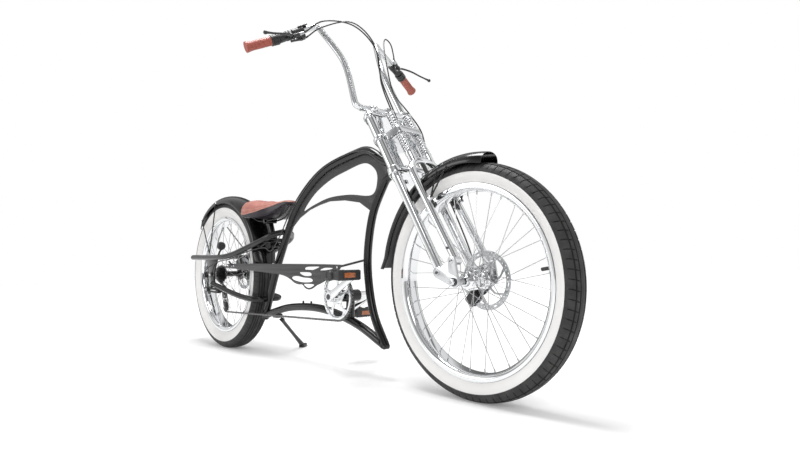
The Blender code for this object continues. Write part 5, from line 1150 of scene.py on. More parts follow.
    def build(self) -> None:
        """Build all three guards."""
        self.build_rear()
        self.build_front()
        self.build_chain_guard()


# Drive

@dataclass
class Drive:
    """Chainring, cranks, pedals, chain, cogs and derailleur."""

    pitch: float = 0.0127
    chain_y: float = -0.06
    bracket: Pair = MainFrame.bracket
    ring_teeth: int = 44
    cog_teeth: Sequence[int] = (22, 20, 18, 16, 14)
    driven: int = 2
    pulley_teeth: int = 11
    bolt_circle: float = 0.0795
    arm_y: float = 0.0955
    pedal_y: float = 0.1545
    guide: Pair = (0.054, 0.287)
    tension: Pair = (0.078, 0.207)
    hanger: Pair = (-0.01, 0.294)
    side_plate: Outline = ((-0.26, 0.0), (-0.18, 0.72), (0.0, 1.0), (0.3, 0.72), (0.7, 0.72), (1.0, 1.0),
        (1.18, 0.72), (1.26, 0.0), (1.18, -0.72), (1.0, -1.0), (0.7, -0.72), (0.3, -0.72), (0.0, -1.0),
        (-0.18, -0.72))
    crank_length: float = 0.172
    crank_angle: float = radians(28.0)

    def pitch_radius(self, teeth: int) -> float:
        """Radius of the chain's pins round a toothed wheel."""
        return self.pitch / (2 * sin(pi / teeth))

    def teeth(self, centre: Pair, count: int) -> List[Pair]:
        """Outline of a toothed wheel, six points to a tooth."""
        radius = self.pitch_radius(count)
        shape = ((0.0, 0.0032), (0.1, 0.0026), (0.3, -0.0016), (0.5, -0.0036), (0.7, -0.0016), (0.9, 0.0026))
        return [polar(centre, radius + rise, tau * (k + share) / count) for k in range(count)
            for share, rise in shape]

    def build_chainring(self) -> None:
        """The chainring with five curled windows, its spider, bolts and outer guard ring."""
        middle = self.bracket
        window = [(0.033, 0.2), (0.045, 0.13), (0.06, 0.16), (0.0735, 0.3), (0.0735, 0.62), (0.0735, 0.95),
            (0.066, 1.14), (0.052, 1.17), (0.04, 1.06), (0.033, 0.8)]
        starts = [angle + 0.3 for angle in round_angles(5)]
        windows = [smooth_outline(swept(middle, window, start), 3) for start in starts]
        skin = Skin()
        skin.plate(self.teeth(middle, self.ring_teeth), self.chain_y - 0.0015, self.chain_y + 0.0015,
            [circle(middle, 0.01, 32), *windows], edge=0.0004)
        skin.plate(circle(middle, 0.0845, 120), self.chain_y - 0.0062, self.chain_y - 0.0046,
            [circle(middle, 0.077, 96)], edge=0.0005)
        skin.across(*middle, -0.0875, self.chain_y, 0.02, edge=0.002, steps=40)
        for start in starts:
            x, z = polar(middle, self.bolt_circle, start)
            skin.across(x, z, self.chain_y - 0.0075, self.chain_y, 0.0042, 1, 20)
            skin.across(x, z, self.chain_y - 0.008, self.chain_y - 0.007, 0.002, 1, 6, 0.0002)
        skin.piece("chainring_toothed", "crankset", (Finish.CHROME, Finish.SATIN), ("chainring",), "chrome")

    def build_cranks(self) -> None:
        """Both tapered crank arms with their fluted faces and bolt caps."""
        for side, word in SIDES:
            turn = self.crank_angle if side < 0 else self.crank_angle + pi
            along = Vector((cos(turn), 0.0, sin(turn)))
            root = plan(self.bracket[0], side * self.arm_y, self.bracket[1])
            skin = Skin()
            rings = []
            for k in range(25):
                share = k / 24
                wide = 0.0135 + 0.0035 * (1 - share) ** 2 - 0.002 * sin(pi * share)
                thick = 0.0062 - 0.0006 * share
                centre = root + along * (self.crank_length * share)
                other = ALONG_Y.cross(along)
                rings.append([centre + other * (wide * squarish(cos(a), 0.6)) + ALONG_Y
                    * (thick * squarish(sin(a), 0.6)) for a in round_angles(28)])
            skin.loft(rings)
            low, high = sorted((side * 0.089, side * 0.102))
            skin.across(*self.bracket, low, high, 0.019, steps=40, edge=0.0015)
            end = polar(self.bracket, self.crank_length, turn)
            skin.across(*end, low, high, 0.014, steps=40, edge=0.0015)
            skin.across(*self.bracket, side * 0.1015, side * 0.104, 0.0105, 1, 32, 0.001)
            skin.across(*end, side * 0.101, side * 0.1052, 0.0085, 1, 6, 0.0006)
            skin.across(*end, side * 0.1, side * 0.204, 0.0052, 1, 20)
            if side > 0:
                skin.across(*self.bracket, -0.1035, 0.1, 0.0084, 1, 32)
                skin.across(*self.bracket, 0.0365, 0.09, 0.0135, 0, 32)
            skin.piece(f"crank_{word}", "crankset", (Finish.CHROME, Finish.DARK_STEEL),
                (f"crank_arm_{word}",), "chrome")

    def build_pedals(self) -> None:
        """Both platform pedals: caged rails, ribs, end cap and a reflector front and back."""
        for side, word in SIDES:
            turn = self.crank_angle if side < 0 else self.crank_angle + pi
            x, z = polar(self.bracket, self.crank_length, turn)
            place = plan(x, side * self.pedal_y, z)
            skin = Skin()
            for step in (-1, 1):
                rail = place + Vector((step * 0.042, 0, 0))
                skin.block(rail, (0.015, 0.094, 0.032), edge=0.0035)
                skin.block(rail + Vector((step * 0.0068, 0.0, 0)), (0.0034, 0.044, 0.0165), edge=0.0008,
                    finish=1)
                for rise in (-0.01, 0.01):
                    skin.block(rail + Vector((step * 0.0066, 0.0, rise)), (0.004, 0.05, 0.0022), edge=0.0006)
                skin.block(place + ALONG_Y * (step * 0.043), (0.084, 0.0085, 0.028), edge=0.0035)
                skin.block(place + ALONG_Y * (step * 0.018), (0.078, 0.0045, 0.021), edge=0.0012)
                for k in range(8):
                    for rise in (0.0163, -0.0163):
                        skin.block(rail + Vector((0, -0.04 + 0.0114 * k, rise)), (0.012, 0.0038, 0.0028),
                            edge=0.0008, segments=1)
            skin.lathe([(0.0062, -0.0475), (0.0125, -0.0475), (0.0135, -0.04), (0.011, -0.015),
                (0.011, 0.015), (0.0135, 0.04), (0.0125, 0.0475), (0.0062, 0.0475)], place, ALONG_Y, 32, 0,
                True)
            skin.lathe([(0.007, -0.006), (0.0178, -0.005), (0.0184, 0.003), (0.0165, 0.0066), (0.012, 0.0072),
                (0.0112, 0.0056), (0.004, 0.005)], place + ALONG_Y * (side * 0.047), ALONG_Y * side, 36)
            skin.piece(f"pedal_platform_{word}", f"{word}_pedal", (Finish.PLASTIC, Finish.AMBER),
                (f"pedal_{word}",), "black_plastic")

    def belt_line(self) -> Tuple[List[Vector], int]:
        """The pins' line over the toothed wheels.

        Returns:
            Points along the whole closed line, and the number of those on its upper part, which ends
            where the chain meets the guide pulley.
        """
        wheels_met = ((self.bracket, self.ring_teeth, 1), ((0.0, REAR_AXLE.z), self.cog_teeth[self.driven],
            1), (self.guide, self.pulley_teeth, -1), (self.tension, self.pulley_teeth, 1))
        stops = [(centre, self.pitch_radius(teeth), turn) for centre, teeth, turn in wheels_met]
        contacts = []
        for k, (centre, radius, turn) in enumerate(stops):
            after, after_radius, after_turn = stops[(k + 1) % len(stops)]
            dx, dz = after[0] - centre[0], after[1] - centre[1]
            lean = asin((radius * turn - after_radius * after_turn) / hypot(dx, dz))
            normal = atan2(dz, dx) + lean - pi / 2
            contacts.append((polar(centre, turn * radius, normal), polar(after, after_turn * after_radius,
                normal)))
        line: List[Vector] = []
        upper = 0
        for k, (centre, radius, turn) in enumerate(stops):
            if k == 2:
                upper = len(line)
            start, end = contacts[k - 1][1], contacts[k][0]
            first = atan2(start[1] - centre[1], start[0] - centre[0])
            sweep = (turn * (atan2(end[1] - centre[1], end[0] - centre[0]) - first)) % tau
            for step in range(41):
                x, z = polar(centre, radius, first + turn * sweep * step / 40)
                line.append(plan(x, self.chain_y, z))
        return line, upper

    def links(self, line: Sequence[Vector], name: str, pull: Optional[Tuple[Vector, Vector]] = None) -> None:
        """A run of chain laid along a line.

        Args:
            line: the pins' line.
            name: the piece's name.
            pull: where the run starts and ends, or nothing; only whether it is given is used, and a run with
                it rides on no body.
        """
        lengths = [0.0]
        for a, b in zip(line, line[1:]):
            lengths.append(lengths[-1] + (b - a).length)
        count = max(1, round(lengths[-1] / self.pitch))
        pins, span = [], 0
        for k in range(count + 1):
            want = lengths[-1] * k / count
            while span < len(line) - 2 and lengths[span + 1] < want:
                span += 1
            share = (want - lengths[span]) / max(1e-9, lengths[span + 1] - lengths[span])
            pins.append(line[span].lerp(line[span + 1], share))
        skin = Skin()
        for k, (a, b) in enumerate(zip(pins, pins[1:])):
            out = 0.0031 if k % 2 else 0.0022
            along = (b - a).normalized()
            rise = Vector((-along.z, 0.0, along.x))
            for s in (-1, 1):
                skin.loft([[a + along * ((b - a).length * u) + rise * (0.004 * v) + ALONG_Y * y
                    for u, v in self.side_plate] for y in (out * s, (out + 0.0008) * s)])
            skin.lathe(((0.0019, -0.0042), (0.0019, 0.0042)), a, ALONG_Y, 8)
            skin.lathe(((0.0036, -0.002), (0.0036, 0.002)), a, ALONG_Y, 10)
        made = skin.piece(name, "" if pull else "frame", (Finish.CHAIN_STEEL,), ("chain",), "steel", 30.0)
        if pull:
            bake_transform(made)

    def build_chain(self) -> None:
        """The chain in two runs: the upper one, and the one that the cage keeps tight."""
        line, upper = self.belt_line()
        self.links(line[:upper + 1], "chain_upper_run")
        pull = plan(0.9, self.chain_y, 0.19), plan(0.09, self.chain_y, 0.19)
        self.links([*line[upper:], line[0]], "chain_lower_run", pull)

    def build_cogs(self) -> None:
        """Five cogs with lightening holes on their carrier, and the lock ring."""
        middle = (0.0, REAR_AXLE.z)
        skin = Skin()
        for k, count in enumerate(self.cog_teeth):
            y = self.chain_y + (self.driven - k) * 0.006
            radius = 0.5 * (self.pitch_radius(count) - 0.004 + 0.019)
            holes = [circle(polar(middle, radius, a), 0.38 * (radius - 0.019), 16) for a in round_angles(8)]
            skin.plate(self.teeth(middle, count), y - 0.001, y + 0.001, [circle(middle, 0.01, 24), *holes],
                edge=0.0003)
        skin.lathe([(0.0068, -0.0765), (0.015, -0.0765), (0.0165, -0.0745), (0.018, -0.074), (0.018, -0.043),
            (0.0068, -0.043)], REAR_AXLE, ALONG_Y, 36, 0, True)
        skin.piece("cog_stack", "cogs", (Finish.DARK_STEEL,), ("cassette",), "steel")

    def build_derailleur(self) -> None:
        """The derailleur's body, cage and two jockey wheels."""
        cage = Skin()
        outline = belt(((self.guide, 0.012), (self.tension, 0.01)))
        x, z = (self.guide[0] + self.tension[0]) / 2, (self.guide[1] + self.tension[1]) / 2
        opening = belt((((x, z), 0.0052), ((x + 0.008, z - 0.018), 0.0045)), 24)
        for low, high in ((-0.069, -0.0668), (-0.0532, -0.051)):
            cage.plate(outline, low, high, [opening], edge=0.0005)
        for x, z in (self.guide, self.tension):
            cage.across(x, z, -0.071, -0.05, 0.0022, 1, 16)
            cage.across(x, z, -0.0715, -0.0688, 0.0042, 1, 24, 0.0006)
        cage.across(*self.guide, -0.0795, -0.068, 0.0085)
        cage.piece("derailleur_cage_plates", "cage", (Finish.DARK_STEEL, Finish.STEEL), ("derailleur_cage",),
            "black_plastic")
        for body, node, centre in (("upper_jockey", "guide_pulley", self.guide),
                ("lower_jockey", "tension_pulley", self.tension)):
            wheel = Skin()
            holes = [circle(polar(centre, 0.0115, a), 0.0022, 12) for a in round_angles(5)]
            wheel.plate(self.teeth(centre, self.pulley_teeth), self.chain_y - 0.0018, self.chain_y + 0.0018,
                [circle(centre, 0.0025, 16), *holes], edge=0.0004)
            wheel.piece(f"{node}_wheel", body, (Finish.PLASTIC,), (node,), "black_plastic")
        body = Skin()
        body.across(*self.hanger, -0.124, -0.1023, 0.0115, edge=0.002)
        body.across(*self.hanger, -0.1262, -0.1235, 0.007, 1, 24)
        body.across(*self.guide, -0.1, -0.0798, 0.0125, edge=0.002)
        back, front = plan(self.hanger[0], -0.114, self.hanger[1]), plan(self.guide[0], -0.092, self.guide[1])
        for rise in (0.0065, -0.0075):
            start, end = back + ALONG_Z * rise, front + ALONG_Z * rise
            body.tube([start, start.lerp(end, 0.5), end], 0.0058, 20, 0, False, 0.7)
        centre = back.lerp(front, 0.5) + ALONG_Y * 0.0005
        body.block(centre, (0.04, 0.004, 0.012), Matrix.Rotation(0.33, 4, "Z"), 0.0015, 1)
        body.piece("derailleur_links", "frame", (Finish.PLASTIC, Finish.SATIN), ("derailleur_body",),
            "black_plastic")

    def build(self) -> None:
        """Build the whole drive."""
        self.build_chainring()
        self.build_cranks()
        self.build_pedals()
        self.build_chain()
        self.build_cogs()
        self.build_derailleur()


# Springer fork

@dataclass
class SpringerFork:
    """Crowns, legs, sprung hoop, coil springs and rockers."""

    leg_forward: float = 0.045
    leg_half: float = 0.075
    hoop_half: float = 0.07
    hoop_radius: float = 0.012
    hoop_top: float = 0.822
    rod_y: float = 0.04
    lower_crown: Pair = (0.804, 0.828)
    middle_crown: Pair = (0.945, 0.957)
    top_crown: Pair = (1.046, 1.058)
    perch: Pair = (0.931, 0.9576)
    spring_low: float = 0.852
    spring_high: float = 1.024
    coil_radius: float = 0.0124
    wire: float = 0.0024
    plate_y: Pair = (0.0855, 0.0925)
    lug_y: float = 0.0852
    caliper_foot: Pair = (1.572, 0.312)

    @property
    def rocker_pivot(self) -> Pair:
        """The rocker's turning point on the leg, in plan x and z."""
        return flat_place(FORK.place(self.leg_forward, 0.0, FORK.rocker_height))

    @property
    def strut_pivot(self) -> Pair:
        """The hoop's foot on the rocker, in plan x and z."""
        return flat_place(FORK.hoop(0.0, FORK.rocker_height))

    def crown_plate(self, skin: Skin, heights: Pair, hub: float = 0.02, bore: float = 0.0145) -> None:
        """A crown plate with its three eyes."""
        middle, legs = (0.0, 0.0), [(self.leg_forward, side * self.leg_half) for side in (1, -1)]
        holes = [circle(leg, 0.0172, 36) for leg in legs] + ([circle(middle, bore, 36)] if bore else [])
        outline = belt([(middle, hub), *((leg, 0.0235) for leg in legs)])
        skin.plate(outline, *heights, holes, FORK.matrix(), 0.0022)

    def build_crowns(self) -> None:
        """The three crowns, the steerer, the spring perch and the bar clamps."""
        lower = Skin()
        self.crown_plate(lower, self.lower_crown, bore=0.0)
        cap, ahead = self.top_crown[1], FORK.bar_forward
        lower.rod(FORK.place(0, 0, self.lower_crown[0] - 0.006), FORK.place(0, 0, cap + 0.006), 0.014)
        lower.hexagon(FORK.place(0, 0, cap + 0.0003), FORK.place(0, 0, cap + 0.01), 0.019)
        lower.piece("steerer_and_lower_crown", "fork", (Finish.CHROME,), ("lower_crown",), "chrome")
        middle = Skin()
        self.crown_plate(middle, self.middle_crown)
        forward = FORK.hoop_forward + FORK.hoop_lean * (self.perch[0] - FORK.rocker_height)
        rods = [(forward, s * self.rod_y) for s in (1, -1)]
        ears = [(self.leg_forward + 0.026, s * self.leg_half * 0.8) for s in (1, -1)]
        outline = belt([*((rod, 0.0185) for rod in rods), *((ear, 0.01) for ear in ears)])
        middle.plate(outline, *self.perch, [circle(rod, 0.007, 24) for rod in rods], FORK.matrix(), 0.0025)
        for s in (1, -1):
            spot = FORK.place(self.leg_forward - 0.02, s * (self.leg_half - 0.004), 0.951)
            middle.rod(spot - FORK.forward * 0.006, spot + FORK.forward * 0.004, 0.0034, 1, 16)
        middle.piece("middle_crown_and_perch", "fork", (Finish.POLISHED, Finish.DARK_STEEL),
            ("middle_crown",), "chrome")
        top = Skin()
        clamp = [(0.0113, 0.0), (0.016, 0.0), (0.017, 0.001), (0.017, 0.011), (0.016, 0.012), (0.0113, 0.012)]
        self.crown_plate(top, self.top_crown)
        bar = FORK.place(ahead, 0.0, FORK.bar_height)
        for s in (1, -1):
            y = s * 0.036
            top.rod(FORK.place(ahead, y, cap - 0.004), FORK.place(ahead, y, 1.088), 0.013)
            for low in (y - 0.013, y + 0.001):
                top.lathe(clamp, Vector((bar.x, low, bar.z)), ALONG_Y, 40, 0, True)
            top.rod(FORK.place(ahead - 0.0185, y, 1.099), FORK.place(ahead - 0.0185, y, 1.112), 0.0034, 1, 16)
        top.piece("top_crown_and_clamps", "fork", (Finish.CHROME, Finish.DARK_STEEL), ("top_crown",),
            "chrome")

    def build_legs(self) -> None:
        """The two fixed legs with their collars, lugs and rocker bolts."""
        x, z = self.rocker_pivot
        for side, word in SIDES:
            y = side * self.leg_half
            skin = Skin()
            low, crown, cap = FORK.rocker_height, self.lower_crown[0], self.top_crown[1]
            skin.lathe([(0.0118, low + 0.006), (0.0143, low + 0.01), (0.0145, low + 0.016),
                (0.0145, crown - 0.022), (0.0158, crown - 0.019), (0.017, crown - 0.012),
                (0.017, cap + 0.003), (0.0166, cap + 0.0035), (0.0166, cap + 0.005), (0.0172, cap + 0.0055),
                (0.016, cap + 0.011), (0.01, cap + 0.014)], FORK.place(self.leg_forward, y, 0.0), FORK.up, 48)
            skin.across(x, z, side * 0.063, side * self.lug_y, 0.014, 0, 40, 0.0015)
            skin.across(x, z, side * 0.07, side * 0.096, 0.005, 1, 20)
            skin.across(x, z, side * 0.0928, side * 0.0946, 0.009, 2, 28, 0.0008)
            for step in (-0.0038, 0.0038):
                skin.across(x + step, z + 0.3 * step, side * 0.094, side * 0.0958, 0.0026, 1, 12, 0.0004)
            skin.piece(f"fork_leg_tube_{word}", "fork", (Finish.CHROME, Finish.DARK_STEEL, Finish.SATIN),
                (f"fork_leg_{word}",), "chrome")

    def build_hoop(self) -> None:
        """The sprung hoop with its rods, sleeves, collars and nuts."""
        skin = Skin()
        rises = [FORK.rocker_height + 0.004 + 0.03 * k for k in range(3)]
        path = [FORK.hoop(-self.hoop_half, height) for height in rises]
        path += [FORK.hoop(-self.hoop_half * cos(a), self.hoop_top - self.hoop_half * (1 - sin(a)))
            for a in (pi * k / 40 for k in range(41))]
        path += [FORK.hoop(self.hoop_half, height) for height in reversed(rises)]
        skin.tube(path, self.hoop_radius, 28)
        base = self.hoop_top - self.hoop_half + sqrt(self.hoop_half ** 2 - self.rod_y ** 2)
        for side in (-1, 1):
            y = side * self.rod_y
            foot = FORK.hoop(y, 0.0)
            along, seat, top = FORK.hoop(y, 1.0) - foot, self.spring_low, self.spring_high
            sleeve = ((0.012, base), (0.0138, base + 0.004), (0.0138, seat - 0.008), (0.015, seat - 0.006),
                (0.015, seat - 0.001), (0.006, seat - 0.0003))
            rod = ((0.0056, base), (0.006, base + 0.001), (0.006, top + 0.023), (0.005, top + 0.024))
            washer = ((0.014, top + 0.0003), (0.015, top + 0.001), (0.015, top + 0.0045),
                (0.0135, top + 0.0055))
            nut = ((0.01, top + 0.0055), (0.0106, top + 0.006), (0.0106, top + 0.0155), (0.01, top + 0.016))
            for profile, steps in ((sleeve, 36), (rod, 24), (washer, 36), (nut, 6)):
                skin.lathe(profile, foot, along, steps)
            inner = side * (self.hoop_half - self.hoop_radius)
            skin.across(*self.strut_pivot, inner, side * self.lug_y, 0.0125, 0, 36, 0.0015)
            spot = FORK.hoop(side * self.hoop_half, FORK.rocker_height + 0.044)
            skin.rod(spot - ALONG_Y * (side * 0.01), spot + ALONG_Y * (side * 0.0155), 0.0042, 1, 20)
        skin.piece("sprung_hoop", "strut", (Finish.CHROME, Finish.DARK_STEEL), ("springer_hoop",), "chrome")

    def build_springs(self) -> None:
        """The four coil springs, each with closed and ground end curls."""
        for side, word in SIDES:
            y = side * self.rod_y
            for label, seat, end, curls in (("lower", self.perch[0], self.spring_low, 8.0),
                    ("upper", self.perch[1], self.spring_high, 6.5)):
                fixed, moving = FORK.hoop(y, seat), FORK.hoop(y, end)
                along = (moving - fixed).normalized()
                fixed, moving = fixed + along * self.wire, moving - along * self.wire
                turn = turn_to(along)
                length = (moving - fixed).length
                total = int(curls * 24)
                path = []
                for share in (k / total for k in range(total + 1)):
                    eased = share - 0.35 / curls * sin(tau * share)
                    ahead, aside = polar((0.0, 0.0), self.coil_radius, tau * curls * share)
                    path.append(fixed + turn @ Vector((ahead, aside, length * eased)))
                skin = Skin()
                skin.tube(path, self.wire, 12)
                made = skin.piece(f"{label}_coil_{word}", "", (Finish.POLISHED,), (f"{label}_spring_{word}",),
                    "chrome")
                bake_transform(made)

    def build_rockers(self) -> None:
        """The two rocker plates with their bolts."""
        pivot, strut = self.rocker_pivot, self.strut_pivot
        axle = flat_place(FRONT_AXLE)
        for side, word in SIDES:
            low, high = sorted(side * y for y in self.plate_y)
            skin = Skin()
            hole = circle(axle, 0.0064, 24)
            arms = [((pivot, 0.0165), (axle, 0.0165)), ((strut, 0.0145), (axle, 0.017)),
                ((pivot, 0.0085), (strut, 0.0075), (axle, 0.015))]
            if side > 0:
                arms.append(((pivot, 0.012), (self.caliper_foot, 0.012), (axle, 0.012)))
            for k, arm in enumerate(arms):
                skin.plate(belt(arm), low + 0.0002 * k, high - 0.0002 * k, [hole], edge=0.0012)
            skin.across(*strut, side * 0.0915, side * 0.094, 0.008, 0, 28, 0.001)
            for step in (-0.0034, 0.0034):
                skin.across(strut[0] + step, strut[1] + 0.3 * step, side * 0.0935, side * 0.0952, 0.0024, 1,
                    12, 0.0004)
            skin.piece(f"rocker_plate_{word}", "rocker", (Finish.SATIN, Finish.DARK_STEEL),
                (f"rocker_{word}",), "silver")

    def build(self) -> None:
        """Build the whole fork."""
        self.build_crowns()
        self.build_legs()
        self.build_hoop()
        self.build_springs()
        self.build_rockers()


@dataclass
class Brakes:
    """Front and rear calipers and the front one's cable arm."""

    front_centre: Triple = (1.56, 0.054, 0.292)

    def caliper(self, skin: Skin, centre: Vector, turn: float) -> None:
        """A two-piece caliper with a slot for its disc, its adjuster and bolts."""
        matrix = Matrix.Rotation(turn, 4, "Y")
        for side, thick in ((-1, 0.0115), (1, 0.0165)):
            middle = centre + ALONG_Y * (side * (0.0026 + thick / 2))
            skin.block(middle, (0.044, thick, 0.034), matrix, 0.0045)
            skin.rod(middle, middle + ALONG_Y * (side * (thick / 2 + 0.0012)), 0.0115, 0, 28, 0.001)
        skin.block(centre + matrix @ Vector((0.0186, 0.0, 0.0)), (0.0064, 0.012, 0.03), matrix, 0.001)
        for offset in (-0.0105, 0.0105):
            bolt = centre + matrix @ Vector((0.0182, 0.0, offset))
            skin.rod(bolt - ALONG_Y * 0.015, bolt + ALONG_Y * 0.0205, 0.003, 1, 16)

    def build(self) -> None:
        """Build both calipers and the arm."""
        centre = plan(*self.front_centre)
        turn = -atan2(centre.z - FRONT_AXLE.z, centre.x - FRONT_AXLE.x)
        front = Skin()
        self.caliper(front, centre, turn)
        front.across(*SpringerFork.caliper_foot, 0.065, SpringerFork.lug_y, 0.0085)
        front.rod(plan(1.548, 0.068, 0.303), plan(1.538, 0.068, 0.314), 0.0036, 1, 16)
        front.piece("front_brake_caliper", "rocker", (Finish.PLASTIC, Finish.STEEL), ("front_caliper",),
            "black_plastic")
        pivot = (self.front_centre[0] - 0.002, self.front_centre[2] - 0.003)
        eye = (pivot[0] - 0.026, pivot[1] - 0.004)
        arm = Skin()
        arm.across(*pivot, 0.0753, 0.0815, 0.008, edge=0.001)
        arm.plate(belt(((pivot, 0.0052), (eye, 0.0044))), 0.0768, 0.0806, edge=0.0008)
        arm.across(*eye, 0.0745, 0.083, 0.0028, 1, 16)
        arm.piece("brake_cable_arm", "brake_arm", (Finish.PLASTIC, Finish.STEEL), ("caliper_arm",),
            "black_plastic")
        rear = Skin()
        angle = radians(128.0)
        self.caliper(rear, round_axle(REAR_AXLE, 0.069, 0.074, angle), -angle)
        rear.across(-0.045, 0.43, 0.084, 0.0957, 0.007)
        rear.piece("rear_brake_caliper", "frame", (Finish.PLASTIC, Finish.STEEL), ("rear_caliper",),
            "black_plastic")


# Cockpit

@dataclass
class Cockpit:
    """Handlebar, grips, brake levers, shifter and cables."""

    bar_radius: float = 0.011
    bore: float = 0.0113
    perch_y: float = 0.25
    shifter_y: float = 0.205
    bar: Route = ((0.0, 0.074, 0.0), (0.0011, 0.096, 0.0014), (-0.0029, 0.105, 0.0089),
        (-0.0099, 0.109, 0.0239), (-0.0884, 0.0925, 0.186), (-0.1689, 0.13, 0.3139), (-0.1799, 0.137, 0.3299),
        (-0.1879, 0.147, 0.3369), (-0.1959, 0.168, 0.3279), (-0.2029, 0.22, 0.2989), (-0.2129, 0.287, 0.2609),
        (-0.2456, 0.392, 0.2154))
    lever: Route = ((-0.1809, 0.252, 0.2669), (-0.1639, 0.266, 0.2639), (-0.1469, 0.3, 0.2544),
        (-0.1389, 0.342, 0.2424), (-0.1289, 0.385, 0.2309))
    front_brake: Route = ((1.0407, 0.2128, 1.2316), (1.052, 0.201, 1.243), (1.054, 0.185, 1.285),
        (1.06, 0.152, 1.296), (1.08, 0.125, 1.2575), (1.1227, 0.1, 1.1656), (1.174, 0.086, 1.04),
        (1.25, 0.09, 0.945), (1.3, 0.101, 0.87), (1.33, 0.104, 0.78), (1.42, 0.104, 0.62),
        (1.49, 0.104, 0.48), (1.515, 0.106, 0.41), (1.512, 0.102, 0.37), (1.518, 0.09, 0.34),
        (1.5368, 0.068, 0.3153))
    rear_brake: Route = ((1.0407, -0.2128, 1.2316), (1.1, -0.17, 1.265), (1.17, -0.09, 1.245),
        (1.23, -0.04, 1.15), (1.245, -0.033, 1.03), (1.27, -0.01, 0.93), (1.29, -0.006, 0.89))
    shift: Route = ((1.00617, -0.18565, 1.23069), (1.06, -0.15, 1.262), (1.13, -0.07, 1.278),
        (1.205, -0.03, 1.185), (1.235, -0.025, 1.05), (1.26, 0.006, 0.94), (1.278, 0.008, 0.9))
    frame_shift: Route = ((1.19, -0.0225, 0.79), (1.115, -0.0235, 0.815), (1.0, -0.0235, 0.815),
        (0.86, -0.0235, 0.787), (0.739, -0.0235, 0.728), (0.628, -0.024, 0.641), (0.55, -0.035, 0.53),
        (0.51, -0.056, 0.47), (0.46, -0.064, 0.485), (0.33, -0.0815, 0.47), (0.2, -0.096, 0.441),
        (0.09, -0.104, 0.43), (-0.01, -0.122, 0.395), (-0.055, -0.124, 0.34), (-0.043, -0.12, 0.302),
        (-0.023, -0.117, 0.294))

    @property
    def stem(self) -> Vector:
        """Middle of the handlebar in its clamps."""
        return FORK.place(FORK.bar_forward, 0.0, FORK.bar_height)

    def on_bar(self, offset: Sequence[float], side: int = 1) -> Vector:
        """A place given from the middle of the bar."""
        return self.stem + Vector((offset[0], offset[1] * side, offset[2]))

    def bar_place(self, y: float) -> Tuple[Vector, Vector]:
        """The bar's centre and direction at a sideways distance on the left."""
        points = [self.on_bar(p) for p in self.bar[8:]]
        for near, far in zip(points, points[1:]):
            if near.y <= y <= far.y:
                return near.lerp(far, (y - near.y) / (far.y - near.y)), (far - near).normalized()
        return points[-1], (points[-1] - points[-2]).normalized()

    def build_bar(self) -> None:
        """The one-piece ape-hanger bar."""
        left = [self.on_bar(p) for p in self.bar]
        path = spline([Vector((p.x, -p.y, p.z)) for p in reversed(left)] + left, 6)
        skin = Skin()
        skin.tube(path, self.bar_radius, 28)
        skin.piece("ape_hanger_bar", "fork", (Finish.POLISHED,), ("handlebar",), "chrome")

    def build_grip(self, side: int, word: str) -> None:
        """A leather grip with its inner collar, stitched seam and flared end."""
        inner, outer = self.on_bar(self.bar[-2], side), self.on_bar(self.bar[-1], side)
        along = (outer - inner).normalized()
        length = (outer - inner).length + 0.005

        def flare(share: float) -> float:
            """How much wider the grip grows towards its open end."""
            return 0.0035 * max(0.0, (share - 0.72) / 0.28) ** 1.6

        profile = [(0.0112, 0.0), (0.0178, 0.0), (0.019, 0.0012), (0.019, 0.008), (0.0176, 0.0088),
            (0.0176, 0.0105), (0.019, 0.0113), (0.019, 0.02), (0.0176, 0.0208), (0.0176, 0.0225),
            (0.019, 0.0233), (0.019, 0.029), (0.0165, 0.0305)]
        collar = len(profile) - 1
        for k in range(1, 22):
            share = k / 22
            profile.append((0.0158 + flare(share) + 0.0006 * sin(pi * share),
                0.0315 + (length - 0.0355) * share))
        profile += [(0.0196, length - 0.003), (0.019, length - 0.0008), (0.016, length),
            (0.006, length + 0.0006)]
        skin = Skin()
        stripes = [1] * collar + [0] * (len(profile) - 1 - collar)
        skin.lathe(profile, inner, along, 40, 0, False, stripes)
        turn = Matrix.Translation(inner) @ turn_to(along)
        for k in range(18):
            height = 0.034 + (length - 0.056) * k / 18
            radius = 0.0162 + flare(height / length)
            for lean in (-0.05, 0.05):
                ends = ((2.2 + lean, height), (2.2 - lean, height + 0.004))
                skin.tube([turn @ Vector((*polar((0.0, 0.0), radius, a), h)) for a, h in ends], 0.00035, 5, 2)
        skin.piece(f"leather_grip_{word}", "fork", (Finish.GRIP, Finish.PLASTIC, Finish.THREAD),
            (f"grip_{word}",), "grip_leather")

    def lever_axis(self) -> Vector:
        """The left lever's turning axis."""
        first, second, last = (self.on_bar(self.lever[k]) for k in (0, 1, -1))
        return (second - first).cross(last - first).normalized()

    def build_lever(self, side: int, word: str) -> None:
        """A brake perch with its clamp, ears and adjuster, and the blade."""
        centre, along = self.bar_place(self.perch_y)
        mirror = Matrix.Diagonal((1.0, float(side), 1.0, 1.0))
        axis, pivot = self.lever_axis(), self.on_bar(self.lever[0])

        def at(point: Vector) -> Vector:
            """A place of the left side on this one."""
            return mirror @ point

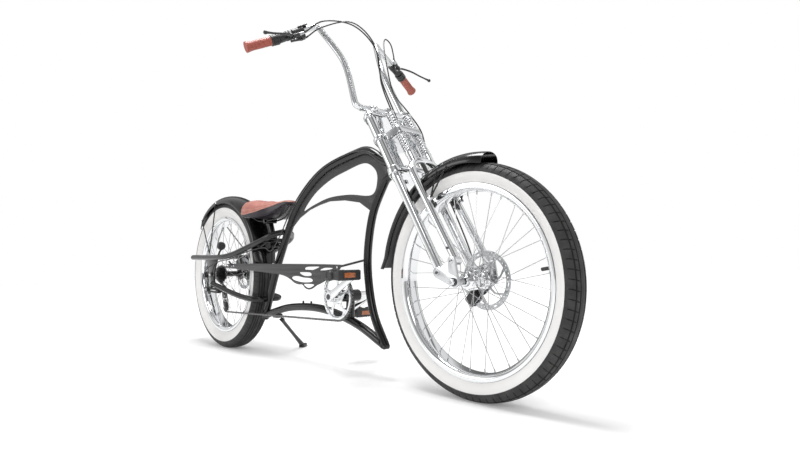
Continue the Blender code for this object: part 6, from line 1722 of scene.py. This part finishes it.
        skin = Skin()
        for shift in (-0.0115, 0.0005):
            start = centre + along * shift
            skin.lathe([(self.bore, 0.0), (0.0162, 0.0), (0.0172, 0.0012), (0.0172, 0.0098), (0.0162, 0.011),
                (self.bore, 0.011)], at(start), at(along), 36, 0, True)
        sleeve = (self.on_bar(self.bar[-2]) - centre).length - 0.0114
        skin.lathe([(self.bore, 0.0), (0.015, 0.0), (0.0158, 0.002), (0.0158, sleeve - 0.003),
            (0.015, sleeve), (self.bore, sleeve)], at(centre + along * 0.011), at(along), 32, 0, True)
        for low, high in ((-0.0092, -0.005), (0.005, 0.0092)):
            skin.rod(at(pivot + axis * low), at(pivot + axis * high), 0.0096, 0, 28, 0.0012)
            ear, neck = axis * (low + high) / 2, centre + Vector((0.012, 0.0, 0.0))
            skin.tube([at(neck + ear), at(pivot + ear)], 0.0062, 16)
        skin.tube([at(centre), at(centre.lerp(pivot, 0.5))], 0.0088, 20)
        skin.rod(at(pivot - axis * 0.01), at(pivot + axis * 0.01), 0.003, 1, 16)
        start, end = pivot + Vector((0.004, -0.004, 0.004)), pivot + Vector((0.022, -0.038, 0.02))
        skin.tube([at(start), at(start.lerp(end, 0.55))], 0.0062, 20)
        adjuster = ((0.0046, 0.0), (0.006, 0.001), (0.006, 0.01), (0.005, 0.011), (0.0044, 0.017),
            (0.0034, 0.019))
        skin.lathe(adjuster, at(start.lerp(end, 0.54)), at(end - start), 12, 1)
        if side < 0:
            self.add_shifter_housing(skin)
        skin.piece(f"brake_perch_{word}", "fork", (Finish.PLASTIC, Finish.STEEL, Finish.SATIN),
            (f"lever_perch_{word}",), "black_plastic")
        blade = Skin()
        path = spline([at(self.on_bar(p)) for p in self.lever], 8)
        blade.tube(path, lambda share: 0.0052 - 0.0012 * share + 0.0018 * max(0.0, share - 0.86) / 0.14, 20,
            0, False, 0.72)
        blade.rod(at(pivot - axis * 0.0044), at(pivot + axis * 0.0044), 0.008, 0, 28)
        blade.ball(path[-1], 0.0068)
        blade.piece(f"lever_blade_{word}", f"{word}_lever", (Finish.PLASTIC,), (f"brake_lever_{word}",),
            "black_plastic")

    def add_shifter_housing(self, skin: Skin) -> None:
        """The thumb shifter's clamp, its round housing and the pale indicator window."""
        centre, along = self.bar_place(self.shifter_y)
        mirror = Matrix.Diagonal((1.0, -1.0, 1.0, 1.0))
        skin.lathe([(self.bore, -0.01), (0.0152, -0.01), (0.0162, -0.009), (0.0162, 0.036), (0.0152, 0.037),
            (self.bore, 0.037)], mirror @ centre, mirror @ along, 36, 0, True)
        pivot = mirror @ (centre + Vector((0.004, 0.0, -0.026)))
        skin.lathe([(0.015, -0.002), (0.018, -0.0005), (0.018, 0.012), (0.015, 0.016), (0.008, 0.0165)],
            pivot, ALONG_Z, 40)
        window = mirror @ (centre + along * (-0.004)) + Vector((0.004, 0.0, 0.0165))
        tilt = (mirror @ along).to_track_quat("X", "Z").to_matrix().to_4x4()
        skin.block(window, (0.04, 0.02, 0.006), tilt, 0.0025)
        skin.block(window + ALONG_Z * 0.0022, (0.032, 0.0145, 0.003), tilt, 0.001, 2)

    def build_shifter(self) -> None:
        """The thumb shifter's paddle."""
        centre, _ = self.bar_place(self.shifter_y)
        pivot = Vector((centre.x + 0.004, -centre.y, centre.z - 0.026))
        top = pivot - ALONG_Z * 0.0023
        skin = Skin()
        skin.rod(top, top - ALONG_Z * 0.005, 0.0085, 0, 32)
        paddle = [top + Vector(p) for p in ((0.0, 0.0, -0.0042), (-0.012, -0.014, -0.006),
            (-0.026, -0.026, -0.008))]
        skin.tube(spline(paddle, 6), lambda share: 0.0034 + 0.0016 * share, 16, 0, False, 0.7)
        skin.piece("shifter_paddle", "shifter", (Finish.PLASTIC,), ("shifter_lever",), "black_plastic")

    def build_cables(self) -> None:
        """The brake and shift cables; those that cross a joint ride on no body."""
        bends = {"front_brake_hose": ("rocker", (1.515, 0.106, 0.44), (1.53, 0.075, 0.32)),
            "rear_brake_hose": ("frame", (1.235, -0.035, 1.12), (1.288, -0.006, 0.895)),
            "shift_line": ("frame", (1.225, -0.027, 1.11), (1.276, 0.008, 0.905))}
        for name, route, node in (("front_brake_hose", self.front_brake, "front_brake_cable"),
                ("rear_brake_hose", self.rear_brake, "rear_brake_cable"),
                ("shift_line", self.shift, "shift_cable"), ("frame_shift_line", self.frame_shift,
                "frame_shift_cable")):
            path = spline(plan_points(route), 10)
            skin = Skin()
            skin.tube(path, 0.0025, 12)
            for end, inner in ((path[0], path[2]), (path[-1], path[-3])):
                skin.rod(end, end + (inner - end).normalized() * 0.011, 0.0032, 1, 16)
            made = skin.piece(name, "" if name in bends else "frame", (Finish.CABLE, Finish.PLASTIC), (node,),
                "cable_cover")
            if name in bends:
                body, start, end = bends[name]
                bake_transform(made)

    def build(self) -> None:
        """Build the whole cockpit."""
        self.build_bar()
        for side, word in SIDES:
            self.build_grip(side, word)
            self.build_lever(side, word)
        self.build_shifter()
        self.build_cables()


# Seat

@dataclass
class Saddle:
    """The padded saddle, its dark skirt and pan, its rails and the post."""

    rear: float = 0.285
    nose: float = 0.612
    sections: Sequence[Tuple[float, float, float, float]] = ((0.0, 0.055, 0.69, 0.664),
        (0.06, 0.09, 0.703, 0.648), (0.17, 0.11, 0.709, 0.634), (0.32, 0.111, 0.704, 0.63),
        (0.48, 0.088, 0.695, 0.629), (0.62, 0.06, 0.689, 0.636), (0.76, 0.041, 0.689, 0.654),
        (0.9, 0.03, 0.689, 0.671), (1.0, 0.014, 0.682, 0.676))
    skirt: Outline = ((0.0, 0.1), (0.3, 0.1), (0.45, 0.26), (0.6, 0.52), (0.76, 0.62), (0.9, 0.6),
        (1.0, 0.45))
    rail: Route = ((0.326, 0.044, 0.629), (0.36, 0.026, 0.6105), (0.45, 0.02, 0.6105), (0.51, 0.016, 0.619),
        (0.56, 0.01, 0.642), (0.588, 0.007, 0.666))
    pan: Outline = ((-1, 0.0), (-0.5, 0.0), (0.5, 0.0), (1, 0.0), (1, 0.5), (0.9, 0.85), (0.7, 1.0),
        (-0.7, 1.0), (-0.9, 0.85), (-1, 0.5))
    rosettes: Route = ((0.325, 0.07, 0.024), (0.325, -0.07, 0.024), (0.345, 0.0, 0.026),
        (0.375, 0.042, 0.026), (0.375, -0.042, 0.026), (0.405, 0.0, 0.022), (0.43, 0.04, 0.022),
        (0.43, -0.04, 0.022), (0.47, 0.0, 0.024))
    stitch_rise: float = 0.16
    rows: int = 170
    columns: int = 110

    def section(self, share: float) -> Triple:
        """Half width, crown and base height at a share of the length, from rear to nose."""
        knots = [Vector(row[1:]) for row in self.sections]
        shares = [row[0] for row in self.sections]
        k = max(i for i, start in enumerate(shares[:-1]) if start <= share)
        t = (share - shares[k]) / (shares[k + 1] - shares[k])
        b, c = knots[k], knots[k + 1]
        a = knots[k - 1] if k else b * 2 - c
        d = knots[k + 2] if k + 2 < len(knots) else c * 2 - b
        return tuple(blend_knots(a, b, c, d, t))

    def skirt_share(self, share: float) -> float:
        """How far up the side the dark skirt reaches, as a share of the side's height."""
        for (a, low), (b, high) in zip(self.skirt, self.skirt[1:]):
            if share <= b:
                return low + (high - low) * (share - a) / (b - a)
        return self.skirt[-1][1]

    def surface(self, share: float, angle: float) -> Vector:
        """A place on the cover, at an angle from its left lower edge over the crown to the right one."""
        half, crown, base = self.section(share)
        c, s = cos(angle), max(0.0, sin(angle))
        y = half * squarish(c, 0.72)
        z = base + (crown - base) * s ** 0.62
        z -= 0.0065 * (1 - share) * exp(-(y / 0.02) ** 2) * s
        x = self.rear + (self.nose - self.rear) * share
        z += self.tooling(x, y) * s
        return plan(x, y, z)

    def tooling(self, x: float, y: float) -> float:
        """Height of the tooled pattern of rosettes and tendrils that is pressed into the hide."""
        height = 0.0
        for cx, cy, size in self.rosettes:
            radius, turn = hypot(x - cx, y - cy), atan2(y - cy, x - cx)
            if radius < size:
                height += 0.0016 * cos(6 * turn + 9 * radius / size) * sin(pi * radius / size)
        return height

    def edge_angle(self, share: float) -> float:
        """The angle on the cover at which the hide meets the skirt."""
        return asin(min(1.0, self.skirt_share(share) ** (1 / 0.62)))

    def build_cover(self) -> None:
        """The hide over its padding, with its skirt, piping and stitches."""
        skin = Skin()
        grid = []
        for k in range(self.rows + 1):
            share = 0.5 - 0.5 * cos(pi * k / self.rows)
            edge = self.edge_angle(share)
            angles = [edge * i / 8 for i in range(8)]
            angles += [edge + (pi - 2 * edge) * i / self.columns for i in range(self.columns + 1)]
            angles += [pi - edge + edge * (i + 1) / 8 for i in range(8)]
            ring = [self.surface(share, a) for a in angles]
            x, half, low = ring[0]
            ring += [Vector((x, -half + 2 * half * (i + 1) / 7, low)) for i in range(6)]
            grid.append([skin.bm.verts.new(p) for p in ring])
        side = 8
        for near, far in zip(grid, grid[1:]):
            for i in range(len(near)):
                j = (i + 1) % len(near)
                face = skin.bm.faces.new((near[i], near[j], far[j], far[i]))
                middle = face.calc_center_median()
                # Faces pressed in by the tooling take the darker leather: painted shade in the pattern's
                # hollows.
                pressed = self.tooling(middle.x - REAR_AXLE.x, middle.y) < -0.0005
                face.material_index = (2 if pressed else 0) if side <= i < side + self.columns else 1
        for row in (grid[0], grid[-1]):
            skin.bm.faces.new(row).material_index = 0
        cover = skin.piece("saddle_hide", "seat", (Finish.SADDLE, Finish.SKIRT, Finish.SADDLE_TOOLED),
            ("saddle_cover",), "saddle_leather", 60.0)
        trim = Skin()
        line = [self.surface(share, self.edge_angle(share)) for share in (1 - k / 120 for k in range(121))]
        trim.tube(line + [Vector((p.x, -p.y, p.z)) for p in reversed(line)], 0.0019, 10, 0, True)
        for k in range(3, 112):
            a, b = 1 - k / 116, 1 - (k + 0.55) / 116
            ends = [self.surface(s, self.edge_angle(s) + self.stitch_rise * (1.1 - 0.4 * s)) for s in (a, b)]
            for mirror in (1, -1):
                trim.tube([Vector((p.x, p.y * mirror, p.z + 0.0002)) for p in ends], 0.00055, 5, 1)
        trim.piece("saddle_piping", "seat", (Finish.PIPING, Finish.THREAD), (), "saddle_leather")

    def build_base(self) -> None:
        """The pan under the padding, the two rails and the nose plate."""
        skin = Skin()
        rings = []
        for k in range(41):
            share = 0.5 - 0.5 * cos(pi * k / 40)
            half, _, base = self.section(share)
            half -= 0.003
            x = self.rear + (self.nose - self.rear) * share
            deep = 0.01 * (0.4 + 0.6 * sin(pi * min(1.0, share * 1.25 + 0.02)))
            rings.append([plan(x, y * half, base - 0.0003 - fall * deep) for y, fall in self.pan])
        skin.loft(rings)
        for side in (-1, 1):
            skin.tube(spline(plan_points(self.rail, side), 8), 0.0036, 16, 1)
        skin.block(plan(0.588, 0.0, 0.6655), (0.018, 0.026, 0.008), edge=0.002)
        skin.piece("saddle_pan_and_rails", "seat", (Finish.SKIRT, Finish.BLACK_ENAMEL), ("saddle_base",),
            "black_plastic", 50.0)

    def build_post(self) -> None:
        """The seat post with its rail clamp and bolt."""
        skin = Skin()
        foot, top = plan(*MainFrame.seat_foot), plan(*MainFrame.seat_top)
        skin.rod(foot, top, 0.0135, 0, 40)
        head = top + ALONG_Z * 0.003
        skin.block(head + ALONG_Z * 0.0062, (0.04, 0.052, 0.0072), edge=0.002)
        skin.block(head - ALONG_Z * 0.005, (0.038, 0.05, 0.0095), edge=0.003)
        skin.rod(head - ALONG_Y * 0.03, head + ALONG_Y * 0.03, 0.004, 1, 20)
        for side in (-1, 1):
            skin.hexagon(head + ALONG_Y * (side * 0.0265), head + ALONG_Y * (side * 0.032), 0.0075, 1)
        skin.piece("seat_post_and_clamp", "seat", (Finish.BLACK_ENAMEL, Finish.DARK_STEEL), ("seat_post",),
            "black_paint")

    def build(self) -> None:
        """Build the whole seat."""
        self.build_cover()
        self.build_base()
        self.build_post()


@dataclass
class SmallParts:
    """Kickstand and rear reflector."""

    pivot: Triple = (0.445, 0.036, 0.158)
    foot: Triple = (0.3, 0.235, 0.0085)

    def build_kickstand(self) -> None:
        """The leg with its eye and its flared foot."""
        pivot, foot = plan(*self.pivot), plan(*self.foot)
        along = (foot - pivot).normalized()
        axis = (foot - pivot).cross(Vector((-0.955, 0.25, 0.16))).normalized()
        skin = Skin()
        skin.rod(pivot - axis * 0.008, pivot + axis * 0.008, 0.011, 0, 32)
        skin.hexagon(pivot + axis * 0.008, pivot + axis * 0.0125, 0.007, 1)
        path = [pivot.lerp(foot, k / 12) for k in range(13)]
        skin.tube(path, lambda s: 0.0078 + 0.004 * max(0.0, s - 0.55) / 0.45, 24, flat=0.8)
        level = Vector((along.x, along.y, 0.0)).normalized()
        turn = Matrix((level, ALONG_Z.cross(level), ALONG_Z)).transposed().to_4x4()
        skin.block(foot + level * 0.004 + ALONG_Z * 0.0015, (0.048, 0.026, 0.016), turn, 0.006, 2, 4)
        skin.block(foot + level * 0.006 - ALONG_Z * 0.0062, (0.05, 0.027, 0.004), turn, 0.0018, 2)
        skin.piece("kickstand_bar", "kickstand", (Finish.BLACK_ENAMEL, Finish.STEEL, Finish.PLASTIC),
            ("kickstand_leg",), "black_paint")

    def build_reflector(self) -> None:
        """The rear reflector in its cup, on its stem."""
        skin = Skin()
        skin.tube([plan(0.085, -0.104, 0.4605), plan(0.09, -0.1, 0.478), plan(0.096, -0.092, 0.494)], 0.0048,
            16)
        front, back = plan(0.1, -0.092, 0.505), plan(0.084, -0.092, 0.507)
        skin.lathe([(0.012, -0.002), (0.018, 0.0), (0.0196, 0.004), (0.02, 0.015), (0.0188, 0.0162)], front,
            back - front, 40)
        skin.lathe([(0.018, 0.015), (0.0176, 0.0168), (0.012, 0.0176)], front, back - front, 40, 1)
        skin.piece("rear_reflector_cup", "frame", (Finish.PLASTIC, Finish.RED), ("rear_reflector",),
            "black_plastic")

    def build(self) -> None:
        """Build the kickstand and the reflector."""
        self.build_kickstand()
        self.build_reflector()


# Studio

@dataclass(frozen=True)
class FloorPaint(Recipe):
    """The studio's pale floor, which glows to the camera and in mirrors, more so further out."""

    def inputs(self, wiring: Wiring) -> Inputs:
        """Matt white that keeps shadows near the middle."""
        path = wiring.node("LightPath")
        seen = wiring.maths("MAXIMUM", path["Is Camera Ray"], path["Is Glossy Ray"])
        away = wiring.node("VectorMath", {0: wiring.place()}, operation="LENGTH")["Value"]
        glow = wiring.maths("MULTIPLY", seen, wiring.ramp(away, 1.2, 4.5, 0.16, 0.62))
        return {"Base Color": (*self.colour, 1.0), "Roughness": self.low, "Specular IOR Level": 0.1,
            "Emission Color": WHITE, "Emission Strength": glow}


@dataclass
class Studio:
    """Pale floor, soft light and the camera at the photograph's view."""

    camera_place: Triple = (2.669, -1.26, 0.404)
    yaw: float = 0.8306
    pitch: float = 0.0692
    roll: float = -0.021
    focal_pixels: float = 550.15
    frame_width: float = 800.0
    sensor: float = 36.0
    floor_size: float = 30.0
    sky_level: float = 0.55
    mirrored_sides: Sequence[Pair] = ((0.0, 0.45), (0.04, 0.9), (0.11, 0.95), (0.125, 0.12), (0.14, 0.95),
        (0.22, 0.8), (0.27, 0.3), (0.33, 0.45), (0.38, 0.6), (0.43, 0.4), (0.47, 0.12), (0.5, 0.25),
        (0.56, 1.0), (0.64, 1.0), (0.655, 0.08), (0.675, 0.9), (0.75, 0.85), (0.8, 0.25), (0.86, 0.1),
        (0.93, 0.22), (1.0, 0.45))
    mirrored_top: Sequence[Pair] = ((0.0, 0.0), (0.84, 0.0), (0.93, 1.0), (1.0, 1.0))
    lamps: Sequence[Tuple[str, Triple, float, float]] = (("overhead_box", (0.0, -0.2, 3.4), 1.3, 88.0),
        ("front_box", (3.4, -2.6, 2.2), 1.8, 34.0), ("side_box", (-1.6, -3.2, 1.6), 1.6, 22.0))

    def build_camera(self) -> None:
        """The camera, from the view that the photograph was matched to."""
        ahead = Vector((-sin(self.yaw) * cos(self.pitch), cos(self.yaw) * cos(self.pitch), sin(self.pitch)))
        right = ahead.cross(ALONG_Z).normalized()
        up = right.cross(ahead)
        c, s = cos(self.roll), sin(self.roll)
        right, up = right * c + up * s, up * c - right * s
        data = bpy.data.cameras.new("camera")
        data.sensor_width = self.sensor
        data.lens = self.focal_pixels * self.sensor / self.frame_width
        data.clip_end = 100.0
        camera = add_object("camera", data)
        turn = Matrix((right, up, -ahead)).transposed().to_4x4()
        camera.matrix_world = Matrix.Translation(plan(*self.camera_place)) @ turn
        bpy.context.scene.camera = camera

    def build_floor(self) -> None:
        """A white floor that keeps the bicycle's shadow."""
        bm = bmesh.new()
        bmesh.ops.create_grid(bm, x_segments=1, y_segments=1, size=self.floor_size / 2)
        mesh = bpy.data.meshes.new("floor")
        bm.to_mesh(mesh)
        bm.free()
        floor = add_object("floor", mesh)
        floor.location.z = -0.0002
        mesh.materials.append(FloorPaint((0.9, 0.9, 0.9), 0.9, 0.9).build("studio_floor"))

    def build_world(self) -> None:
        """White behind the bicycle, with darker bands that polished metal picks up."""
        world = bpy.data.worlds.new("studio")
        world.use_nodes = True
        bpy.context.scene.world = world
        nodes, wiring = world.node_tree.nodes, Wiring(world.node_tree)
        lean = wiring.node("Mapping", {"Vector": wiring.node("TexCoord")["Generated"],
            "Rotation": (0.0, FORK.rake, 0.0)})[0]
        split = wiring.node("SeparateXYZ", {"Vector": lean})
        azimuth = wiring.ramp(wiring.maths("ARCTAN2", split["Y"], split["X"]), -pi, pi, 0.0, 1.0)
        sides = self.greys(wiring, azimuth, self.mirrored_sides)
        above = self.greys(wiring, wiring.ramp(split["Z"], 0.0, 1.0, 0.0, 1.0), self.mirrored_top)
        bands = wiring.node("Mix", {0: above, 6: sides, 7: (0.9, 0.9, 0.91, 1.0)}, data_type="RGBA")[2]
        mirrored, white = (wiring.node("Background", {"Color": colour, "Strength": 1.0})[0]
            for colour in (bands, WHITE))
        back = nodes["Background"]
        wiring.feed(back, {"Color": WHITE, "Strength": self.sky_level})
        path = wiring.node("LightPath")
        lit = wiring.node("MixShader", {0: path["Is Glossy Ray"], 1: back.outputs[0], 2: mirrored})[0]
        clear = wiring.maths("MAXIMUM", path["Is Camera Ray"], path["Is Transmission Ray"])
        wiring.feed(nodes["World Output"],
            {"Surface": wiring.node("MixShader", {0: clear, 1: lit, 2: white})[0]})

    def greys(self, wiring: Wiring, share: Socket, stops: Sequence[Pair]) -> Socket:
        """A ramp of grey levels by position."""
        made = wiring.node("ValToRGB", {"Fac": share})
        ramp = made[0].node.color_ramp
        for k, (position, level) in enumerate(stops):
            stop = ramp.elements[k] if k < 2 else ramp.elements.new(position)
            stop.position, stop.color = position, (level, level, level, 1.0)
        return made["Color"]

    def build(self) -> None:
        """Build the studio, with square soft boxes aimed at the middle of the bicycle."""
        self.build_camera()
        self.build_floor()
        self.build_world()
        for name, place, size, power in self.lamps:
            data = bpy.data.lights.new(name, "AREA")
            data.size, data.energy = size, power
            lamp = add_object(name, data)
            lamp.location = place
            lamp.rotation_euler = (Vector((0.1, 0.0, 0.5)) - Vector(place)).to_track_quat("-Z",
                "Y").to_euler()
        bpy.context.scene.view_settings.view_transform = "Standard"


def wheels() -> Tuple[Wheel, Wheel]:
    """The front and the rear wheel with their own sizes."""
    front = Wheel("front", FRONT_AXLE, tyre_radius=0.349, tyre_half_width=0.04, rim_half_width=0.031,
        white_radius=0.3195, flanges=(-0.034, 0.034), hub_ends=(-0.05, 0.0527), flange_radius=0.029,
        rotor_y=0.054, rotor_radius=0.09, groove_lines=(0.011, 0.0245), lateral_band=(0.0132, 0.04),
        laterals=84, hub_finish=Finish.CHROME, valve_angle=radians(8.0))
    rear = Wheel("rear", REAR_AXLE, tyre_radius=0.37, tyre_half_width=0.048, rim_half_width=0.038,
        white_radius=0.335, flanges=(-0.037, 0.052), hub_ends=(-0.0425, 0.0727), flange_radius=0.032,
        rotor_y=0.074, rotor_radius=0.08, groove_lines=(0.009, 0.02, 0.031), lateral_band=(0.033, 0.047),
        laterals=110, hub_finish=Finish.BLACK_ENAMEL, valve_angle=radians(200.0), squareness=0.7)
    return front, rear


def main() -> None:
    """Build every sub-assembly in order."""
    for part in (Studio(), *wheels(), MainFrame(), Guards(), Drive(), SpringerFork(), Brakes(), Cockpit(),
            Saddle(), SmallParts(), Axle("front_axle_and_nuts", "front_axle", "rocker", FRONT_AXLE,
            half_length=0.108, plate_y=SpringerFork.plate_y, spacer=(0.053, 0.0575)),
            Axle("rear_axle_and_nuts", "rear_axle", "frame", REAR_AXLE, half_length=0.116,
            plate_y=MainFrame.dropout_y, spacer=(0.077, 0.0765))):
        part.build()
        LOG.info("%s is built", type(part).__name__)


if __name__ == "__main__":
    main()
